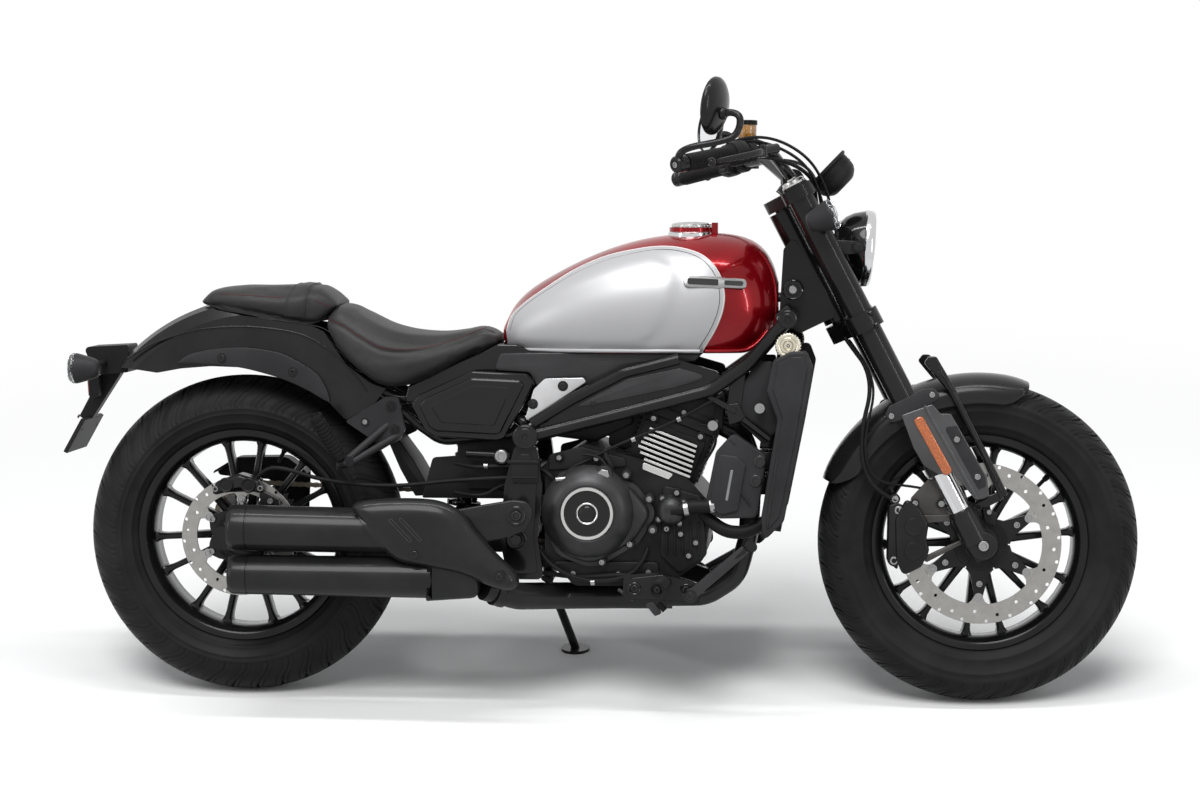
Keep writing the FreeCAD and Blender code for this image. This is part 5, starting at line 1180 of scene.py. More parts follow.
def makeGauge():
    centre, facing = lampForm["gaugeCentre"], lampForm["gaugeFacing"]
    pod, dial, glass, needle, stalk = blanks(5)
    rows = milli((-37, 0), (-37, 22), (-35, 28), (-28, 37.5), (-20, 43), (-12, 44.6))
    for rib in range(4):
        along = -0.009 + rib * 0.0042
        rows += [(along, 0.0448), (along + 0.0008, 0.046), (along + 0.0026, 0.0462), (along + 0.0034, 0.045)]
    rows += milli((9.5, 47.8), (10.5, 49.8), (15, 50), (16, 49), (16, 46.5), (12.5, 45.5))
    lathe(pod, rows, centre, facing, 72)
    lathe(dial, milli((9.5, 45.5), (10.5, 44), (10, 0)), centre, facing, 64)
    lathe(glass, milli((14.2, 46.2), (14.6, 20), (14.7, 0)), centre, facing, 64)
    glassPiece = addPiece("gauge_glass", glass, "glass", "steering", sharp=60)
    wall = glassPiece.modifiers.new("wall", "SOLIDIFY")
    wall.thickness = 0.0012
    wall.offset = -1
    right = Vector((0, -1, 0))
    above = facing.cross(right).normalized()
    above = above if above.z > 0 else -above
    for mark in range(25):
        turn = math.radians(-130 + mark * 260 / 24)
        long = mark % 3 == 0
        inner, outerEnd = (0.033 if long else 0.0365), 0.0405
        direction = right * math.sin(turn) + above * math.cos(turn)
        beside = direction.cross(facing).normalized() * (0.0007 if long else 0.0004)
        spots = [centre + facing * 0.011 + direction * reach + beside * sign for reach, sign in ((inner, -1),
            (inner, 1), (outerEnd, 1), (outerEnd, -1))]
        needle.faces.new([needle.verts.new(spot) for spot in spots])
    rod(stalk, onFork(0.796, 0.056, 0), centre - facing * 0.02, 0.0085, 0.0085, 20)
    slab(stalk, milli((340, -16, 4), (420, -16, 6), (420, 16, 6), (340, 16, 4)),
        lambda u, v, w: Vector((u + 0.02, v, w)), 1.0285, 1.0325, 0.001)
    addPiece("gauge_body", pod, "matteBlack", "steering", ["gauge_pod"], 30)
    addPiece("gauge_dial", dial, "blackSatin", "steering")
    addPiece("gauge_marks", needle, "whiteMark", "steering")
    addPiece("gauge_stalk", stalk, "blackSatin", "steering")


def makeSignal(label, centre, facing, arm, body, replaced, lensFinish):
    shell, lens, inside = bmesh.new(), bmesh.new(), bmesh.new()
    lathe(shell, milli((-26.2, 0), (-26, 10), (-24.5, 14.5), (-20, 18.5), (-10, 22.2), (10, 28.2), (18, 30.2),
        (20.5, 30.8), (22.5, 30.6), (22.5, 28)), centre, facing, 56)
    for start, end, radius in arm:
        rod(shell, start, end, radius, radius * 0.95, 20, 0.001)
    lathe(lens, milli((22.2, 30), (23, 30.8), (27.5, 30.8), (31.5, 29), (34.5, 25), (36.2, 16),
        (36.8, 0)), centre, facing, 56)
    lathe(inside, milli((22.6, 30.2), (16, 25), (6, 18), (2, 10), (2, 0)), centre, facing, 48)
    lathe(inside, milli((2, 4), (14, 5.5), (20, 5.5), (22, 3), (22.5, 0)), centre, facing, 20)
    addPiece(label + "_housings", shell, "charcoal", body, replaced, 45)
    addPiece(label + "_lenses", lens, lensFinish, body, sharp=45)
    addPiece(label + "_reflectors", inside, "lamp", body, sharp=45)


def makeSignals():
    for side, label in flanks:
        centre = onSide(lampForm["frontSignal"], side)
        root = Vector((centre.x, side * 0.122, centre.z))
        makeSignal("front_signal_" + label, centre, lampForm["frontFacing"],
            [(root, centre - Vector((0, side * 0.012, 0)), 0.008), (root, root + Vector((0, side * 0.01, 0)), 0.012)],
            "steering", ["front_signals"], "clearLamp")
        centre = onSide(lampForm["rearSignal"], side)
        makeSignal("rear_signal_" + label, centre, Vector((-1, 0, 0)),
            [(Vector((-1.034, side * 0.094, 0.667)), centre - Vector((-0.008, side * 0.008, 0)), 0.0075)], "chassis",
            ["rear_signals"], "clearLamp")


makeHeadlight()
makeGauge()
makeSignals()
print("stage: lamps")


# ---- seats
seatForm = {
    "rider": {
        "rows": milli((-560, 742, 778, 104), (-536, 704, 797, 116), (-500, 668, 779, 128), (-450, 634, 754, 138),
            (-400, 632, 740, 143), (-340, 654, 735, 135), (-290, 678, 740, 115),
            (-245, 697, 749, 92), (-216, 714, 738, 72)),
        "shrink": 0.002, "cap": 0.004, "pressure": 3.5,
        "seam": milli((-552, 500), (-508, 580), (-450, 600), (-390, 640), (-330, 680), (-280, 740),
            (-246, 840), (-226, 900)),
    },
    "pillion": {
        "rows": milli((-825, 790, 802, 62), (-800, 785, 822, 82), (-745, 776, 827, 94), (-690, 766, 827, 98),
            (-630, 756, 829, 98), (-585, 753, 832, 95), (-560, 770, 818, 90), (-540, 786, 800, 84)),
        "shrink": 0.001, "cap": 0.004, "pressure": 3, "bands": (-0.634, -0.59),
    },
    "foot": 0.86, "shoulder": 0.76, "around": 40, "voxel": 0.0045, "frames": 20,
}


def smoothRow(rows, x):
    # the section's bottom, top and half width at x, eased between the given stations
    for first, second in zip(rows, rows[1:]):
        if x <= second[0]:
            break
    t = min(max((x - first[0]) / (second[0] - first[0]), 0), 1)
    i = rows.index(first)
    before, after = rows[max(i - 1, 0)], rows[min(i + 2, len(rows) - 1)]
    values = []
    for k in (1, 2, 3):
        p0, p1, p2, p3 = before[k], first[k], second[k], after[k]
        m1, m2 = (p2 - p0) / 2, (p3 - p1) / 2
        values.append((2 * t ** 3 - 3 * t ** 2 + 1) * p1 + (t ** 3 - 2 * t ** 2 + t) * m1 + (-2 * t ** 3 + 3 * t ** 2)
            * p2 + (t ** 3 - t ** 2) * m2)
    return values


def seatSection(bottom, top, half, turn):
    # a closed section: flat foot, bulged flank, softly crowned top; turn runs from the foot's middle
    tall = top - bottom
    rows = milli((0, 0, 0), (100, 450, 0), (190, 840, 0), (250, 960, 120), (330, 1000, 420), (420, 955, 700),
        (500, 840, 875), (600, 620, 955), (750, 340, 985), (1000, 0, 1000))
    share = abs(turn)
    for first, second in zip(rows, rows[1:]):
        if share <= second[0]:
            break
    t = (share - first[0]) / (second[0] - first[0])
    t = t * t * (3 - 2 * t) * 0.35 + t * 0.65
    side = first[1] + (second[1] - first[1]) * t
    rise = first[2] + (second[2] - first[2]) * t
    return math.copysign(side * half, turn), bottom + rise * tall


def seatShell(form, grown=0):
    bm = bmesh.new()
    rows = form["rows"]
    first, last = rows[0][0] - grown, rows[-1][0] + grown
    steps = 44
    loops = []
    for step in range(steps + 1):
        share = step / steps
        x = first + (last - first) * (0.5 - 0.5 * math.cos(math.pi * share))
        bottom, top, half = smoothRow(rows, min(max(x, rows[0][0]), rows[-1][0]))
        ends = min(share, 1 - share) * 6
        close = 1 if ends >= 1 else math.sqrt(1 - (1 - ends) ** 2) * 0.55 + 0.45
        middle = (bottom + top) / 2
        bottom, top = middle - (middle - bottom + grown) * close, middle + (top - middle + grown) * close
        half = (half + grown) * (0.8 + 0.2 * close)
        loop = []
        for i in range(seatForm["around"]):
            side, rise = seatSection(bottom, top, half, 2 * (i + 0.5) / seatForm["around"] - 1)
            loop.append(bm.verts.new((x, side, rise)))
        loops.append(loop)
    for near, far in zip(loops, loops[1:]):
        for i in range(seatForm["around"]):
            j = (i + 1) % seatForm["around"]
            bm.faces.new((near[i], near[j], far[j], far[i]))
    bm.faces.new(loops[0])
    bm.faces.new(loops[-1])
    return bm


def applied(piece):
    # the piece's own mesh becomes what its modifiers make of it
    graph = bpy.context.evaluated_depsgraph_get()
    mesh = bpy.data.meshes.new_from_object(piece.evaluated_get(graph))
    piece.modifiers.clear()
    piece.data = mesh
    return piece


def inflated(name, form, bm):
    # the cover is remeshed, blown up a little by cloth simulation, and held near its own form
    mesh = bpy.data.meshes.new(name)
    bmesh.ops.recalc_face_normals(bm, faces=bm.faces)
    bm.to_mesh(mesh)
    bm.free()
    piece = bpy.data.objects.new(name, mesh)
    bpy.context.scene.collection.objects.link(piece)
    remesh = piece.modifiers.new("remesh", "REMESH")
    remesh.mode = "VOXEL"
    remesh.voxel_size = seatForm["voxel"]
    remesh.use_smooth_shade = True
    applied(piece)
    start = [vert.co.copy() for vert in piece.data.vertices]
    cloth = piece.modifiers.new("cloth", "CLOTH")
    settings = cloth.settings
    settings.quality = 4
    settings.mass = 0.4
    settings.tension_stiffness = settings.compression_stiffness = 22
    settings.shear_stiffness = 12
    settings.bending_stiffness = 6
    settings.use_pressure = True
    settings.uniform_pressure_force = form["pressure"]
    settings.effector_weights.gravity = 0
    cloth.collision_settings.use_collision = False
    scene = bpy.context.scene
    for count in range(1, seatForm["frames"] + 1):
        scene.frame_set(count)
    applied(piece)
    scene.frame_set(1)
    for vert, was in zip(piece.data.vertices, start):
        move = vert.co - was
        if move.length > form["cap"]:
            vert.co = was + move.normalized() * form["cap"]
    return piece


def dressSeat(name, form, replaced, groove):
    piece = inflated(name, form, seatShell(form, -form["shrink"]))
    mesh = piece.data
    bm = bmesh.new()
    bm.from_mesh(mesh)
    for turn in range(2):
        bmesh.ops.smooth_vert(bm, verts=bm.verts, factor=0.5, use_axis_x=True, use_axis_y=True, use_axis_z=True)
    bm.normal_update()
    for vert in bm.verts:
        vert.co -= vert.normal * groove(vert.co)
    bm.to_mesh(mesh)
    bm.free()
    mesh.transform(upright)
    mesh.materials.append(finish["leather"])
    mesh.shade_smooth()
    smooth = piece.modifiers.new("smooth", "SUBSURF")
    smooth.levels = smooth.render_levels = 1
    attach(piece, "chassis")
    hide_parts(replaced)
    return piece


def along(rows, x):
    for first, second in zip(rows, rows[1:]):
        if x <= second[0]:
            break
    t = min(max((x - first[0]) / (second[0] - first[0]), 0), 1)
    return first[1] + (second[1] - first[1]) * t


def riderGroove(spot):
    form = seatForm["rider"]
    if spot.x > -0.226 or spot.x < -0.555:
        return 0
    bottom, top, half = smoothRow(form["rows"], spot.x)
    height = bottom + (top - bottom) * along(form["seam"], spot.x)
    off = spot.z - height if abs(spot.y) > half * 0.5 else 1
    return 0.003 * math.exp(-(off / 0.0042) ** 2)


def pillionGroove(spot):
    form = seatForm["pillion"]
    depth = 0
    if spot.z > 0.772:
        for x in form["bands"]:
            depth += 0.0016 * math.exp(-((spot.x - x + 0.05 * max(0.826 - spot.z, 0)) / 0.005) ** 2)
    return depth


riderSeat = dressSeat("rider_seat_cover", seatForm["rider"], "rider_seat", riderGroove)
pillionSeat = dressSeat("pillion_seat_cover", seatForm["pillion"], "pillion_seat", pillionGroove)
print("stage: seats")


def surfaceOf(*pieces):
    # a finder of the first surface met from a spot in a direction, in the machine's upright frame
    trees = []
    graph = bpy.context.evaluated_depsgraph_get()
    for piece in pieces:
        mesh = bpy.data.meshes.new_from_object(piece.evaluated_get(graph))
        bm = bmesh.new()
        bm.from_mesh(mesh)
        bmesh.ops.transform(bm, matrix=upright.inverted() @ piece.matrix_world, verts=bm.verts)
        trees.append(BVHTree.FromBMesh(bm))
        bm.free()
        bpy.data.meshes.remove(mesh)

    def find(spot, direction):
        best = None
        for tree in trees:
            place, normal, face, distance = tree.ray_cast(Vector(spot), Vector(direction))
            if place is not None and (best is None or distance < best[2]):
                best = (place, normal, distance)
        return best

    return find


def addStitches(name, spots, finishName, length=0.0042, gap=0.0026, radius=0.00055, body="chassis"):
    # short threads end to end along a line of surface points and their outward directions
    bm = bmesh.new()
    travelled, due = 0, 0
    for (spot, normal), following in zip(spots, spots[1:]):
        step = following[0] - spot
        reach = step.length
        if reach < 1e-6:
            continue
        run = step / reach
        while due <= travelled + reach:
            here = spot + run * (due - travelled)
            raised = here + normal * radius * 0.9
            rod(bm, raised - run * length / 2, raised + run * length / 2, radius, radius, 6, 0.0002)
            due += length + gap
        travelled += reach
    return addPiece(name, bm, finishName, body)


def makeStitches():
    finder = surfaceOf(riderSeat)
    form = seatForm["rider"]
    for side, label in flanks:
        line = []
        for step in range(90):
            x = -0.552 + 0.324 * step / 89
            bottom, top = smoothRow(form["rows"], x)[:2]
            height = bottom + (top - bottom) * along(form["seam"], x) + 0.0052
            hit = finder((x, side * 0.35, height), (0, -side, 0))
            if hit:
                line.append(hit[:2])
        addStitches("rider_stitch_" + label, line, "redThread")
    # the pillion's belt, sewn down along both its edges, and the seams before and behind it
    finder = surfaceOf(pillionSeat)
    first, last = seatForm["pillion"]["bands"]
    beltMiddle = 0.786
    belt = []
    for share, lift in milli((0, -1), (20, 1.4), (70, 2.4), (500, 2.8), (930, 2.4), (980, 1.4), (1000, -1)):
        belt.append([])
        for step in range(73):
            turn = math.radians(-10 + 200 * step / 72)
            out = Vector((0, math.cos(turn), math.sin(turn)))
            x = first + (last - first) * share - 0.012 * (1 - math.sin(turn))
            hit = finder(Vector((x, 0, beltMiddle)) + out * 0.3, -out)
            belt[-1].append(hit[0] + out * lift)
    bm = bmesh.new()
    quilt(bm, belt)
    addPiece("pillion_belt", bm, "leather")
    for row, name in ((2, "rear"), (4, "front")):
        inward = (belt[3][36] - belt[row][36]).normalized() * 0.0015
        line = [(spot + inward, Vector((0, spot.y, spot.z - beltMiddle)).normalized()) for spot in belt[row]]
        addStitches("belt_stitch_" + name, line, "blackThread")
    for side, label in flanks:
        for name, ends in (("rear", ((-0.777, 0.814), (-0.646, 0.807))),
                ("front", ((-0.582, 0.801), (-0.556, 0.789)))):
            line = []
            for step in range(40):
                x = ends[0][0] + (ends[1][0] - ends[0][0]) * step / 39
                z = ends[0][1] + (ends[1][1] - ends[0][1]) * step / 39
                hit = finder((x, side * 0.35, z), (0, -side, 0))
                if hit:
                    line.append(hit[:2])
            addStitches("pillion_stitch_%s_%s" % (name, label), line, "redThread")


makeStitches()


# ---- tank
tankForm = {
    "panel": milli((-197, 742), (-187, 771), (-160, 797), (-122, 824), (-62, 862), (0, 889), (60, 903), (108, 909),
        (153, 906), (197, 891), (226, 861), (238, 822), (235, 786), (220, 748), (199, 714)),
    "knee": milli((727, 78), (760, 108), (804, 130), (841, 138), (868, 128), (890, 100)),
    "cap": mm(166, 0, 936), "hinge": mm(214, 0, 953.3),
    "badge": mm(221, 0, 841),
}


def makeTank():
    # the silver panels: one smooth outline, a crowned field, and a hollow for the knee ahead of it
    finder = surfaceOf(nodes["fuel_tank"])
    curve = [Vector(point) for point in smoothCurve(tankForm["panel"], 150)]
    outline = [curve[-1] + mm(-4, -9.5)] + [mm(-186, 704.5), mm(-196, 715)] + curve
    outline = [p.copy() for p in outline]

    def kneeAt(z):
        rows = tankForm["knee"]
        z = min(max(z, rows[0][0]), rows[-1][0])
        for first, second in zip(rows, rows[1:]):
            if z <= second[0]:
                break
        t = (z - first[0]) / (second[0] - first[0])
        return first[1] + (second[1] - first[1]) * t

    def eased(t):
        t = min(max(t, 0), 1)
        return t * t * (3 - 2 * t)

    for side, label in flanks:

        def onTank(spot, lift=None):
            hit = finder((spot.x, side * 0.4, spot.y), (0, -side, 0))
            if hit is None:
                return None
            if lift is None:
                ahead = spot.x - kneeAt(spot.y)
                knee = 0.0022 - 0.0044 * eased((ahead + 0.012) / 0.034) + 0.0022 * eased((ahead - 0.022) / 0.07)
                lift = 0.003 + knee * eased(edgeDistance(outline, spot) / 0.03)
            normal = hit[1] if hit[1].y * side > 0 else -hit[1]
            return hit[0] + normal * lift

        columns = columnsOf(outline, 90, 40, onTank)
        known = [[spot for spot in column if spot is not None] for column in columns]
        known = [column for column in known if len(column) == 41]
        bm = bmesh.new()
        quilt(bm, known)
        # the rolled rim that meets the tank
        rim = [[onTank(spot, lift) for lift in (0.003, 0.0022, -0.001)] for spot in outline]
        rim = [column for column in rim if None not in column]
        quilt(bm, rim)
        bmesh.ops.remove_doubles(bm, verts=bm.verts, dist=0.0002)
        addPiece("tank_panel_" + label, bm, "silver", replaced=["tank_side_panels"], sharp=40)
        for inset, lift, radius, finishName, name in ((0, 0.0016, 0.0021, "paleLine", "edge"),
                (0.0085, 0.0029, 0.0007, "trimGrey", "inner")):
            middle = mm(20, 800)
            line = [onTank(spot + (middle - spot).normalized() * inset, lift) for spot in outline]
            line = [upright @ spot for spot in line if spot is not None]
            curveData = bpy.data.curves.new("tank_%s_line_%s" % (name, label), "CURVE")
            curveData.dimensions = "3D"
            curveData.bevel_depth = radius
            curveData.bevel_resolution = 2
            spline = curveData.splines.new("POLY")
            spline.points.add(len(line) - 1)
            for place, spot in zip(spline.points, line):
                place.co = (*spot, 1)
            spline.use_cyclic_u = True
            curveData.materials.append(finish[finishName])
            piece = bpy.data.objects.new(curveData.name, curveData)
            bpy.context.scene.collection.objects.link(piece)
            settle(piece, finishName, "chassis", ())
        # a plain bar badge with a raised rim and a window, on the panel's forward edge
        bm = bmesh.new()
        centre = tankForm["badge"]
        hit = finder((centre.x, side * 0.4, centre.z), (0, -side, 0))
        normal = hit[1] if hit[1].y * side > 0 else -hit[1]
        level = Vector((1, 0, 0))
        level = (level - normal * level.dot(normal)).normalized()
        rise = normal.cross(level)
        rise = rise if rise.z > 0 else -rise

        def onBadge(u, v, w):
            return hit[0] + level * u + rise * v + normal * w

        slab(bm, milli((-62, -12.5, 12), (10, -12.5, 4), (14, -10, 4), (62, -10, 10), (62, 10, 10), (14, 10, 4),
            (10, 12.5, 4), (-62, 12.5, 12)), onBadge, -0.004, 0.0036, 0.0012, 2)
        addPiece("badge_plate_" + label, bm, "steel")
        bm = bmesh.new()
        slab(bm, milli((-55, -6.5, 5), (6, -6.5, 3), (6, 6.5, 3), (-55, 6.5, 5)), onBadge, 0.003, 0.0042, 0.0005, 1)
        slab(bm, milli((18, -5, 3), (55, -5, 4), (55, 5, 4), (18, 5, 3)), onBadge, 0.003, 0.0042, 0.0005, 1)
        addPiece("badge_inlay_" + label, bm, "trimGrey")

    # the seam flange along the tank's foot and round its nose, both sides
    for side, label in flanks:
        for name, finishName, stations in (("silver", "silver", (-0.196, 0.19)), ("red", "candyRed", (0.2, 0.322))):
            line = []
            for step in range(26):
                x = stations[0] + (stations[1] - stations[0]) * step / 25
                hit = finder((x, side * 0.3, 0.7085 if x < 0.27 else 0.7085 + (x - 0.27) ** 2 * 14), (0, -side, 0))
                if hit:
                    line.append(tuple(hit[0] + Vector((0, side * 0.0015, -0.003))))
            if len(line) > 2:
                addHose("tank_flange_%s_%s" % (name, label), line, 0.0046, finishName)
        nose = []
        for step in range(30):
            z = 0.728 + (0.9 - 0.728) * step / 29
            hit = finder((0.7, side * (0.058 - 0.1 * abs(z - 0.8)), z), (-1, 0, 0))
            if hit and hit[0].x > 0.2:
                nose.append(tuple(hit[0]))
        if len(nose) > 2:
            addHose("tank_nose_seam_" + label, nose, 0.0028, "candyRed")

    ring, lid, lock = bmesh.new(), bmesh.new(), bmesh.new()
    centre = tankForm["cap"]
    lathe(ring, milli((-10, 47), (-2, 47), (1.5, 46.2), (3, 44), (11.5, 42.5), (12.2, 41.5),
        (12.2, 30)), centre, (0, 0, 1), 72)
    base = centre + mm(0, 0, 12.3)
    rows = milli((0, 0), (0, 38.5), (0.8, 39.8), (3, 40), (3.6, 39.4), (6, 38.8), (7.8, 36), (9, 30), (9.6, 22),
        (9.8, 15), (9.4, 14.5), (9.4, 0))
    lathe(lid, rows, base, (0, 0, 1), 72)
    notches, notchRadius = 24, 0.0392
    for notch in range(notches):
        turn = 2 * math.pi * notch / notches
        spot = base + Vector((math.cos(turn) * notchRadius, math.sin(turn) * notchRadius, 0.0008))
        rod(lid, spot, spot + mm(0, 0, 3.6), 0.0016, 0.0016, 8, 0.0004)
    rod(lid, tankForm["hinge"] - mm(0, 5, 0), tankForm["hinge"] + mm(0, 5, 0), 0.0048, 0.0048, 20)
    slab(lid, oblong(0.03, 0.048, -0.0048, 0.0048, 0.001), lambda u, v, w: base + Vector((u, v, w)),
        0.0015, 0.0082, 0.0008)
    lathe(lock, milli((9.2, 0), (9.2, 13), (10.2, 12.2), (10.4, 0)), base, (0, 0, 1), 36)
    addPiece("filler_ring", ring, "chrome", sharp=30)
    addPiece("filler_lid", lid, "polished", "fuel_cap", ["fuel_cap_lid"], 30)
    addPiece("filler_lock", lock, "steel", "fuel_cap")


makeTank()
print("stage: tank")


# ---- side covers, trims and fender
def makeSideDress():
    covers, rims, accents, skirts, bolts, bosses, trims, fills, splash = blanks(9)
    for side in (-1, 1):
        def beside(x, z, y):
            return Vector((x, side * y, z))

        outline = milli((-386, 597, 14), (-370, 616, 20), (-264, 664, 24), (-153, 659, 16), (-138, 644, 10),
            (-160, 596, 20), (-199, 530, 16), (-214, 526, 10), (-337, 532, 14), (-356, 544, 12))
        slab(covers, outline, beside, 0.113, 0.133, 0.004, 3)
        slab(rims, milli((-369, 597, 10), (-358, 609, 16), (-262, 651, 20), (-166, 647, 12), (-157, 638, 8),
            (-205, 541, 10), (-216, 538, 8), (-333, 543, 10), (-348, 552, 10)), beside, 0.132, 0.1385, 0.0055, 3)
        slab(covers, milli((-345, 595, 6), (-258, 636, 10), (-182, 632, 8), (-217, 556, 8), (-322, 561, 8)), beside,
            0.1385, 0.1398, 0.0012, 1)
        # the brushed accent plate with its two screws, and the panel under the tank
        slab(accents, milli((-160, 558, 8), (-140, 628, 12), (-117, 650, 14), (-40, 652, 6), (-34, 643, 6)), beside,
            0.118, 0.127, 0.0022, 3)
        for x, z in ((-0.141, 0.599), (-0.081, 0.635)):
            lathe(bosses, milli((0, 10.5), (1.2, 9.5), (1.2, 6)), beside(x, z, 0.127), (0, side, 0), 24)
            bolt(bolts, beside(x, z, 0.127), (0, side, 0), 0.0062, 0.0036)
        slab(skirts, milli((-222, 664, 10), (-208, 698, 10), (-120, 700.5, 0), (60, 700.5, 0), (196, 700.5, 10),
            (180, 684, 12), (80, 676, 20), (-40, 626, 20), (-130, 626, 10), (-150, 660, 10)),
            beside, 0.098, 0.11, 0.003, 3)
        # the panel between the frame's tubes has a raised field, a screw and the boss caps
        slab(skirts, milli((-62, 592, 4), (30, 610, 0), (140, 634, 0), (212, 656, 12), (150, 672, 14), (48, 650, 20)),
            beside, 0.134, 0.1372, 0.0014, 2)
        bolt(bolts, beside(-0.02, 0.602, 0.1372), (0, side, 0), 0.0052, 0.003)
        for centre, radius, y in milli(((-154, 535), 23.5, 152), ((364, 770), 17.5, 144)):
            lathe(bosses, [(-0.001, radius + 0.001), (0.0012, radius), (0.0022, radius - 0.002),
                (0.0016, radius - 0.006), (0.003, radius - 0.009), (0.003, 0.006), (0.0018, 0.005), (0.0018, 0)],
                beside(centre[0], centre[1], y), (0, side, 0), 40)
        # the rear fender's bolted trim, a crowned crescent
        upper = smoothCurve(milli((-862, 675.5), (-837, 693), (-792, 703), (-727, 707), (-660, 698), (-616, 679),
            (-577, 653), (-559, 623), (-552.5, 599)), 64)
        lower = smoothCurve(milli((-861.5, 674.5), (-838, 675), (-795, 673.5), (-730, 666), (-668, 650.5), (-630, 637),
            (-596, 621), (-570, 606), (-554, 598)), 64)
        profile = milli((0, 102), (0, 107.2), (30, 108.4), (90, 108.8), (500, 109.8), (910, 108.8), (970, 108.4),
            (1000, 107.2), (1000, 102))
        quilt(trims, [[beside(*low.lerp(high, share), y) for share, y in profile] for low, high in zip(lower, upper)])
        # the dark panel between the seat and the side cover
        slab(fills, milli((-404, 598, 6), (-396, 632, 10), (-340, 657, 0), (-290, 681, 0), (-245, 700, 0),
            (-214, 716, 6), (-176, 716, 10), (-128, 690, 20), (-112, 668, 12), (-146, 632, 10), (-264, 640, 20),
            (-370, 600, 10)), beside, 0.082, 0.099, 0.004, 3)
        for x, z in ((-0.771, 0.688), (-0.627, 0.661)):
            lathe(bosses, milli((0, 10), (1, 9.2), (1, 5.8)), beside(x, z - 0.002, 0.1094), (0, side, 0), 24)
            bolt(bolts, beside(x, z - 0.002, 0.1094), (0, side, 0), 0.0058, 0.0034)
    addPiece("side_cover_shells", covers, "blackGloss", replaced=["side_covers"], sharp=30)
    addPiece("side_cover_rims", rims, "blackGloss", sharp=30)
    addPiece("accent_trims", accents, "silverSatin", sharp=30)
    addPiece("tank_skirts", skirts, "trimGrey", sharp=30)
    addPiece("dress_bolts", bolts, "boltBlack")
    addPiece("boss_caps", bosses, "blackSatin", sharp=30)
    for side, label in flanks:
        crease = smoothCurve([(x, side * 0.1, z) for x, z in milli((-966, 684), (-918, 712), (-860, 733), (-796, 746),
            (-701, 748), (-600, 730), (-524, 676), (-478, 620))], 30)
        addHose("fender_crease_" + label, crease, 0.0021, "blackSatin")
    addPiece("fender_trims", trims, "charcoal", sharp=30)
    addPiece("seat_side_panels", fills, "blackGloss", sharp=30)
    # the splash guard between the swingarm and the rear wheel, and the electrics' panel ahead of it
    slab(splash, milli((-441, 513, 4), (-424, 524, 6), (-390, 478, 30), (-368, 440, 20), (-358, 408, 4),
        (-388, 406, 4), (-418, 460, 30)), besideLeft, 0.06, -0.062, 0.004, 3)
    slab(splash, milli((-298, 530, 4), (-178, 530, 4), (-172, 440, 6), (-190, 404, 6), (-372, 404, 4), (-362, 440, 10),
        (-350, 486, 10), (-300, 490, 6)), besideLeft, -0.07, -0.076, 0.002, 2)
    slab(splash, milli((-288, 478, 6), (-190, 478, 6), (-192, 424, 6), (-276, 424, 6)), besideLeft,
        -0.076, -0.082, 0.002, 2)
    addPiece("splash_panels", splash, "matteBlack", sharp=30)


makeSideDress()


def makeTail():
    # the lamp under the plate arm, its plate, and the plate's bolts
    housing, lens, blank, bolts = blanks(4)
    slab(housing, milli((-1062, 640, 6), (-1040, 646, 4), (-1040, 604, 4), (-1060, 596, 6)),
        besideLeft, -0.046, 0.046, 0.002)
    slab(lens, milli((-1065.5, 634, 3), (-1061, 637, 2), (-1059, 602, 2), (-1063.5, 604, 3)),
        besideLeft, -0.04, 0.04, 0.0014)
    slab(blank, oblong(-0.07, 0.07, -0.03, 0.032, 0.008), lambda u, v, w: Vector((-1.0882, u, 0.523)) + mm(488.4, 0,
        872.6) * v + mm(-872.6, 0, 488.4) * w, 0.0012, 0.0026, 0.0006)
    for side in (-1, 1):
        bolt(bolts, Vector((-1.086, side * 0.03, 0.56)), (-0.8726, 0, 0.4884), 0.004, 0.003)
    addPiece("tail_lamp_housing", housing, "matteBlack")
    addPiece("tail_lamp_lens", lens, "redLamp")
    addPiece("tail_bolts", bolts, "boltBlack")


makeTail()
print("stage: body")


# ---- engine
engineForm = {
    "coverCentre": mm(-28, 0, 387), "half": 0.12, "foot": mm(96, 0, 420),
    "lean": math.radians(21), "cylinderHalf": 0.092, "finFirst": 0.058, "finPitch": 0.0102, "finCount": 7,
}
cylinderUp = Vector((math.sin(engineForm["lean"]), 0, math.cos(engineForm["lean"])))
cylinderBack = Vector((-cylinderUp.z, 0, cylinderUp.x))


def onCylinder(side):
    def spot(back, rise, out):
        return engineForm["foot"] + cylinderBack * back + cylinderUp * rise + Vector((0, side * out, 0))
    return spot


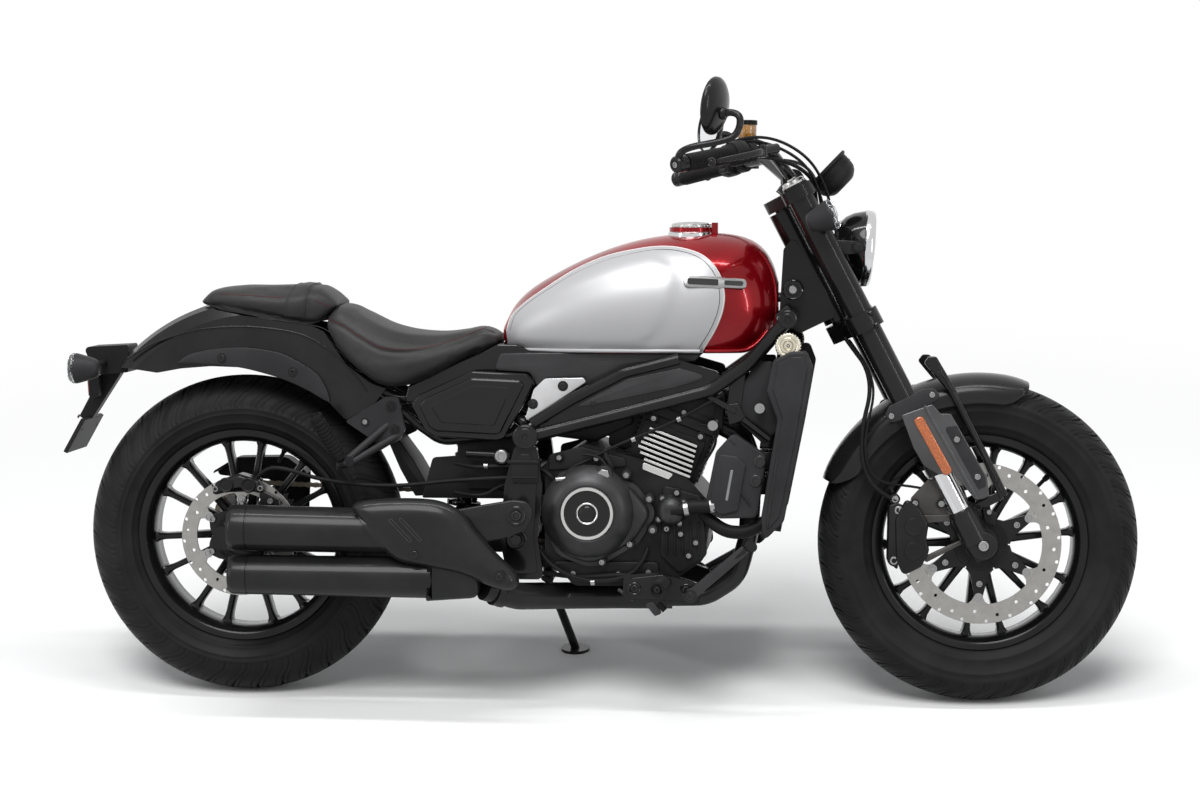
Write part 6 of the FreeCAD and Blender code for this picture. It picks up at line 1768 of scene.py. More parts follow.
def makeClutchCover():
    cover, rings, centre, emblem, bolts, bosses = blanks(6)
    half = engineForm["half"]
    outline = milli((-92, 455, 46), (-20, 477, 50), (66, 440, 40), (108, 386, 30), (70, 322, 45), (-20, 270, 60),
        (-104, 302, 50), (-112, 400, 50))
    slab(cover, outline, besideRight, half, half + 0.012, 0.0015, 2)
    inner = milli((-84, 446, 46), (-20, 468, 50), (60, 432, 40), (98, 386, 30), (63, 330, 45), (-20, 280, 60),
        (-96, 308, 50), (-103, 400, 50))
    slab(cover, inner, besideRight, half + 0.012, half + 0.036, 0.013, 5)
    facing = Vector((0, -1, 0))
    middle = engineForm["coverCentre"] + facing * half
    lathe(cover, milli((30, 94), (34.5, 91.5), (41, 86), (50, 78.5), (56.5, 70), (60, 62), (61.5, 56),
        (60.5, 53.5)), middle, facing, 96)
    lathe(rings, milli((60, 53.8), (62.5, 53), (64.5, 51.5), (65, 48), (64.5, 46), (61, 45)), middle, facing, 96)
    lathe(centre, milli((61.2, 45.2), (60.8, 42), (60, 30), (60.5, 22.5), (60, 20.5)), middle, facing, 96)
    lathe(emblem, milli((59.8, 22.2), (62.8, 21.5), (64, 20), (63.2, 18.5), (61.2, 18)), middle, facing, 64)
    lathe(centre, milli((61.2, 15), (64, 14.5), (65.5, 12), (66.2, 0)), middle, facing, 48)
    lathe(centre, milli((60, 20.6), (60.8, 18.2), (61, 15)), middle, facing, 64)
    for x, z in milli((-70, 449), (49, 464), (96, 415), (103, 351), (-112, 391), (-76, 311), (57, 321), (-1, 283),
            (-104, 345), (-40, 474)):
        toMiddle = Vector((-0.015 - x, 0, 0.372 - z)).normalized()
        spot = besideRight(x, z, half) + toMiddle * 0.004
        lathe(bosses, milli((0, 10.5), (24, 9.8), (26, 8.5), (26, 0)), spot, facing, 24)
        bolt(bolts, spot + facing * 0.026, facing, 0.0058, 0.0055)
    # two pipe bosses on top: the filler plug and the cable's clamp
    lathe(bosses, milli((0, 19), (40, 18), (42, 16.5), (42, 0)), besideRight(0.003, 0.462, half), facing, 36)
    lathe(bolts, milli((42, 12.5), (46.5, 12), (47.5, 10.5), (47.5, 0)), besideRight(0.003, 0.462, half), facing, 6)
    lathe(bosses, milli((0, 16), (34, 15), (36, 13.5), (36, 0)), besideRight(-0.076, 0.452, half), facing, 36)
    rod(bolts, besideRight(-0.092, 0.452, half + 0.041), besideRight(-0.06, 0.455, half + 0.041), 0.005, 0.005, 16)
    addPiece("clutch_cover", cover, "coverGrey", replaced=["engine_covers"], sharp=32)
    addPiece("clutch_ring", rings, "polished", sharp=32)
    addPiece("clutch_centre", centre, "blackGloss", sharp=32)
    addPiece("clutch_boss", emblem, "polished", sharp=32)
    addPiece("cover_bosses", bosses, "coverGrey", sharp=32)
    addPiece("cover_bolts", bolts, "boltSteel")

    # the generator's cover on the left
    cover, bolts = bmesh.new(), bmesh.new()
    outline = milli((-92, 455, 40), (-10, 476, 40), (70, 440, 40), (92, 360, 30), (30, 284, 50), (-80, 292, 50))
    slab(cover, outline, besideLeft, half, half + 0.026, 0.008, 4)
    facing = Vector((0, 1, 0))
    lathe(cover, milli((22, 83), (28, 80), (36, 73), (43, 64), (47, 52), (48, 46), (46, 44), (46, 20), (49, 18),
        (49, 0)), Vector((-0.01, half, 0.378)), facing, 96)
    for x, z in milli((-84, 444), (-12, 468), (62, 434), (84, 366), (26, 296), (-74, 302)):
        bolt(bolts, besideLeft(x, z, half + 0.0245), facing, 0.0055, 0.006)
    addPiece("generator_cover", cover, "coverGrey", sharp=32)
    addPiece("generator_bolts", bolts, "boltSteel")


def makePump():
    # the water pump's body, its cover screws and the hose to the coolant tank
    body, bolts = bmesh.new(), bmesh.new()
    centre = engineForm["coverCentre"] + Vector((0.163, -engineForm["half"], 0.002))
    facing = Vector((0, -1, 0))
    lathe(body, milli((0, 31), (10, 31), (13, 29), (20, 28), (26, 24), (31, 17), (33, 10),
        (33, 0)), centre, facing, 48)
    for turn in range(4):
        angle = math.radians(35 + 90 * turn)
        spot = centre + Vector((math.cos(angle) * 0.03, 0, math.sin(angle) * 0.03))
        lathe(body, milli((0, 7.5), (12.5, 7.2), (12.5, 0)), spot, facing, 18)
        bolt(bolts, spot + facing * 0.0125, facing, 0.0045, 0.004)
    route = [centre + mm(0, -22, 0), centre + mm(18, -22, 2), centre + mm(40, -22, 10), centre + mm(66, -23, 10),
        centre + mm(88, -24, 12)]
    addHose("pump_hose", route, 0.0135, "rubber")
    for spot in (centre + mm(26, -22, 4), centre + mm(78, -23.5, 11)):
        lathe(bolts, milli((0, 14), (0, 15), (9, 15), (9, 14)), spot, mm(40, 0, 8), 32)
    addPiece("pump_body", body, "coverGrey", sharp=32)
    addPiece("pump_fixings", bolts, "boltSteel")
    # the lower hose that runs under the coolant tank to the radiator
    addHose("lower_coolant_hose", [mm(196, -118, 384), mm(226, -128, 356), mm(262, -130, 345), mm(300, -128, 352),
        mm(330, -120, 375)], 0.0135, "rubber")


def makeCylinder():
    # bright fins on both flanks, their black surround, and the screws about them
    fins, block, bolts, covers = blanks(4)
    half = engineForm["cylinderHalf"]
    for side in (-1, 1):
        spot = onCylinder(side)
        for fin in range(engineForm["finCount"]):
            low = engineForm["finFirst"] + fin * engineForm["finPitch"]
            back = -0.058 + 0.0015 * fin
            front = 0.064 - 0.002 * fin if fin > 1 else 0.04 + 0.012 * fin
            slab(fins, oblong(back, front, low, low + 0.0052, 0.001), spot, half + 0.03, half + 0.0335, 0.0011, 2)
            slab(block, oblong(back, front, low, low + 0.005, 0.001), spot, half, half + 0.0302, 0)
        slab(fins, milli((-20, 40, 4), (36, 40, 4), (40, 54, 4), (-26, 54, 4)), spot, half + 0.008,
            half + 0.0315, 0.0015, 2)
        slab(block, milli((-72, -10, 0), (74, -10, 0), (74, 149, 4), (-72, 149, 4)), spot,
            half - 0.01, half + 0.002, 0.002)
        slab(block, oblong(-0.062, 0.068, 0.046, 0.134, 0.006), spot, half, half + 0.0065, 0.002)
        for back, rise in milli((52, 141), (-48, 141), (64, 22), (-62, 18)):
            lathe(block, milli((0, 9.5), (10, 9), (10, 0)), spot(back, rise, half), (0, side, 0), 20)
            bolt(bolts, spot(back, rise, half + 0.01), (0, side, 0), 0.0055, 0.005)
        # the head: a cam cover with a rounded rim, and a screwed end plate
        slab(covers, milli((-84, 168, 4), (80, 168, 4), (66, 243, 18), (-66, 243, 18)), spot, 0.094, 0.104, 0.004, 3)
        slab(covers, milli((-60, 182, 6), (56, 182, 6), (48, 230, 12), (-50, 230, 12)), spot, 0.104, 0.1075, 0.002, 2)
        for back, rise in milli((-66, 180), (64, 180), (-54, 236), (54, 236), (0, 174)):
            bolt(bolts, spot(back, rise, 0.104), (0, side, 0), 0.005, 0.005)
    addPiece("cylinder_body", block, "engineBlack", replaced=["cylinder"], sharp=32)
    addPiece("cylinder_fins", fins, "polished", sharp=32)
    addPiece("cam_covers", covers, "engineBlack", sharp=32)
    addPiece("engine_screws", bolts, "boltSteel")
    # deep ribs across the barrel, seen from the front and behind
    ribs = bmesh.new()
    for fin in range(9):
        low = 0.052 + fin * 0.0104
        slab(ribs, oblong(-0.076, 0.078, low, low + 0.004, 0.001), onCylinder(1), -0.09, 0.09, 0)
    addPiece("barrel_ribs", ribs, "engineBlack")


def makeCrankcase():
    # webs on both flanks, and screws and small fittings that break up the case's right flank
    webs, bolts, boxes = bmesh.new(), bmesh.new(), bmesh.new()
    half = engineForm["half"]
    for rows, far in milli((((118, 440, 10), (196, 418, 14), (206, 300, 14), (150, 262, 14), (112, 300, 10)), 127.5),
            (((-114, 286, 10), (110, 286, 10), (110, 246, 10), (-60, 246, 14)), 130),
            (((-112, 466, 8), (-110, 498, 10), (-44, 515, 10), (44, 492, 8), (46, 474, 8)), 126)):
        slab(webs, rows, besideRight, half - 0.002, far, 0.003, 3)
        slab(webs, rows, besideLeft, half - 0.002, far, 0.003, 3)
    for step in range(5):
        x = 0.124 + step * 0.016
        slab(webs, oblong(x, x + 0.004, 0.302, 0.366), besideRight, half + 0.006, half + 0.013, 0.001, 1)
    for x, z in milli((126, 353), (154, 343), (184, 326), (170, 300), (146, 425), (190, 405), (-88, 493), (-14, 492),
            (30, 262), (-60, 262), (90, 266)):
        lathe(webs, milli((0, 9.2), (11.5, 8.6), (12.5, 7.6), (12.5, 0)), besideRight(x, z, half), (0, -1, 0), 20)
        bolt(bolts, besideRight(x, z, half + 0.0125), (0, -1, 0), 0.0052, 0.005)
    # the relay box behind the engine, its bracket, and the throttle body between the rails
    slab(boxes, milli((-186, 489, 4), (-128, 489, 4), (-128, 441, 5), (-180, 441, 5)),
        besideRight, 0.1, 0.1466, 0.003, 2)
    slab(boxes, oblong(-0.19, -0.126, 0.4875, 0.481, 0.002), besideRight, 0.1, 0.1485, 0.0015, 2)
    slab(boxes, oblong(-0.184, -0.13, 0.4555, 0.4525, 0.001), besideRight, 0.146, 0.148, 0.0008, 1)
    slab(boxes, milli((8, 560, 10), (92, 590, 12), (118, 540, 10), (60, 500, 10), (4, 512, 10)),
        besideRight, -0.06, 0.07, 0.006, 2)
    slab(boxes, milli((-110, 600, 10), (10, 628, 12), (60, 560, 10), (-20, 520, 10), (-104, 530, 10)), besideRight,
        -0.066, 0.078, 0.008, 2)
    lathe(boxes, milli((0, 34), (50, 34), (52, 32)), mm(0, 0, 560), mm(60, 0, -12), 40)
    addPiece("case_webs", webs, "engineBlack", sharp=32)
    addPiece("case_screws", bolts, "boltSteel")
    addPiece("intake_boxes", boxes, "matteBlack", sharp=32)


def makeWires():
    # loom and cables on the right flank: fixed at both ends and held by clips
    routes = (
        ("clutch_cable_low", 0.0032, "rubber", milli((238, -128, 622), (190, -130, 592), (110, -131, 552),
            (20, -132, 516), (-30, -133, 488), (-66, -150, 474), (-74, -160, 456))),
        ("breather_pipe", 0.0042, "rubber", milli((-150, -112, 350), (-128, -134, 300), (-80, -142, 262),
            (-20, -144, 246), (50, -144, 256), (82, -140, 290), (88, -128, 314))),
        ("loom_low", 0.0048, "rubber", milli((-140, -104, 262), (-60, -134, 252), (30, -140, 262),
            (84, -136, 258), (120, -128, 230))),
        ("switch_lead", 0.0026, "rubber", milli((-40, -138, 500), (-16, -142, 500), (6, -150, 486), (10, -158, 470))),
        ("sensor_lead", 0.0026, "rubber", milli((190, -122, 560), (214, -126, 560), (226, -124, 530),
            (212, -118, 500), (190, -116, 470))),
        ("loom_rear", 0.0044, "rubber", milli((-128, -118, 470), (-112, -130, 462),
            (-98, -134, 450), (-90, -128, 430))),
        ("loom_stay", 0.004, "rubber", milli((-186, -120, 474), (-222, -122, 474),
            (-260, -118, 470), (-300, -104, 478))),
        ("drain_pipe", 0.0036, "rubber", milli((-190, -120, 440), (-214, -124, 432), (-232, -124, 418),
            (-262, -122, 414), (-300, -112, 420))),
    )
    for name, radius, finishName, route in routes:
        addHose(name, route, radius, finishName)
    clips = bmesh.new()
    for x, y, z, dx, dz in milli((150, -131, 571, 1000, 450), (60, -132, 530, 1000, 400), (-20, -144, 246, 1000, 100),
            (-236, -122, 474, 1000, 0)):
        direction = Vector((dx, 0, dz)).normalized()
        lathe(clips, milli((-4, 0), (-4, 6.2), (4, 6.2), (4, 0)), Vector((x, y, z)), direction, 16)
    for centre in (mm(310, -136, 595), mm(217, -118, 559)):
        lathe(clips, milli((0, 0), (0, 11), (16, 10), (16, 0)), centre, (0, -1, 0), 20)
    addPiece("loom_clips", clips, "steel")


makeClutchCover()
makePump()
makeCylinder()
makeCrankcase()
makeWires()
print("stage: engine")


# ---- radiator and coolant tank
def makeCooling():
    core, rim, tank, slot, bolts, covers = blanks(6)
    # the core leans with the down tubes: louvred fins between flat tubes, in a pressed frame
    low, high = mm(336, 0, 353), mm(379, 0, 688)
    rise = (high - low).normalized()
    ahead = Vector((rise.z, 0, -rise.x))

    def onCore(u, v, w):
        return low + rise * v + ahead * w + Vector((0, u, 0))

    tall = (high - low).length
    for row in range(34):
        v = 0.014 + row * (tall - 0.028) / 33
        slab(core, oblong(-0.14, 0.14, v - 0.0014, v + 0.0014), onCore, -0.014, 0.0165, 0)
    for column in range(70):
        u = -0.138 + column * 0.004
        slab(core, oblong(u, u + 0.0006, 0.012, tall - 0.012), onCore, -0.012, 0.0145, 0)
    for first, last in (((-0.148, 0), (0.148, 0.014)), ((-0.148, tall - 0.014), (0.148, tall)),
            ((-0.148, 0), (-0.136, tall)), ((0.136, 0), (0.148, tall))):
        slab(rim, oblong(first[0], last[0], first[1], last[1], 0.002), onCore, -0.0165, 0.0165, 0.0015)
    addPiece("radiator_core", core, "coreFins", replaced=["radiator"])
    addPiece("radiator_frame", rim, "blackSatin")
    for spot in (besideRight, besideLeft):
        outline = milli((324, 629, 8), (336, 690, 14), (369, 707, 14), (402, 709, 12), (415, 675, 14), (392, 543, 0),
            (359, 374, 12), (317, 330, 10), (314, 381, 0), (345, 573, 20))
        slab(covers, outline, spot, 0.148, 0.168, 0.005, 4)
        slab(covers, milli((336, 632, 8), (346, 684, 12), (374, 698, 12), (396, 699, 10), (404, 674, 12),
            (383, 546, 0), (351, 384, 8), (324, 352, 8), (325, 386, 0), (355, 575, 20)), spot,
            0.166, 0.1715, 0.0035, 3)
    outline = milli((258, 546, 14), (325, 501, 14), (306, 378, 14), (233, 376, 14), (201, 393, 12), (224, 508, 14))
    slab(tank, outline, besideRight, 0.128, 0.152, 0.004, 3)
    slab(tank, milli((232, 505, 8), (266, 500, 10), (284, 484, 8), (268, 392, 10), (234, 384, 10), (212, 398, 10)),
        besideRight, 0.15, 0.1575, 0.003, 3)
    slab(tank, milli((250, 532, 2), (262, 522, 2), (264, 526, 2), (253, 536, 2)), besideRight, 0.151, 0.1535, 0.001, 1)
    for step in range(3):
        x, z = 0.268 + step * 0.006, 0.437 - step * 0.008
        slab(tank, [(x, z, 0.001), (x + 0.003, z + 0.001, 0.001), (x + 0.014, z - 0.018, 0.001),
            (x + 0.011, z - 0.019, 0.001)], besideRight, 0.1515, 0.156, 0.001, 1)
    slab(slot, milli((253.5, 474, 2.8), (259, 473.5, 2.8), (248.5, 412.5, 2.8), (243, 413, 2.8)), besideRight,
        0.1565, 0.1583, 0.0006, 1)
    for x, z in ((0.311, 0.49), (0.303, 0.452)):
        lathe(bolts, milli((0, 12.5), (4, 12.2), (5.5, 10), (5.5, 7), (3, 6.5), (3, 0)),
            besideRight(x, z, 0.15), (0, -1, 0), 28)
    addPiece("radiator_shrouds", covers, "charcoal", replaced=["radiator_covers"], sharp=30)
    addPiece("coolant_tank", tank, "charcoal", sharp=30)
    addPiece("coolant_slot", slot, "paleSlot")
    addPiece("coolant_bolts", bolts, "boltBlack", sharp=30)


makeCooling()
print("stage: cooling")


# ---- exhaust
exhaustForm = {"side": -0.19, "front": -0.33, "rear": -0.742, "shieldNear": -0.2363}


def makeExhaust():
    cans, box, bracket, shield, bolts, guard = blanks(6)
    form = exhaustForm
    rearward = Vector((-1, 0, 0))
    for z0, z1, r0, r1, pipe in milli((258, 260, 41, 39, 26), (348, 354, 44, 46, 26)):
        start = Vector((form["front"], form["side"], z0))
        end = Vector((form["rear"], form["side"], z1))
        run = end - start
        reach = run.length

        def radius(share):
            return r0 + (r1 - r0) * share

        rows = [(0, 0), (0, r0 - 0.004), (0.004, r0)]
        rows += [(reach * 0.9, radius(0.9)), (reach * 0.902, radius(0.9) - 0.0012),
            (reach * 0.907, radius(0.9) - 0.0012), (reach * 0.909, radius(0.91)), (reach - 0.012, r1),
            (reach - 0.006, r1 - 0.0008), (reach - 0.001, r1 - 0.004), (reach, r1 - 0.008),
            (reach - 0.002, pipe + 0.004), (reach - 0.001, pipe + 0.0015), (reach - 0.001, pipe),
            (reach - 0.056, pipe - 0.001), (reach - 0.058, 0)]
        lathe(cans, rows, start, run, 72)
        for turn in range(5):
            angle = math.radians(72 * turn + 20)
            spot = end + Vector((0.001, math.cos(angle) * (pipe + r1) / 2, math.sin(angle) * (pipe + r1) / 2))
            bolt(bolts, spot, rearward, 0.003, 0.003)
    # the collector box with its rounded top and the black cover plate ahead of it
    slab(box, milli((-238, 222, 20), (-238, 336, 40), (-300, 392, 30), (-344, 394, 4), (-344, 214, 4)), besideRight,
        0.152, 0.228, 0.014, 5)
    slab(box, milli((-238, 222, 20), (-238, 336, 40), (-300, 392, 30), (-344, 394, 4), (-344, 214, 4)), besideRight,
        0.228 - 0.062, 0.152, 0, 1)
    addPiece("muffler_cans", cans, "cansBlack", replaced=["mufflers"], sharp=32)
    addPiece("muffler_box", box, "cansBlack", sharp=32)

    # the heat shield: a crowned sheet that hugs the upper can and sweeps down to the clamp
    outline = smoothCurve(milli((-486, 402), (-455, 413), (-376, 417), (-315, 412), (-273, 391), (-241, 352),
        (-202, 309), (-168, 277), (-160, 255), (-178, 240), (-218, 249), (-273, 271), (-344, 285), (-402, 299),
        (-441, 336), (-472, 376)), 128, True)

    rimOut, crownRise, rollWidth = 0.219, 0.026, 0.036
    canHeight, canOut, hugRadius, sweepIn = 0.351, 0.19, 0.049, 0.03

    def shieldSpot(spot, lift=0):
        t = min(edgeDistance(outline, spot) / rollWidth, 1)
        out = rimOut + crownRise * math.sqrt(max(1 - (1 - t) ** 2, 0))
        hug = hugRadius ** 2 - (spot.y - canHeight) ** 2
        if hug > 0:
            out = max(out, canOut + math.sqrt(hug) - sweepIn * min(max((spot.x + 0.3) / 0.05, 0), 1))
        return Vector((spot.x, -out - lift, spot.y))

    quilt(shield, columnsOf(outline, 90, 26, shieldSpot))
    bmesh.ops.remove_doubles(shield, verts=shield.verts, dist=0.0002)
    slab(bracket, milli((-305, 392, 6), (-236, 405, 10), (-170, 416.5, 14), (-140, 413, 20), (-130, 386, 20),
        (-146, 358, 20), (-180, 342, 10), (-240, 330, 10)), besideRight, 0.208, 0.2165, 0.0035, 3)
    addPiece("shield_bracket", bracket, "cansBlack", sharp=32)
    piece = addPiece("exhaust_shield", shield, "cansBlack", replaced=["heat_shield"], sharp=40)
    wall = piece.modifiers.new("wall", "SOLIDIFY")
    wall.thickness = 0.0036
    wall.offset = 0
    rim = piece.modifiers.new("rim", "BEVEL")
    rim.width = 0.0012
    rim.segments = 2
    rim.limit_method = "ANGLE"
    rim.angle_limit = math.radians(60)

    for wide, lift, finishName, name in ((0.0036, 0.0026, "gunmetal", "rims"),
            (0.0024, 0.0031, "blackGloss", "slots")):
        slots = bmesh.new()
        for x, z in ((-0.408, 0.377), (-0.388, 0.379)):
            start, run = Vector((x, z)), mm(40, -42).normalized()
            across = Vector((-run.y, run.x))
            ends = ((-wide, 0.1), (-wide * 0.7, 0.7), (0, 1), (0.018, 1), (0.036, 1), (0.054, 1),
                (0.054 + wide * 0.7, 0.7), (0.054 + wide, 0.1))
            quilt(slots, [[shieldSpot(start + run * reach + across * off * wide * share, lift) for off in (-1, -0.33,
                0.33, 1)] for reach, share in ends])
        addPiece("shield_" + name, slots, finishName)
    for x, z, radius in milli((-362, 311, 6.8), (-194, 269, 6.8)):
        spot = shieldSpot(Vector((x, z)), 0.0015)
        lathe(guard, [(-0.006, radius * 1.9), (0.0016, radius * 1.75), (0.0016, radius)], spot, (0, -1, 0), 28)
        bolt(bolts, spot - mm(0, 1, 0), (0, -1, 0), radius, 0.0042)
    spot = mm(-164, -216, 386)
    lathe(guard, milli((0, 19.5), (4.5, 19), (6, 16.5), (4.5, 13.5), (4.5, 0)), spot, (0, -1, 0), 40)
    bolt(bolts, spot - mm(0, 4.5, 0), (0, -1, 0), 0.0095, 0.004)
    # the clamp that joins the collector to the box, and the flange nuts at the head
    clampSpot = mm(-205, -166, 228.5)
    direction = mm(-62, -44, 24)
    lathe(guard, milli((-12, 27.2), (-12, 30), (-4, 30.2), (-3, 29), (3, 29), (4, 30.2), (12, 30), (12, 27.2)),
        clampSpot, direction, 48)
    for y in (-0.044, 0.044):
        lathe(guard, milli((0, 19.2), (0, 30), (6, 30), (7, 28.5), (7, 19.2)),
            Vector((0.2205, y, 0.5568)), mm(46, 0, -24), 36)
        for side in (-1, 1):
            bolt(bolts, Vector((0.226, y + side * 0.025, 0.554)), mm(46, 0, -24), 0.0045, 0.008, True)
    addPiece("exhaust_rings", guard, "blackSatin", sharp=32)
    addPiece("exhaust_bolts", bolts, "boltBlack")


makeExhaust()
print("stage: exhaust")


# ---- wheels
wheelForm = {
    "front": {"rimHalf": 0.05, "right": 0.06, "left": 0.06, "firstPair": 17},
    "rear": {"rimHalf": 0.057, "right": 0.07, "left": 0.066, "firstPair": 40},
    "pairs": 7, "pairAngle": 22, "flange": 0.216, "bead": 0.205, "hub": 0.036, "bore": 0.0101,
}
# along a spoke: distance from the axle, half width, half depth; both feet flare
spokeRows = milli((30, 15, 30), (40, 11.8, 25), (52, 8.6, 22.5), (80, 7.4, 21.5), (130, 6.4, 20), (168, 6, 19),
    (180, 7.2, 19), (188, 10.5, 19.5), (194, 16.5, 20.5))


def makeWheel(which, centre, body):
    form = wheelForm[which]
    half, flange, bead, hub = form["rimHalf"], wheelForm["flange"], wheelForm["bead"], wheelForm["hub"]
    bm = bmesh.new()
    rim = [(-half, flange - 0.0015), (0.0015 - half, flange), (0.0055 - half, flange - 0.001),
        (0.006 - half, flange - 0.003), (0.006 - half, bead), (half - 0.006, bead), (half - 0.006, flange - 0.003),
        (half - 0.0055, flange - 0.001), (half - 0.0015, flange), (half, flange - 0.0015),
        (half - 0.0005, bead - 0.001), (half - 0.003, bead - 0.006), (half - 0.012, bead - 0.011),
        (half - 0.018, bead - 0.015), (0.018 - half, bead - 0.015), (0.012 - half, bead - 0.011),
        (0.003 - half, bead - 0.006), (0.0005 - half, bead - 0.001), (-half, flange - 0.0015)]
    lathe(bm, rim, centre, (0, 1, 0), 144)
    right, left = form["right"], form["left"]
    rows = [(-right, wheelForm["bore"]), (-right, hub - 0.002), (0.002 - right, hub), (-0.024, hub),
        (-0.016, hub + 0.007), (0.016, hub + 0.007), (0.024, hub), (left - 0.002, hub), (left, hub - 0.002),
        (left, wheelForm["bore"]), (-right, wheelForm["bore"])]
    lathe(bm, rows, centre, (0, 1, 0), 72)
    for pair in range(wheelForm["pairs"]):
        for lean in (-0.5, 0.5):
            angle = math.radians(form["firstPair"] + pair * 360 / wheelForm["pairs"] + lean * wheelForm["pairAngle"])
            out = Vector((math.cos(angle), 0, math.sin(angle)))
            beside = Vector((-out.z, 0, out.x))
            loops = []
            for reach, wide, deep in spokeRows:
                corners = [(-wide, -deep * 0.8), (-wide * 0.55, -deep), (wide * 0.55, -deep), (wide, -deep * 0.8),
                    (wide, deep * 0.8), (wide * 0.55, deep), (-wide * 0.55, deep), (-wide, deep * 0.8)]
                loops.append([bm.verts.new(centre + out * reach + beside * u + Vector((0, v, 0))) for u, v in corners])
            for first, second in zip(loops, loops[1:]):
                for i in range(8):
                    bm.faces.new((first[i], first[(i + 1) % 8], second[(i + 1) % 8], second[i]))
    addPiece(which + "_wheel_casting", bm, "wheelBlack", body, [which + "_wheel_rim"], 40)
    bm = bmesh.new()
    angle = math.radians(form["firstPair"] + 25.7)
    out = Vector((math.cos(angle), 0, math.sin(angle)))
    spot = centre + out * 0.192
    rod(bm, spot, spot - out * 0.012, 0.0065, 0.0055, 20)
    rod(bm, spot - out * 0.01, spot - out * 0.034 - mm(0, 10, 0), 0.0042, 0.0038, 16)
    addPiece(which + "_valve", bm, "rubber", body)
    # the slotted ring that the speed sensor reads, beside the hub
    ring = bmesh.new()
    side = discForm[which]["side"] - 0.0042
    lathe(ring, milli((0, 36.5), (-1.4, 37), (-1.4, 39.8), (0, 40), (0.4, 36.5)),
        centre + Vector((0, side, 0)), (0, 1, 0), 90)
    lathe(ring, milli((0, 48.8), (-1.4, 49), (-1.4, 53.5), (0, 54), (0.4, 48.8)),
        centre + Vector((0, side, 0)), (0, 1, 0), 90)
    for tooth in range(45):
        turn = 2 * math.pi * tooth / 45
        out = Vector((math.cos(turn), 0, math.sin(turn)))
        beside = Vector((-out.z, 0, out.x))
        slab(ring, milli((39.5, -1.4, 0), (49.2, -1.9, 0), (49.2, 1.9, 0), (39.5, 1.4, 0)),
            lambda u, v, w: centre + out * u + beside * v + Vector((0, w, 0)), side, side - 0.0012, 0)
    addPiece(which + "_sensor_ring", ring, "engineBlack", body, sharp=30)


makeWheel("front", machine["frontAxle"], "front_wheel")
makeWheel("rear", machine["rearAxle"], "rear_wheel")
print("stage: wheels")


# ---- chain and sprocket
chainForm = {"side": 0.09, "teeth": 36, "pitchRadius": 0.0925, "drive": mm(-70, 0, 350),
             "driveRadius": 0.0412, "plateHalf": 0.005}


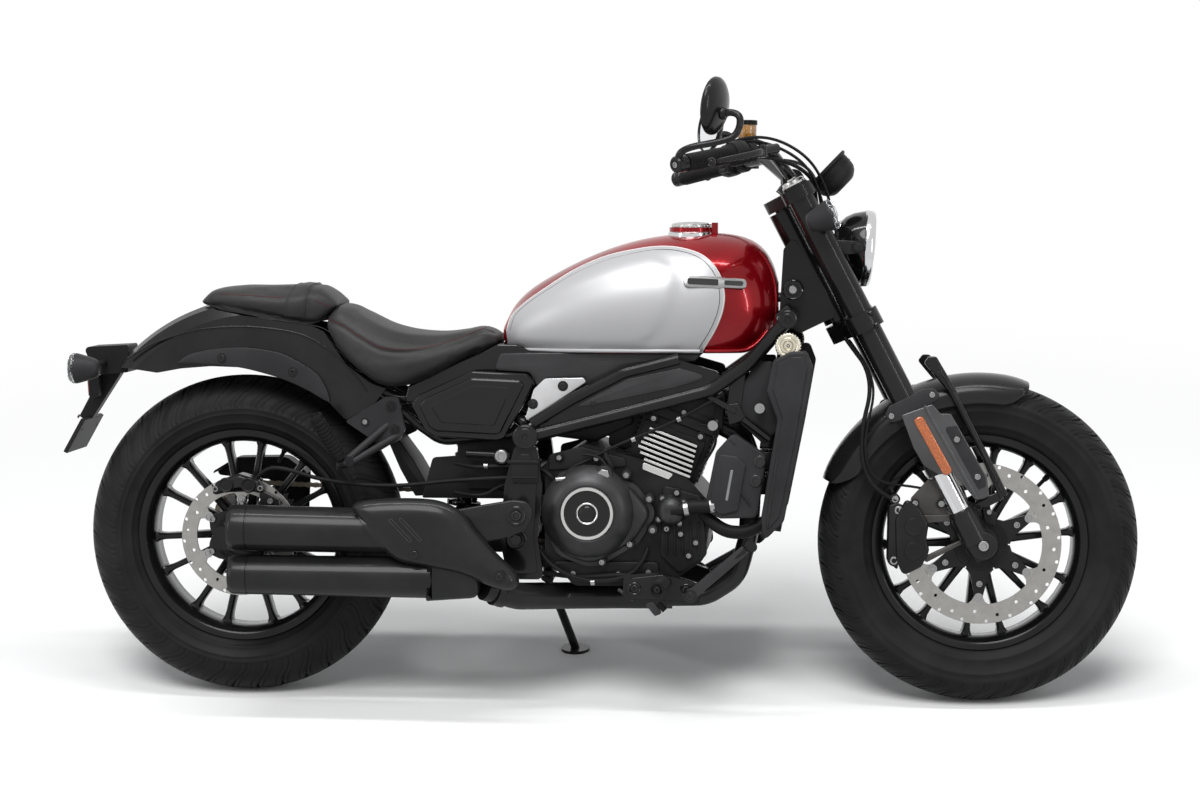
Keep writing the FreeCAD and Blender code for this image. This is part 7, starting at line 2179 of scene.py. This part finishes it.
def makeChain():
    form = chainForm
    rear = machine["rearAxle"]
    across = form["drive"] - rear
    reach = Vector((across.x, across.z)).length
    heading = math.atan2(across.z, across.x)
    open_ = math.acos((form["pitchRadius"] - form["driveRadius"]) / reach)
    big, small = form["pitchRadius"], form["driveRadius"]
    path = []
    for step in range(61):
        turn = heading + open_ + (2 * math.pi - 2 * open_) * step / 60
        path.append(rear + Vector((math.cos(turn) * big, 0, math.sin(turn) * big)))
    for step in range(31):
        turn = heading - open_ + 2 * open_ * step / 30
        path.append(form["drive"] + Vector((math.cos(turn) * small, 0, math.sin(turn) * small)))
    lengths = [0]
    for first, second in zip(path, path[1:] + path[:1]):
        lengths.append(lengths[-1] + (second - first).length)
    pitch = 2 * big * math.sin(math.pi / form["teeth"])
    links = 2 * round(lengths[-1] / pitch / 2)
    middleArc = lengths[30]

    def along(distance):
        distance %= lengths[-1]
        for i in range(len(path)):
            if lengths[i + 1] >= distance:
                share = (distance - lengths[i]) / max(lengths[i + 1] - lengths[i], 1e-9)
                return path[i].lerp(path[(i + 1) % len(path)], share)
        return path[0]

    bm = bmesh.new()
    pins = [along(middleArc + lengths[-1] * link / links) for link in range(links)]
    for link in range(links):
        here, following = pins[link], pins[(link + 1) % links]
        run = (following - here).normalized()
        beside = Vector((-run.z, 0, run.x))
        step = (following - here).length
        outer = 0.0072 if link % 2 else 0.0054
        h = form["plateHalf"]
        outline = [(-h * 0.7, -h * 0.72), (0, -h), (step * 0.5, -h * 0.72), (step, -h), (step + h * 0.7, -h * 0.72),
            (step + h, 0), (step + h * 0.7, h * 0.72), (step, h), (step * 0.5, h * 0.72), (0, h),
            (-h * 0.7, h * 0.72), (-h, 0)]
        for side in (-1, 1):
            slab(bm, [(u, v, 0) for u, v in outline], lambda u, v, w: here + run * u + beside * v + Vector((0,
                form["side"] + w, 0)), side * (outer - 0.0016), side * outer, 0)
        rod(bm, here + Vector((0, form["side"] - 0.0073, 0)), here + Vector((0, form["side"] + 0.0073,
            0)), 0.0025, 0.0025, 8)
        rod(bm, here + Vector((0, form["side"] - 0.0035, 0)), here + Vector((0, form["side"] + 0.0035,
            0)), 0.0042, 0.0042, 10)
    addPiece("chain_links", bm, "chain", replaced=["chain"])

    bm, bolts = bmesh.new(), bmesh.new()
    phase = math.atan2((pins[0] - rear).z, (pins[0] - rear).x)
    teeth = []
    for tooth in range(form["teeth"]):
        for share, radius in milli((0, 88), (200, 88.5), (380, 93.5), (460, 96.2), (540, 96.2),
                (620, 93.5), (800, 88.5)):
            turn = phase + 2 * math.pi * (tooth + share) / form["teeth"]
            teeth.append((math.cos(turn) * radius, math.sin(turn) * radius))
    inner = [(math.cos(2 * math.pi * i / len(teeth) + phase) * 0.06,
        math.sin(2 * math.pi * i / len(teeth) + phase) * 0.06) for i in range(len(teeth))]
    for first, second, y0, y1 in ((teeth, inner, -0.003, -0.003), (teeth, inner, 0.003, 0.003),
            (teeth, teeth, -0.003, 0.003), (inner, inner, -0.003, 0.003)):
        outerLoop = [bm.verts.new(rear + Vector((x, form["side"] + y0, z))) for x, z in first]
        innerLoop = [bm.verts.new(rear + Vector((x, form["side"] + y1, z))) for x, z in second]
        for i in range(len(teeth)):
            j = (i + 1) % len(teeth)
            bm.faces.new((outerLoop[i], outerLoop[j], innerLoop[j], innerLoop[i]))
    for arm in range(6):
        turn = math.radians(60 * arm + 12)
        out = Vector((math.cos(turn), 0, math.sin(turn)))
        beside = Vector((-out.z, 0, out.x))
        slab(bm, milli((34, -18, 0), (62, -9, 0), (62, 9, 0), (34, 18, 0)),
            lambda u, v, w: rear + out * u + beside * v + Vector((0, form["side"] + w, 0)), -0.0029, 0.0029, 0.0008, 1)
        bolt(bolts, rear + out * 0.049 + Vector((0, form["side"] + 0.0029, 0)), (0, 1, 0), 0.0062, 0.006, True)
    lathe(bm, milli((-24, 18), (-24, 34), (-6, 36), (3.5, 40), (3.5, 18)),
        rear + Vector((0, form["side"], 0)), (0, 1, 0), 60)
    addPiece("sprocket_plate", bm, "steel", "rear_wheel", ["rear_sprocket"], 25)
    addPiece("sprocket_nuts", bolts, "boltSteel", "rear_wheel")


makeChain()
print("stage: chain")


# ---- calipers
def makeCalipers():
    body, bracket, bolts, covers = blanks(4)
    axle = machine["frontAxle"]

    def byFront(x, z, y):
        return axle + Vector((x, -y, z))

    # the front caliper: two lobes over their pistons, a knuckled spine behind, on a grey bracket
    slab(body, milli((-150, 92, 10), (-122, 70, 16), (-106, 40, 20), (-110, 14, 10), (-104, -12, 20), (-120, -44, 16),
        (-156, -62, 12), (-170, -30, 10), (-172, 50, 10)), byFront, 0.094, 0.1085, 0.005, 4)
    for z in (0.036, -0.012):
        lathe(body, milli((0, 18.5), (2, 18), (2.6, 16), (2, 14), (2, 0)), byFront(-0.136, z, 0.1085), (0, -1, 0), 32)
    slab(body, milli((-184, 78, 6), (-186, -34, 8), (-166, -52, 4), (-164, 84, 4)), byFront, 0.052, 0.101, 0.003, 2)
    for step in range(5):
        x = -0.128
        z = 0.03 - step * 0.009
        slab(body, oblong(x - 0.005, x + 0.005, z, z - 0.0018, 0.0005), byFront, 0.1102, 0.1108, 0)
    slab(bracket, milli((-142, 90, 6), (-106, 130, 6), (-86, 124, 6), (-66, 58, 6), (-110, 48, 10)), byFront,
        0.0885, 0.0945, 0.0015, 2)
    slab(bracket, milli((-126, 58, 4), (-62, 60, 4), (-62, 46, 4), (-122, 42, 4)), byFront, 0.0885, 0.0985, 0.002, 2)
    slab(bracket, milli((-118, -26, 4), (-32, 14, 4), (-34, 4, 4), (-110, -36, 4)), byFront, 0.0885, 0.0985, 0.002, 2)
    for x, z, radius in milli((-172, 90, 7), (-165, 68, 8.5), (-174, -32, 8), (-133, 82, 6), (-81, 81, 6.5)):
        lathe(body, [(-0.02, radius * 1.5), (0, radius * 1.45), (0, radius)], byFront(x, z, 0.099), (0, -1, 0), 24)
        bolt(bolts, byFront(x, z, 0.099), (0, -1, 0), radius, 0.005)
    rod(covers, byFront(-0.176, 0.102, 0.09), byFront(-0.186, 0.124, 0.09), 0.0038, 0.003, 14)
    # the speed sensor beside the slotted ring
    slab(covers, milli((0, 74, 4), (30, 62, 4), (26, 36, 4), (6, 44, 4)), byFront, 0.0795, 0.09, 0.002, 2)
    bolt(bolts, byFront(0.014, 0.064, 0.09), (0, -1, 0), 0.005, 0.004)
    addPiece("front_caliper_body", body, "blackAlloy", "steering", ["front_caliper"], 30)
    addPiece("front_caliper_bracket", bracket, "bracketGrey", "steering", sharp=30)
    addPiece("front_caliper_bolts", bolts, "boltSteel", "steering")
    addPiece("front_sensor", covers, "matteBlack", "steering", sharp=30)

    body, bolts, covers = blanks(3)
    rear = machine["rearAxle"]

    def byRear(x, z, y):
        return rear + Vector((x, -y, z))

    slab(body, milli((-56, 84, 8), (-43, 111, 12), (2, 126, 14), (41, 115, 12), (56, 88, 8), (2, 98, 0)), byRear,
        0.096, 0.1035, 0.004, 3)
    for x in (-0.024, 0.022):
        lathe(covers, milli((0, 15.5), (3, 15), (4.5, 13), (3, 10), (4, 0)), byRear(x, 0.106, 0.1035), (0, -1, 0), 32)
    for x, z in milli((66, 74), (74, 34), (-46, 98), (46, 100)):
        bolt(bolts, byRear(x, z, 0.1), (0, -1, 0), 0.006, 0.005)
    rod(covers, byRear(-0.01, 0.124, 0.094), byRear(-0.016, 0.146, 0.094), 0.0038, 0.003, 14)
    addPiece("rear_caliper_cover", body, "blackSatin", sharp=30)
    addPiece("rear_caliper_bolts", bolts, "boltSteel")
    addPiece("rear_caliper_caps", covers, "matteBlack", sharp=30)


makeCalipers()
print("stage: calipers")


# ---- rubbers on the footrests, pedals and the plates that hold them
pegForm = {"rider": (mm(123, 164, 250), mm(-30, 1000, 30), 0.14, 0.013),
           "passenger": (mm(-515, 168, 481), mm(-420, 360, 833), 0.118, 0.012)}


def makePegs():
    for kind, (root, run, reach, radius) in pegForm.items():
        for side, label in flanks:
            start, heading = onSide(root, side), onSide(run, side).normalized()
            bm = bmesh.new()
            rows = [(0.02, radius - 0.001), (0.02, radius + 0.0006)]
            for ring in range(10):
                at = 0.024 + ring * (reach - 0.036) / 10
                rows += [(at, radius + 0.0002), (at + 0.0012, radius + 0.0024), (at + 0.0058, radius + 0.0024),
                    (at + 0.007, radius + 0.0002)]
            rows += [(reach - 0.0056, radius + 0.0022), (reach - 0.001, radius + 0.0018),
                (reach, radius - 0.002), (reach, 0)]
            lathe(bm, rows, start, heading, 36)
            addPiece("%s_peg_rubber_%s" % (kind, label), bm, "rubber", "%s_%s_peg" % (label, kind), sharp=25)
            bm = bmesh.new()
            bolt(bm, start + heading * (reach - 0.0018), heading, radius * 0.42, 0.002)
            addPiece("%s_peg_cap_%s" % (kind, label), bm, "boltBlack", "%s_%s_peg" % (label, kind))


def makeFootControls():
    plates, rings, bolts, pads, steels = blanks(5)
    for side in (-1, 1):
        def beside(x, z, y):
            return Vector((x, side * y, z))

        slab(plates, milli((46, 226, 16), (50, 256, 14), (118, 264, 20), (186, 250, 20), (196, 230, 14),
            (184, 212, 12), (60, 215, 12)), beside, 0.148, 0.1535, 0.002, 3)
        for x, z in ((0.064, 0.236), (0.166, 0.234)):
            lathe(rings, milli((0, 12.8), (2.6, 12.4), (3.4, 11), (2.6, 9.4), (1.2, 9)),
                beside(x, z, 0.1535), (0, side, 0), 32)
            bolt(bolts, beside(x, z, 0.153), (0, side, 0), 0.0068, 0.004)
        # the pedal's ribbed pad and its arm's web
        front = mm(292, 0, 324) if side < 0 else mm(296, 0, 300)
        padEnd = mm(298, 0, 328) if side < 0 else mm(302, 0, 302)
        start, end = onSide(front + mm(0, 170, 0), side), onSide(padEnd + mm(0, 212, 0), side)
        rows = [(0, 0)]
        for ring in range(6):
            at = 0.001 + ring * 0.0068
            rows += [(at, 0.0092), (at + 0.001, 0.0108), (at + 0.0046, 0.0108), (at + 0.0056, 0.0092)]
        lathe(pads, rows + [(0.0425, 0.01), (0.0425, 0)], start, end - start, 28)
        arm = (mm(176, 0, 226), mm(284, 0, 318)) if side < 0 else (mm(176, 0, 226), mm(288, 0, 292))
        run = (arm[1] - arm[0]).normalized()
        over = Vector((-run.z, 0, run.x))
        slab(steels, [(-0.012, -0.011, 0.006), ((arm[1] - arm[0]).length, -0.0085, 0.006),
            ((arm[1] - arm[0]).length, 0.0085, 0.006), (-0.012, 0.011, 0.006)],
            lambda u, v, w: arm[0] + run * u + over * v + Vector((0, side * w, 0)), 0.163, 0.1795, 0.0025, 2)
        lathe(rings, milli((0, 15), (7, 14.5), (8, 12), (8, 0)), beside(0.176, 0.226, 0.172), (0, side, 0), 32)
        bolt(bolts, beside(0.176, 0.226, 0.18), (0, side, 0), 0.007, 0.003)
    # under the plate on the right: the pedal's return arm and its brake switch
    slab(steels, milli((84, 204, 4), (100, 212, 4), (118, 186, 4), (104, 180, 4)), besideRight, 0.141, 0.149, 0.002, 2)
    rod(pads, mm(110, -146, 206), mm(124, -146, 192), 0.0062, 0.0062, 18)
    rod(steels, mm(30, -136, 232), mm(60, -142, 212), 0.0035, 0.0035, 12)
    addPiece("foot_plates", plates, "blackAlloy", sharp=30)
    addPiece("foot_rings", rings, "blackGloss", sharp=30)
    addPiece("foot_bolts", bolts, "boltBlack")
    addPiece("pedal_rubbers", pads, "rubber", sharp=25)
    addPiece("pedal_arms", steels, "trimGrey", sharp=30)


makePegs()
makeFootControls()
print("stage: foot controls")


# ---- small parts on the frame and the head
def makeFrameDress():
    dark, grey, bright, brass, black = blanks(5)
    # panel and rods between the engine and the radiator
    for side, spot in ((-1, besideRight), (1, besideLeft)):
        slab(grey, milli((300, 686, 8), (334, 686, 6), (334, 640, 0), (352, 560, 6), (318, 520, 10), (274, 560, 8),
            (248, 608, 8), (284, 654, 6)), spot, 0.112, 0.122, 0.003, 2)
        slab(black, milli((250, 654, 4), (282, 668, 4), (272, 590, 4), (246, 600, 4)), spot, 0.108, 0.1255, 0.002, 2)
        rod(black, Vector((0.197, side * 0.124, 0.623)), Vector((0.262, side * 0.126, 0.586)), 0.0072, 0.0072, 20)
        rod(black, Vector((0.276, side * 0.127, 0.572)), Vector((0.33, side * 0.127, 0.532)), 0.0072, 0.0072, 20)
        slab(black, milli((240, 600, 4), (268, 604, 4), (282, 572, 4), (250, 560, 4)), spot, 0.118, 0.13, 0.002, 2)
        lathe(bright, milli((0, 8), (6, 7.8), (8, 6.8), (8, 4.8), (2, 4.4), (1, 0)),
            spot(0.31, 0.592, 0.122), (0, side, 0), 24)
        # the bar beside the head, the round boss above it and the engine's front mount below
        slab(grey, milli((336.5, 774.5, 6), (348, 760, 6), (374, 778.2, 6), (362.5, 798.5, 8)),
            spot, 0.096, 0.11, 0.003, 2)
        bolt(bright, spot(0.346, 0.77, 0.11), (0, side, 0), 0.005, 0.004)
        lathe(black, milli((-40, 21), (0, 21), (3, 20), (4, 18), (3, 16), (3, 13), (5, 12), (5, 0)),
            spot(0.372, 0.825, 0.06), (0, side, 0), 40)
        lathe(bright, milli((4, 8.2), (8, 8), (9, 7), (9, 3.8), (7, 3.4), (7, 0)),
            spot(0.372, 0.825, 0.06), (0, side, 0), 24)
        lathe(black, milli((0, 25.5), (8, 25.5), (9, 24.5), (9, 0)), spot(0.3655, 0.7165, 0.14), (0, side, 0), 40)
        knobX, knobZ, knobRadius, knurls = 0.3655, 0.7185, 0.0238, 26
        for knurl in range(knurls):
            turn = 2 * math.pi * knurl / knurls
            start = spot(knobX + math.cos(turn) * knobRadius, knobZ + math.sin(turn) * knobRadius, 0.148)
            rod(brass, start, start + Vector((0, side * 0.0045, 0)), 0.0019, 0.0019, 8, 0.0004)
        lathe(brass, milli((8, 24), (12.5, 23.6), (13.5, 22), (12.5, 18), (11.5, 16.5), (13, 15), (13, 10.5),
            (11, 9.5), (13, 7.5), (13, 0)), spot(knobX, knobZ, 0.14), (0, side, 0), 48)
        bolt(black, spot(knobX, knobZ, 0.1528), (0, side, 0), 0.0034, 0.0012)
        # the pivot plate: a raised rib, the swingarm pivot's cap and its chrome bolt above
        slab(dark, milli((-168, 500, 10), (-142, 500, 10), (-132, 438, 20), (-138, 336, 20), (-130, 262, 10),
            (-184, 262, 10), (-196, 336, 20), (-188, 438, 20)), spot, 0.141, 0.1445, 0.0018, 2)
        lathe(dark, milli((0, 21.5), (4, 21), (5.5, 18.5), (4, 15), (4, 0)),
            spot(-0.172, 0.33, 0.1445), (0, side, 0), 40)
        lathe(black, milli((0, 11), (7.5, 10.5), (7.5, 0)), spot(-0.172, 0.33, 0.148), (0, side, 0), 6)
        lathe(bright, milli((0, 13), (4, 12.8), (5.2, 11), (5.2, 7), (3, 6.2), (3, 0)),
            spot(-0.204, 0.494, 0.128), (0, side, 0), 28)
        rod(black, spot(-0.204, 0.494, 0.1), spot(-0.204, 0.494, 0.128), 0.0155, 0.0155, 24)
        rod(dark, spot(-0.214, 0.496, 0.118), spot(-0.276, 0.498, 0.112), 0.0075, 0.0075, 18)
        # passenger bracket: forged web between its two rods, and bolts at both ends
        for x, z, radius in milli((-428, 592, 6.6), (-420, 545, 6.6), (-480, 560, 5.2)):
            lathe(dark, [(-0.004, radius * 1.7), (0.002, radius * 1.6), (0.002, radius)],
                spot(x, z, 0.1142), (0, side, 0), 24)
            bolt(bright if x < -0.47 else black, spot(x, z, 0.116), (0, side, 0), radius, 0.004)
    for y in (-0.13, 0.13):
        for along in (0.51, 0.484):
            bolt(black, onFork(along, 0.062, y), aheadLine, 0.0058, 0.006)
    for step in range(5):
        low = 0.42 + step * 0.046
        slab(dark, oblong(-0.108, 0.108, low, low + 0.04, 0.004),
            lambda u, v, w: Vector((0.312 + (v - 0.353) * 0.128 + w, u, v)), -0.024, 0.014, 0.004, 2)
    # a triangular bracket above the clutch cover holds the cable
    slab(black, milli((-4, 526, 3), (22, 472, 3), (6, 470, 3)), besideRight, 0.131, 0.134, 0.001, 1)
    addPiece("frame_dark_parts", dark, "frameBlack", sharp=30)
    addPiece("frame_grey_parts", grey, "charcoal", sharp=30)
    addPiece("frame_bright_bolts", bright, "boltSteel", sharp=30)
    addPiece("front_mount_knobs", brass, "paleBrass", sharp=30)
    addPiece("frame_black_parts", black, "blackGloss", sharp=30)


def makeSuspension():
    # the rear damper: a body, its collars and its coil
    damper = bmesh.new()
    foot, head = mm(-300, 0, 368), mm(-268, 0, 566)
    run = head - foot
    reach = run.length
    run.normalize()
    rod(damper, foot + run * 0.016, foot + run * (reach - 0.014), 0.0155, 0.0155, 28)
    lathe(damper, milli((14, 15.5), (14, 34.5), (20, 35), (24, 34.5), (24, 15.5)), foot, run, 40)
    lathe(damper, [(reach - 0.03, 0.0155), (reach - 0.03, 0.035), (reach - 0.016, 0.0345),
        (reach - 0.014, 0.0155)], foot, run, 40)
    side = run.orthogonal().normalized()
    front = run.cross(side)
    line = []
    coilRadius, perTurn, steps = 0.029, 20, 140
    for step in range(steps + 1):
        turn = 2 * math.pi * step / perTurn
        around = side * math.cos(turn) + front * math.sin(turn)
        line.append(foot + run * (0.026 + (reach - 0.058) * step / steps) + around * coilRadius)
    addHose("damper_coil", line, 0.0052, "blackSatin")
    addPiece("damper_body", damper, "blackGloss", replaced=["rear_shock"], sharp=30)
    for side, label in flanks:
        eyes = bmesh.new()
        for spot, wide in ((foot, 0.018), (head, 0.018)):
            lathe(eyes, [(0, 0), (0, 0.0165), (wide, 0.0165), (wide, 0)], spot, (0, side, 0), 28)
        addPiece("damper_eyes_" + label, eyes, "blackSatin")


def makeHoses():
    routes = (
        ("throttle_cable_upper", 0.003, "steering", (), milli((232, -306, 1100), (262, -288, 1110), (322, -236, 1104),
            (384, -156, 1074), (416, -86, 1028), (432, -56, 968), (446, -50, 900), (498, -48, 772))),
        ("throttle_cable_lower", 0.003, "steering", (), milli((240, -298, 1104), (272, -280, 1117), (334, -226, 1114),
            (398, -138, 1080), (432, -74, 1026), (447, -62, 968), (460, -60, 900), (506, -58, 772))),
        ("brake_hose_upper", 0.004, "steering", (), milli((296, -232, 1080), (318, -206, 1080), (372, -150, 1066),
            (408, -80, 1040), (414, -44, 1000), (428, -38, 910), (488, -34, 770))),
        ("clutch_cable", 0.0035, "steering", ["control_cables"],
            milli((296, 268, 1080), (332, 244, 1094), (392, 170, 1086), (420, 80, 1050), (430, 54, 990),
            (442, 50, 900), (498, 48, 772))),
        ("brake_hose_front", 0.0042, "steering", ["front_brake_hose"],
            milli((472, -60, 728), (488, -74, 705), (514, -86, 670), (522, -92, 620), (506, -96, 560), (503, -98, 500),
            (512, -98, 460), (534, -96, 426), (576, -96, 404))),
        ("sensor_lead_front", 0.0026, "steering", (), milli((480, -60, 724), (500, -78, 696), (521, -90, 660),
            (529, -96, 616), (514, -100, 556), (510, -102, 500), (520, -100, 462), (548, -96, 440), (600, -90, 436),
            (680, -86, 420), (740, -88, 392))),
        ("brake_hose_rear", 0.0042, "chassis", ["rear_brake_hose"],
            milli((-706, -92, 440), (-690, -104, 462), (-650, -114, 468), (-560, -122, 440), (-420, -124, 430),
            (-300, -126, 446), (-190, -132, 452))),
    )
    for name, radius, body, replaced, route in routes:
        addHose(name, route, radius, "rubber", body, replaced)


makeFrameDress()
makeSuspension()
makeHoses()
print("stage: frame parts")
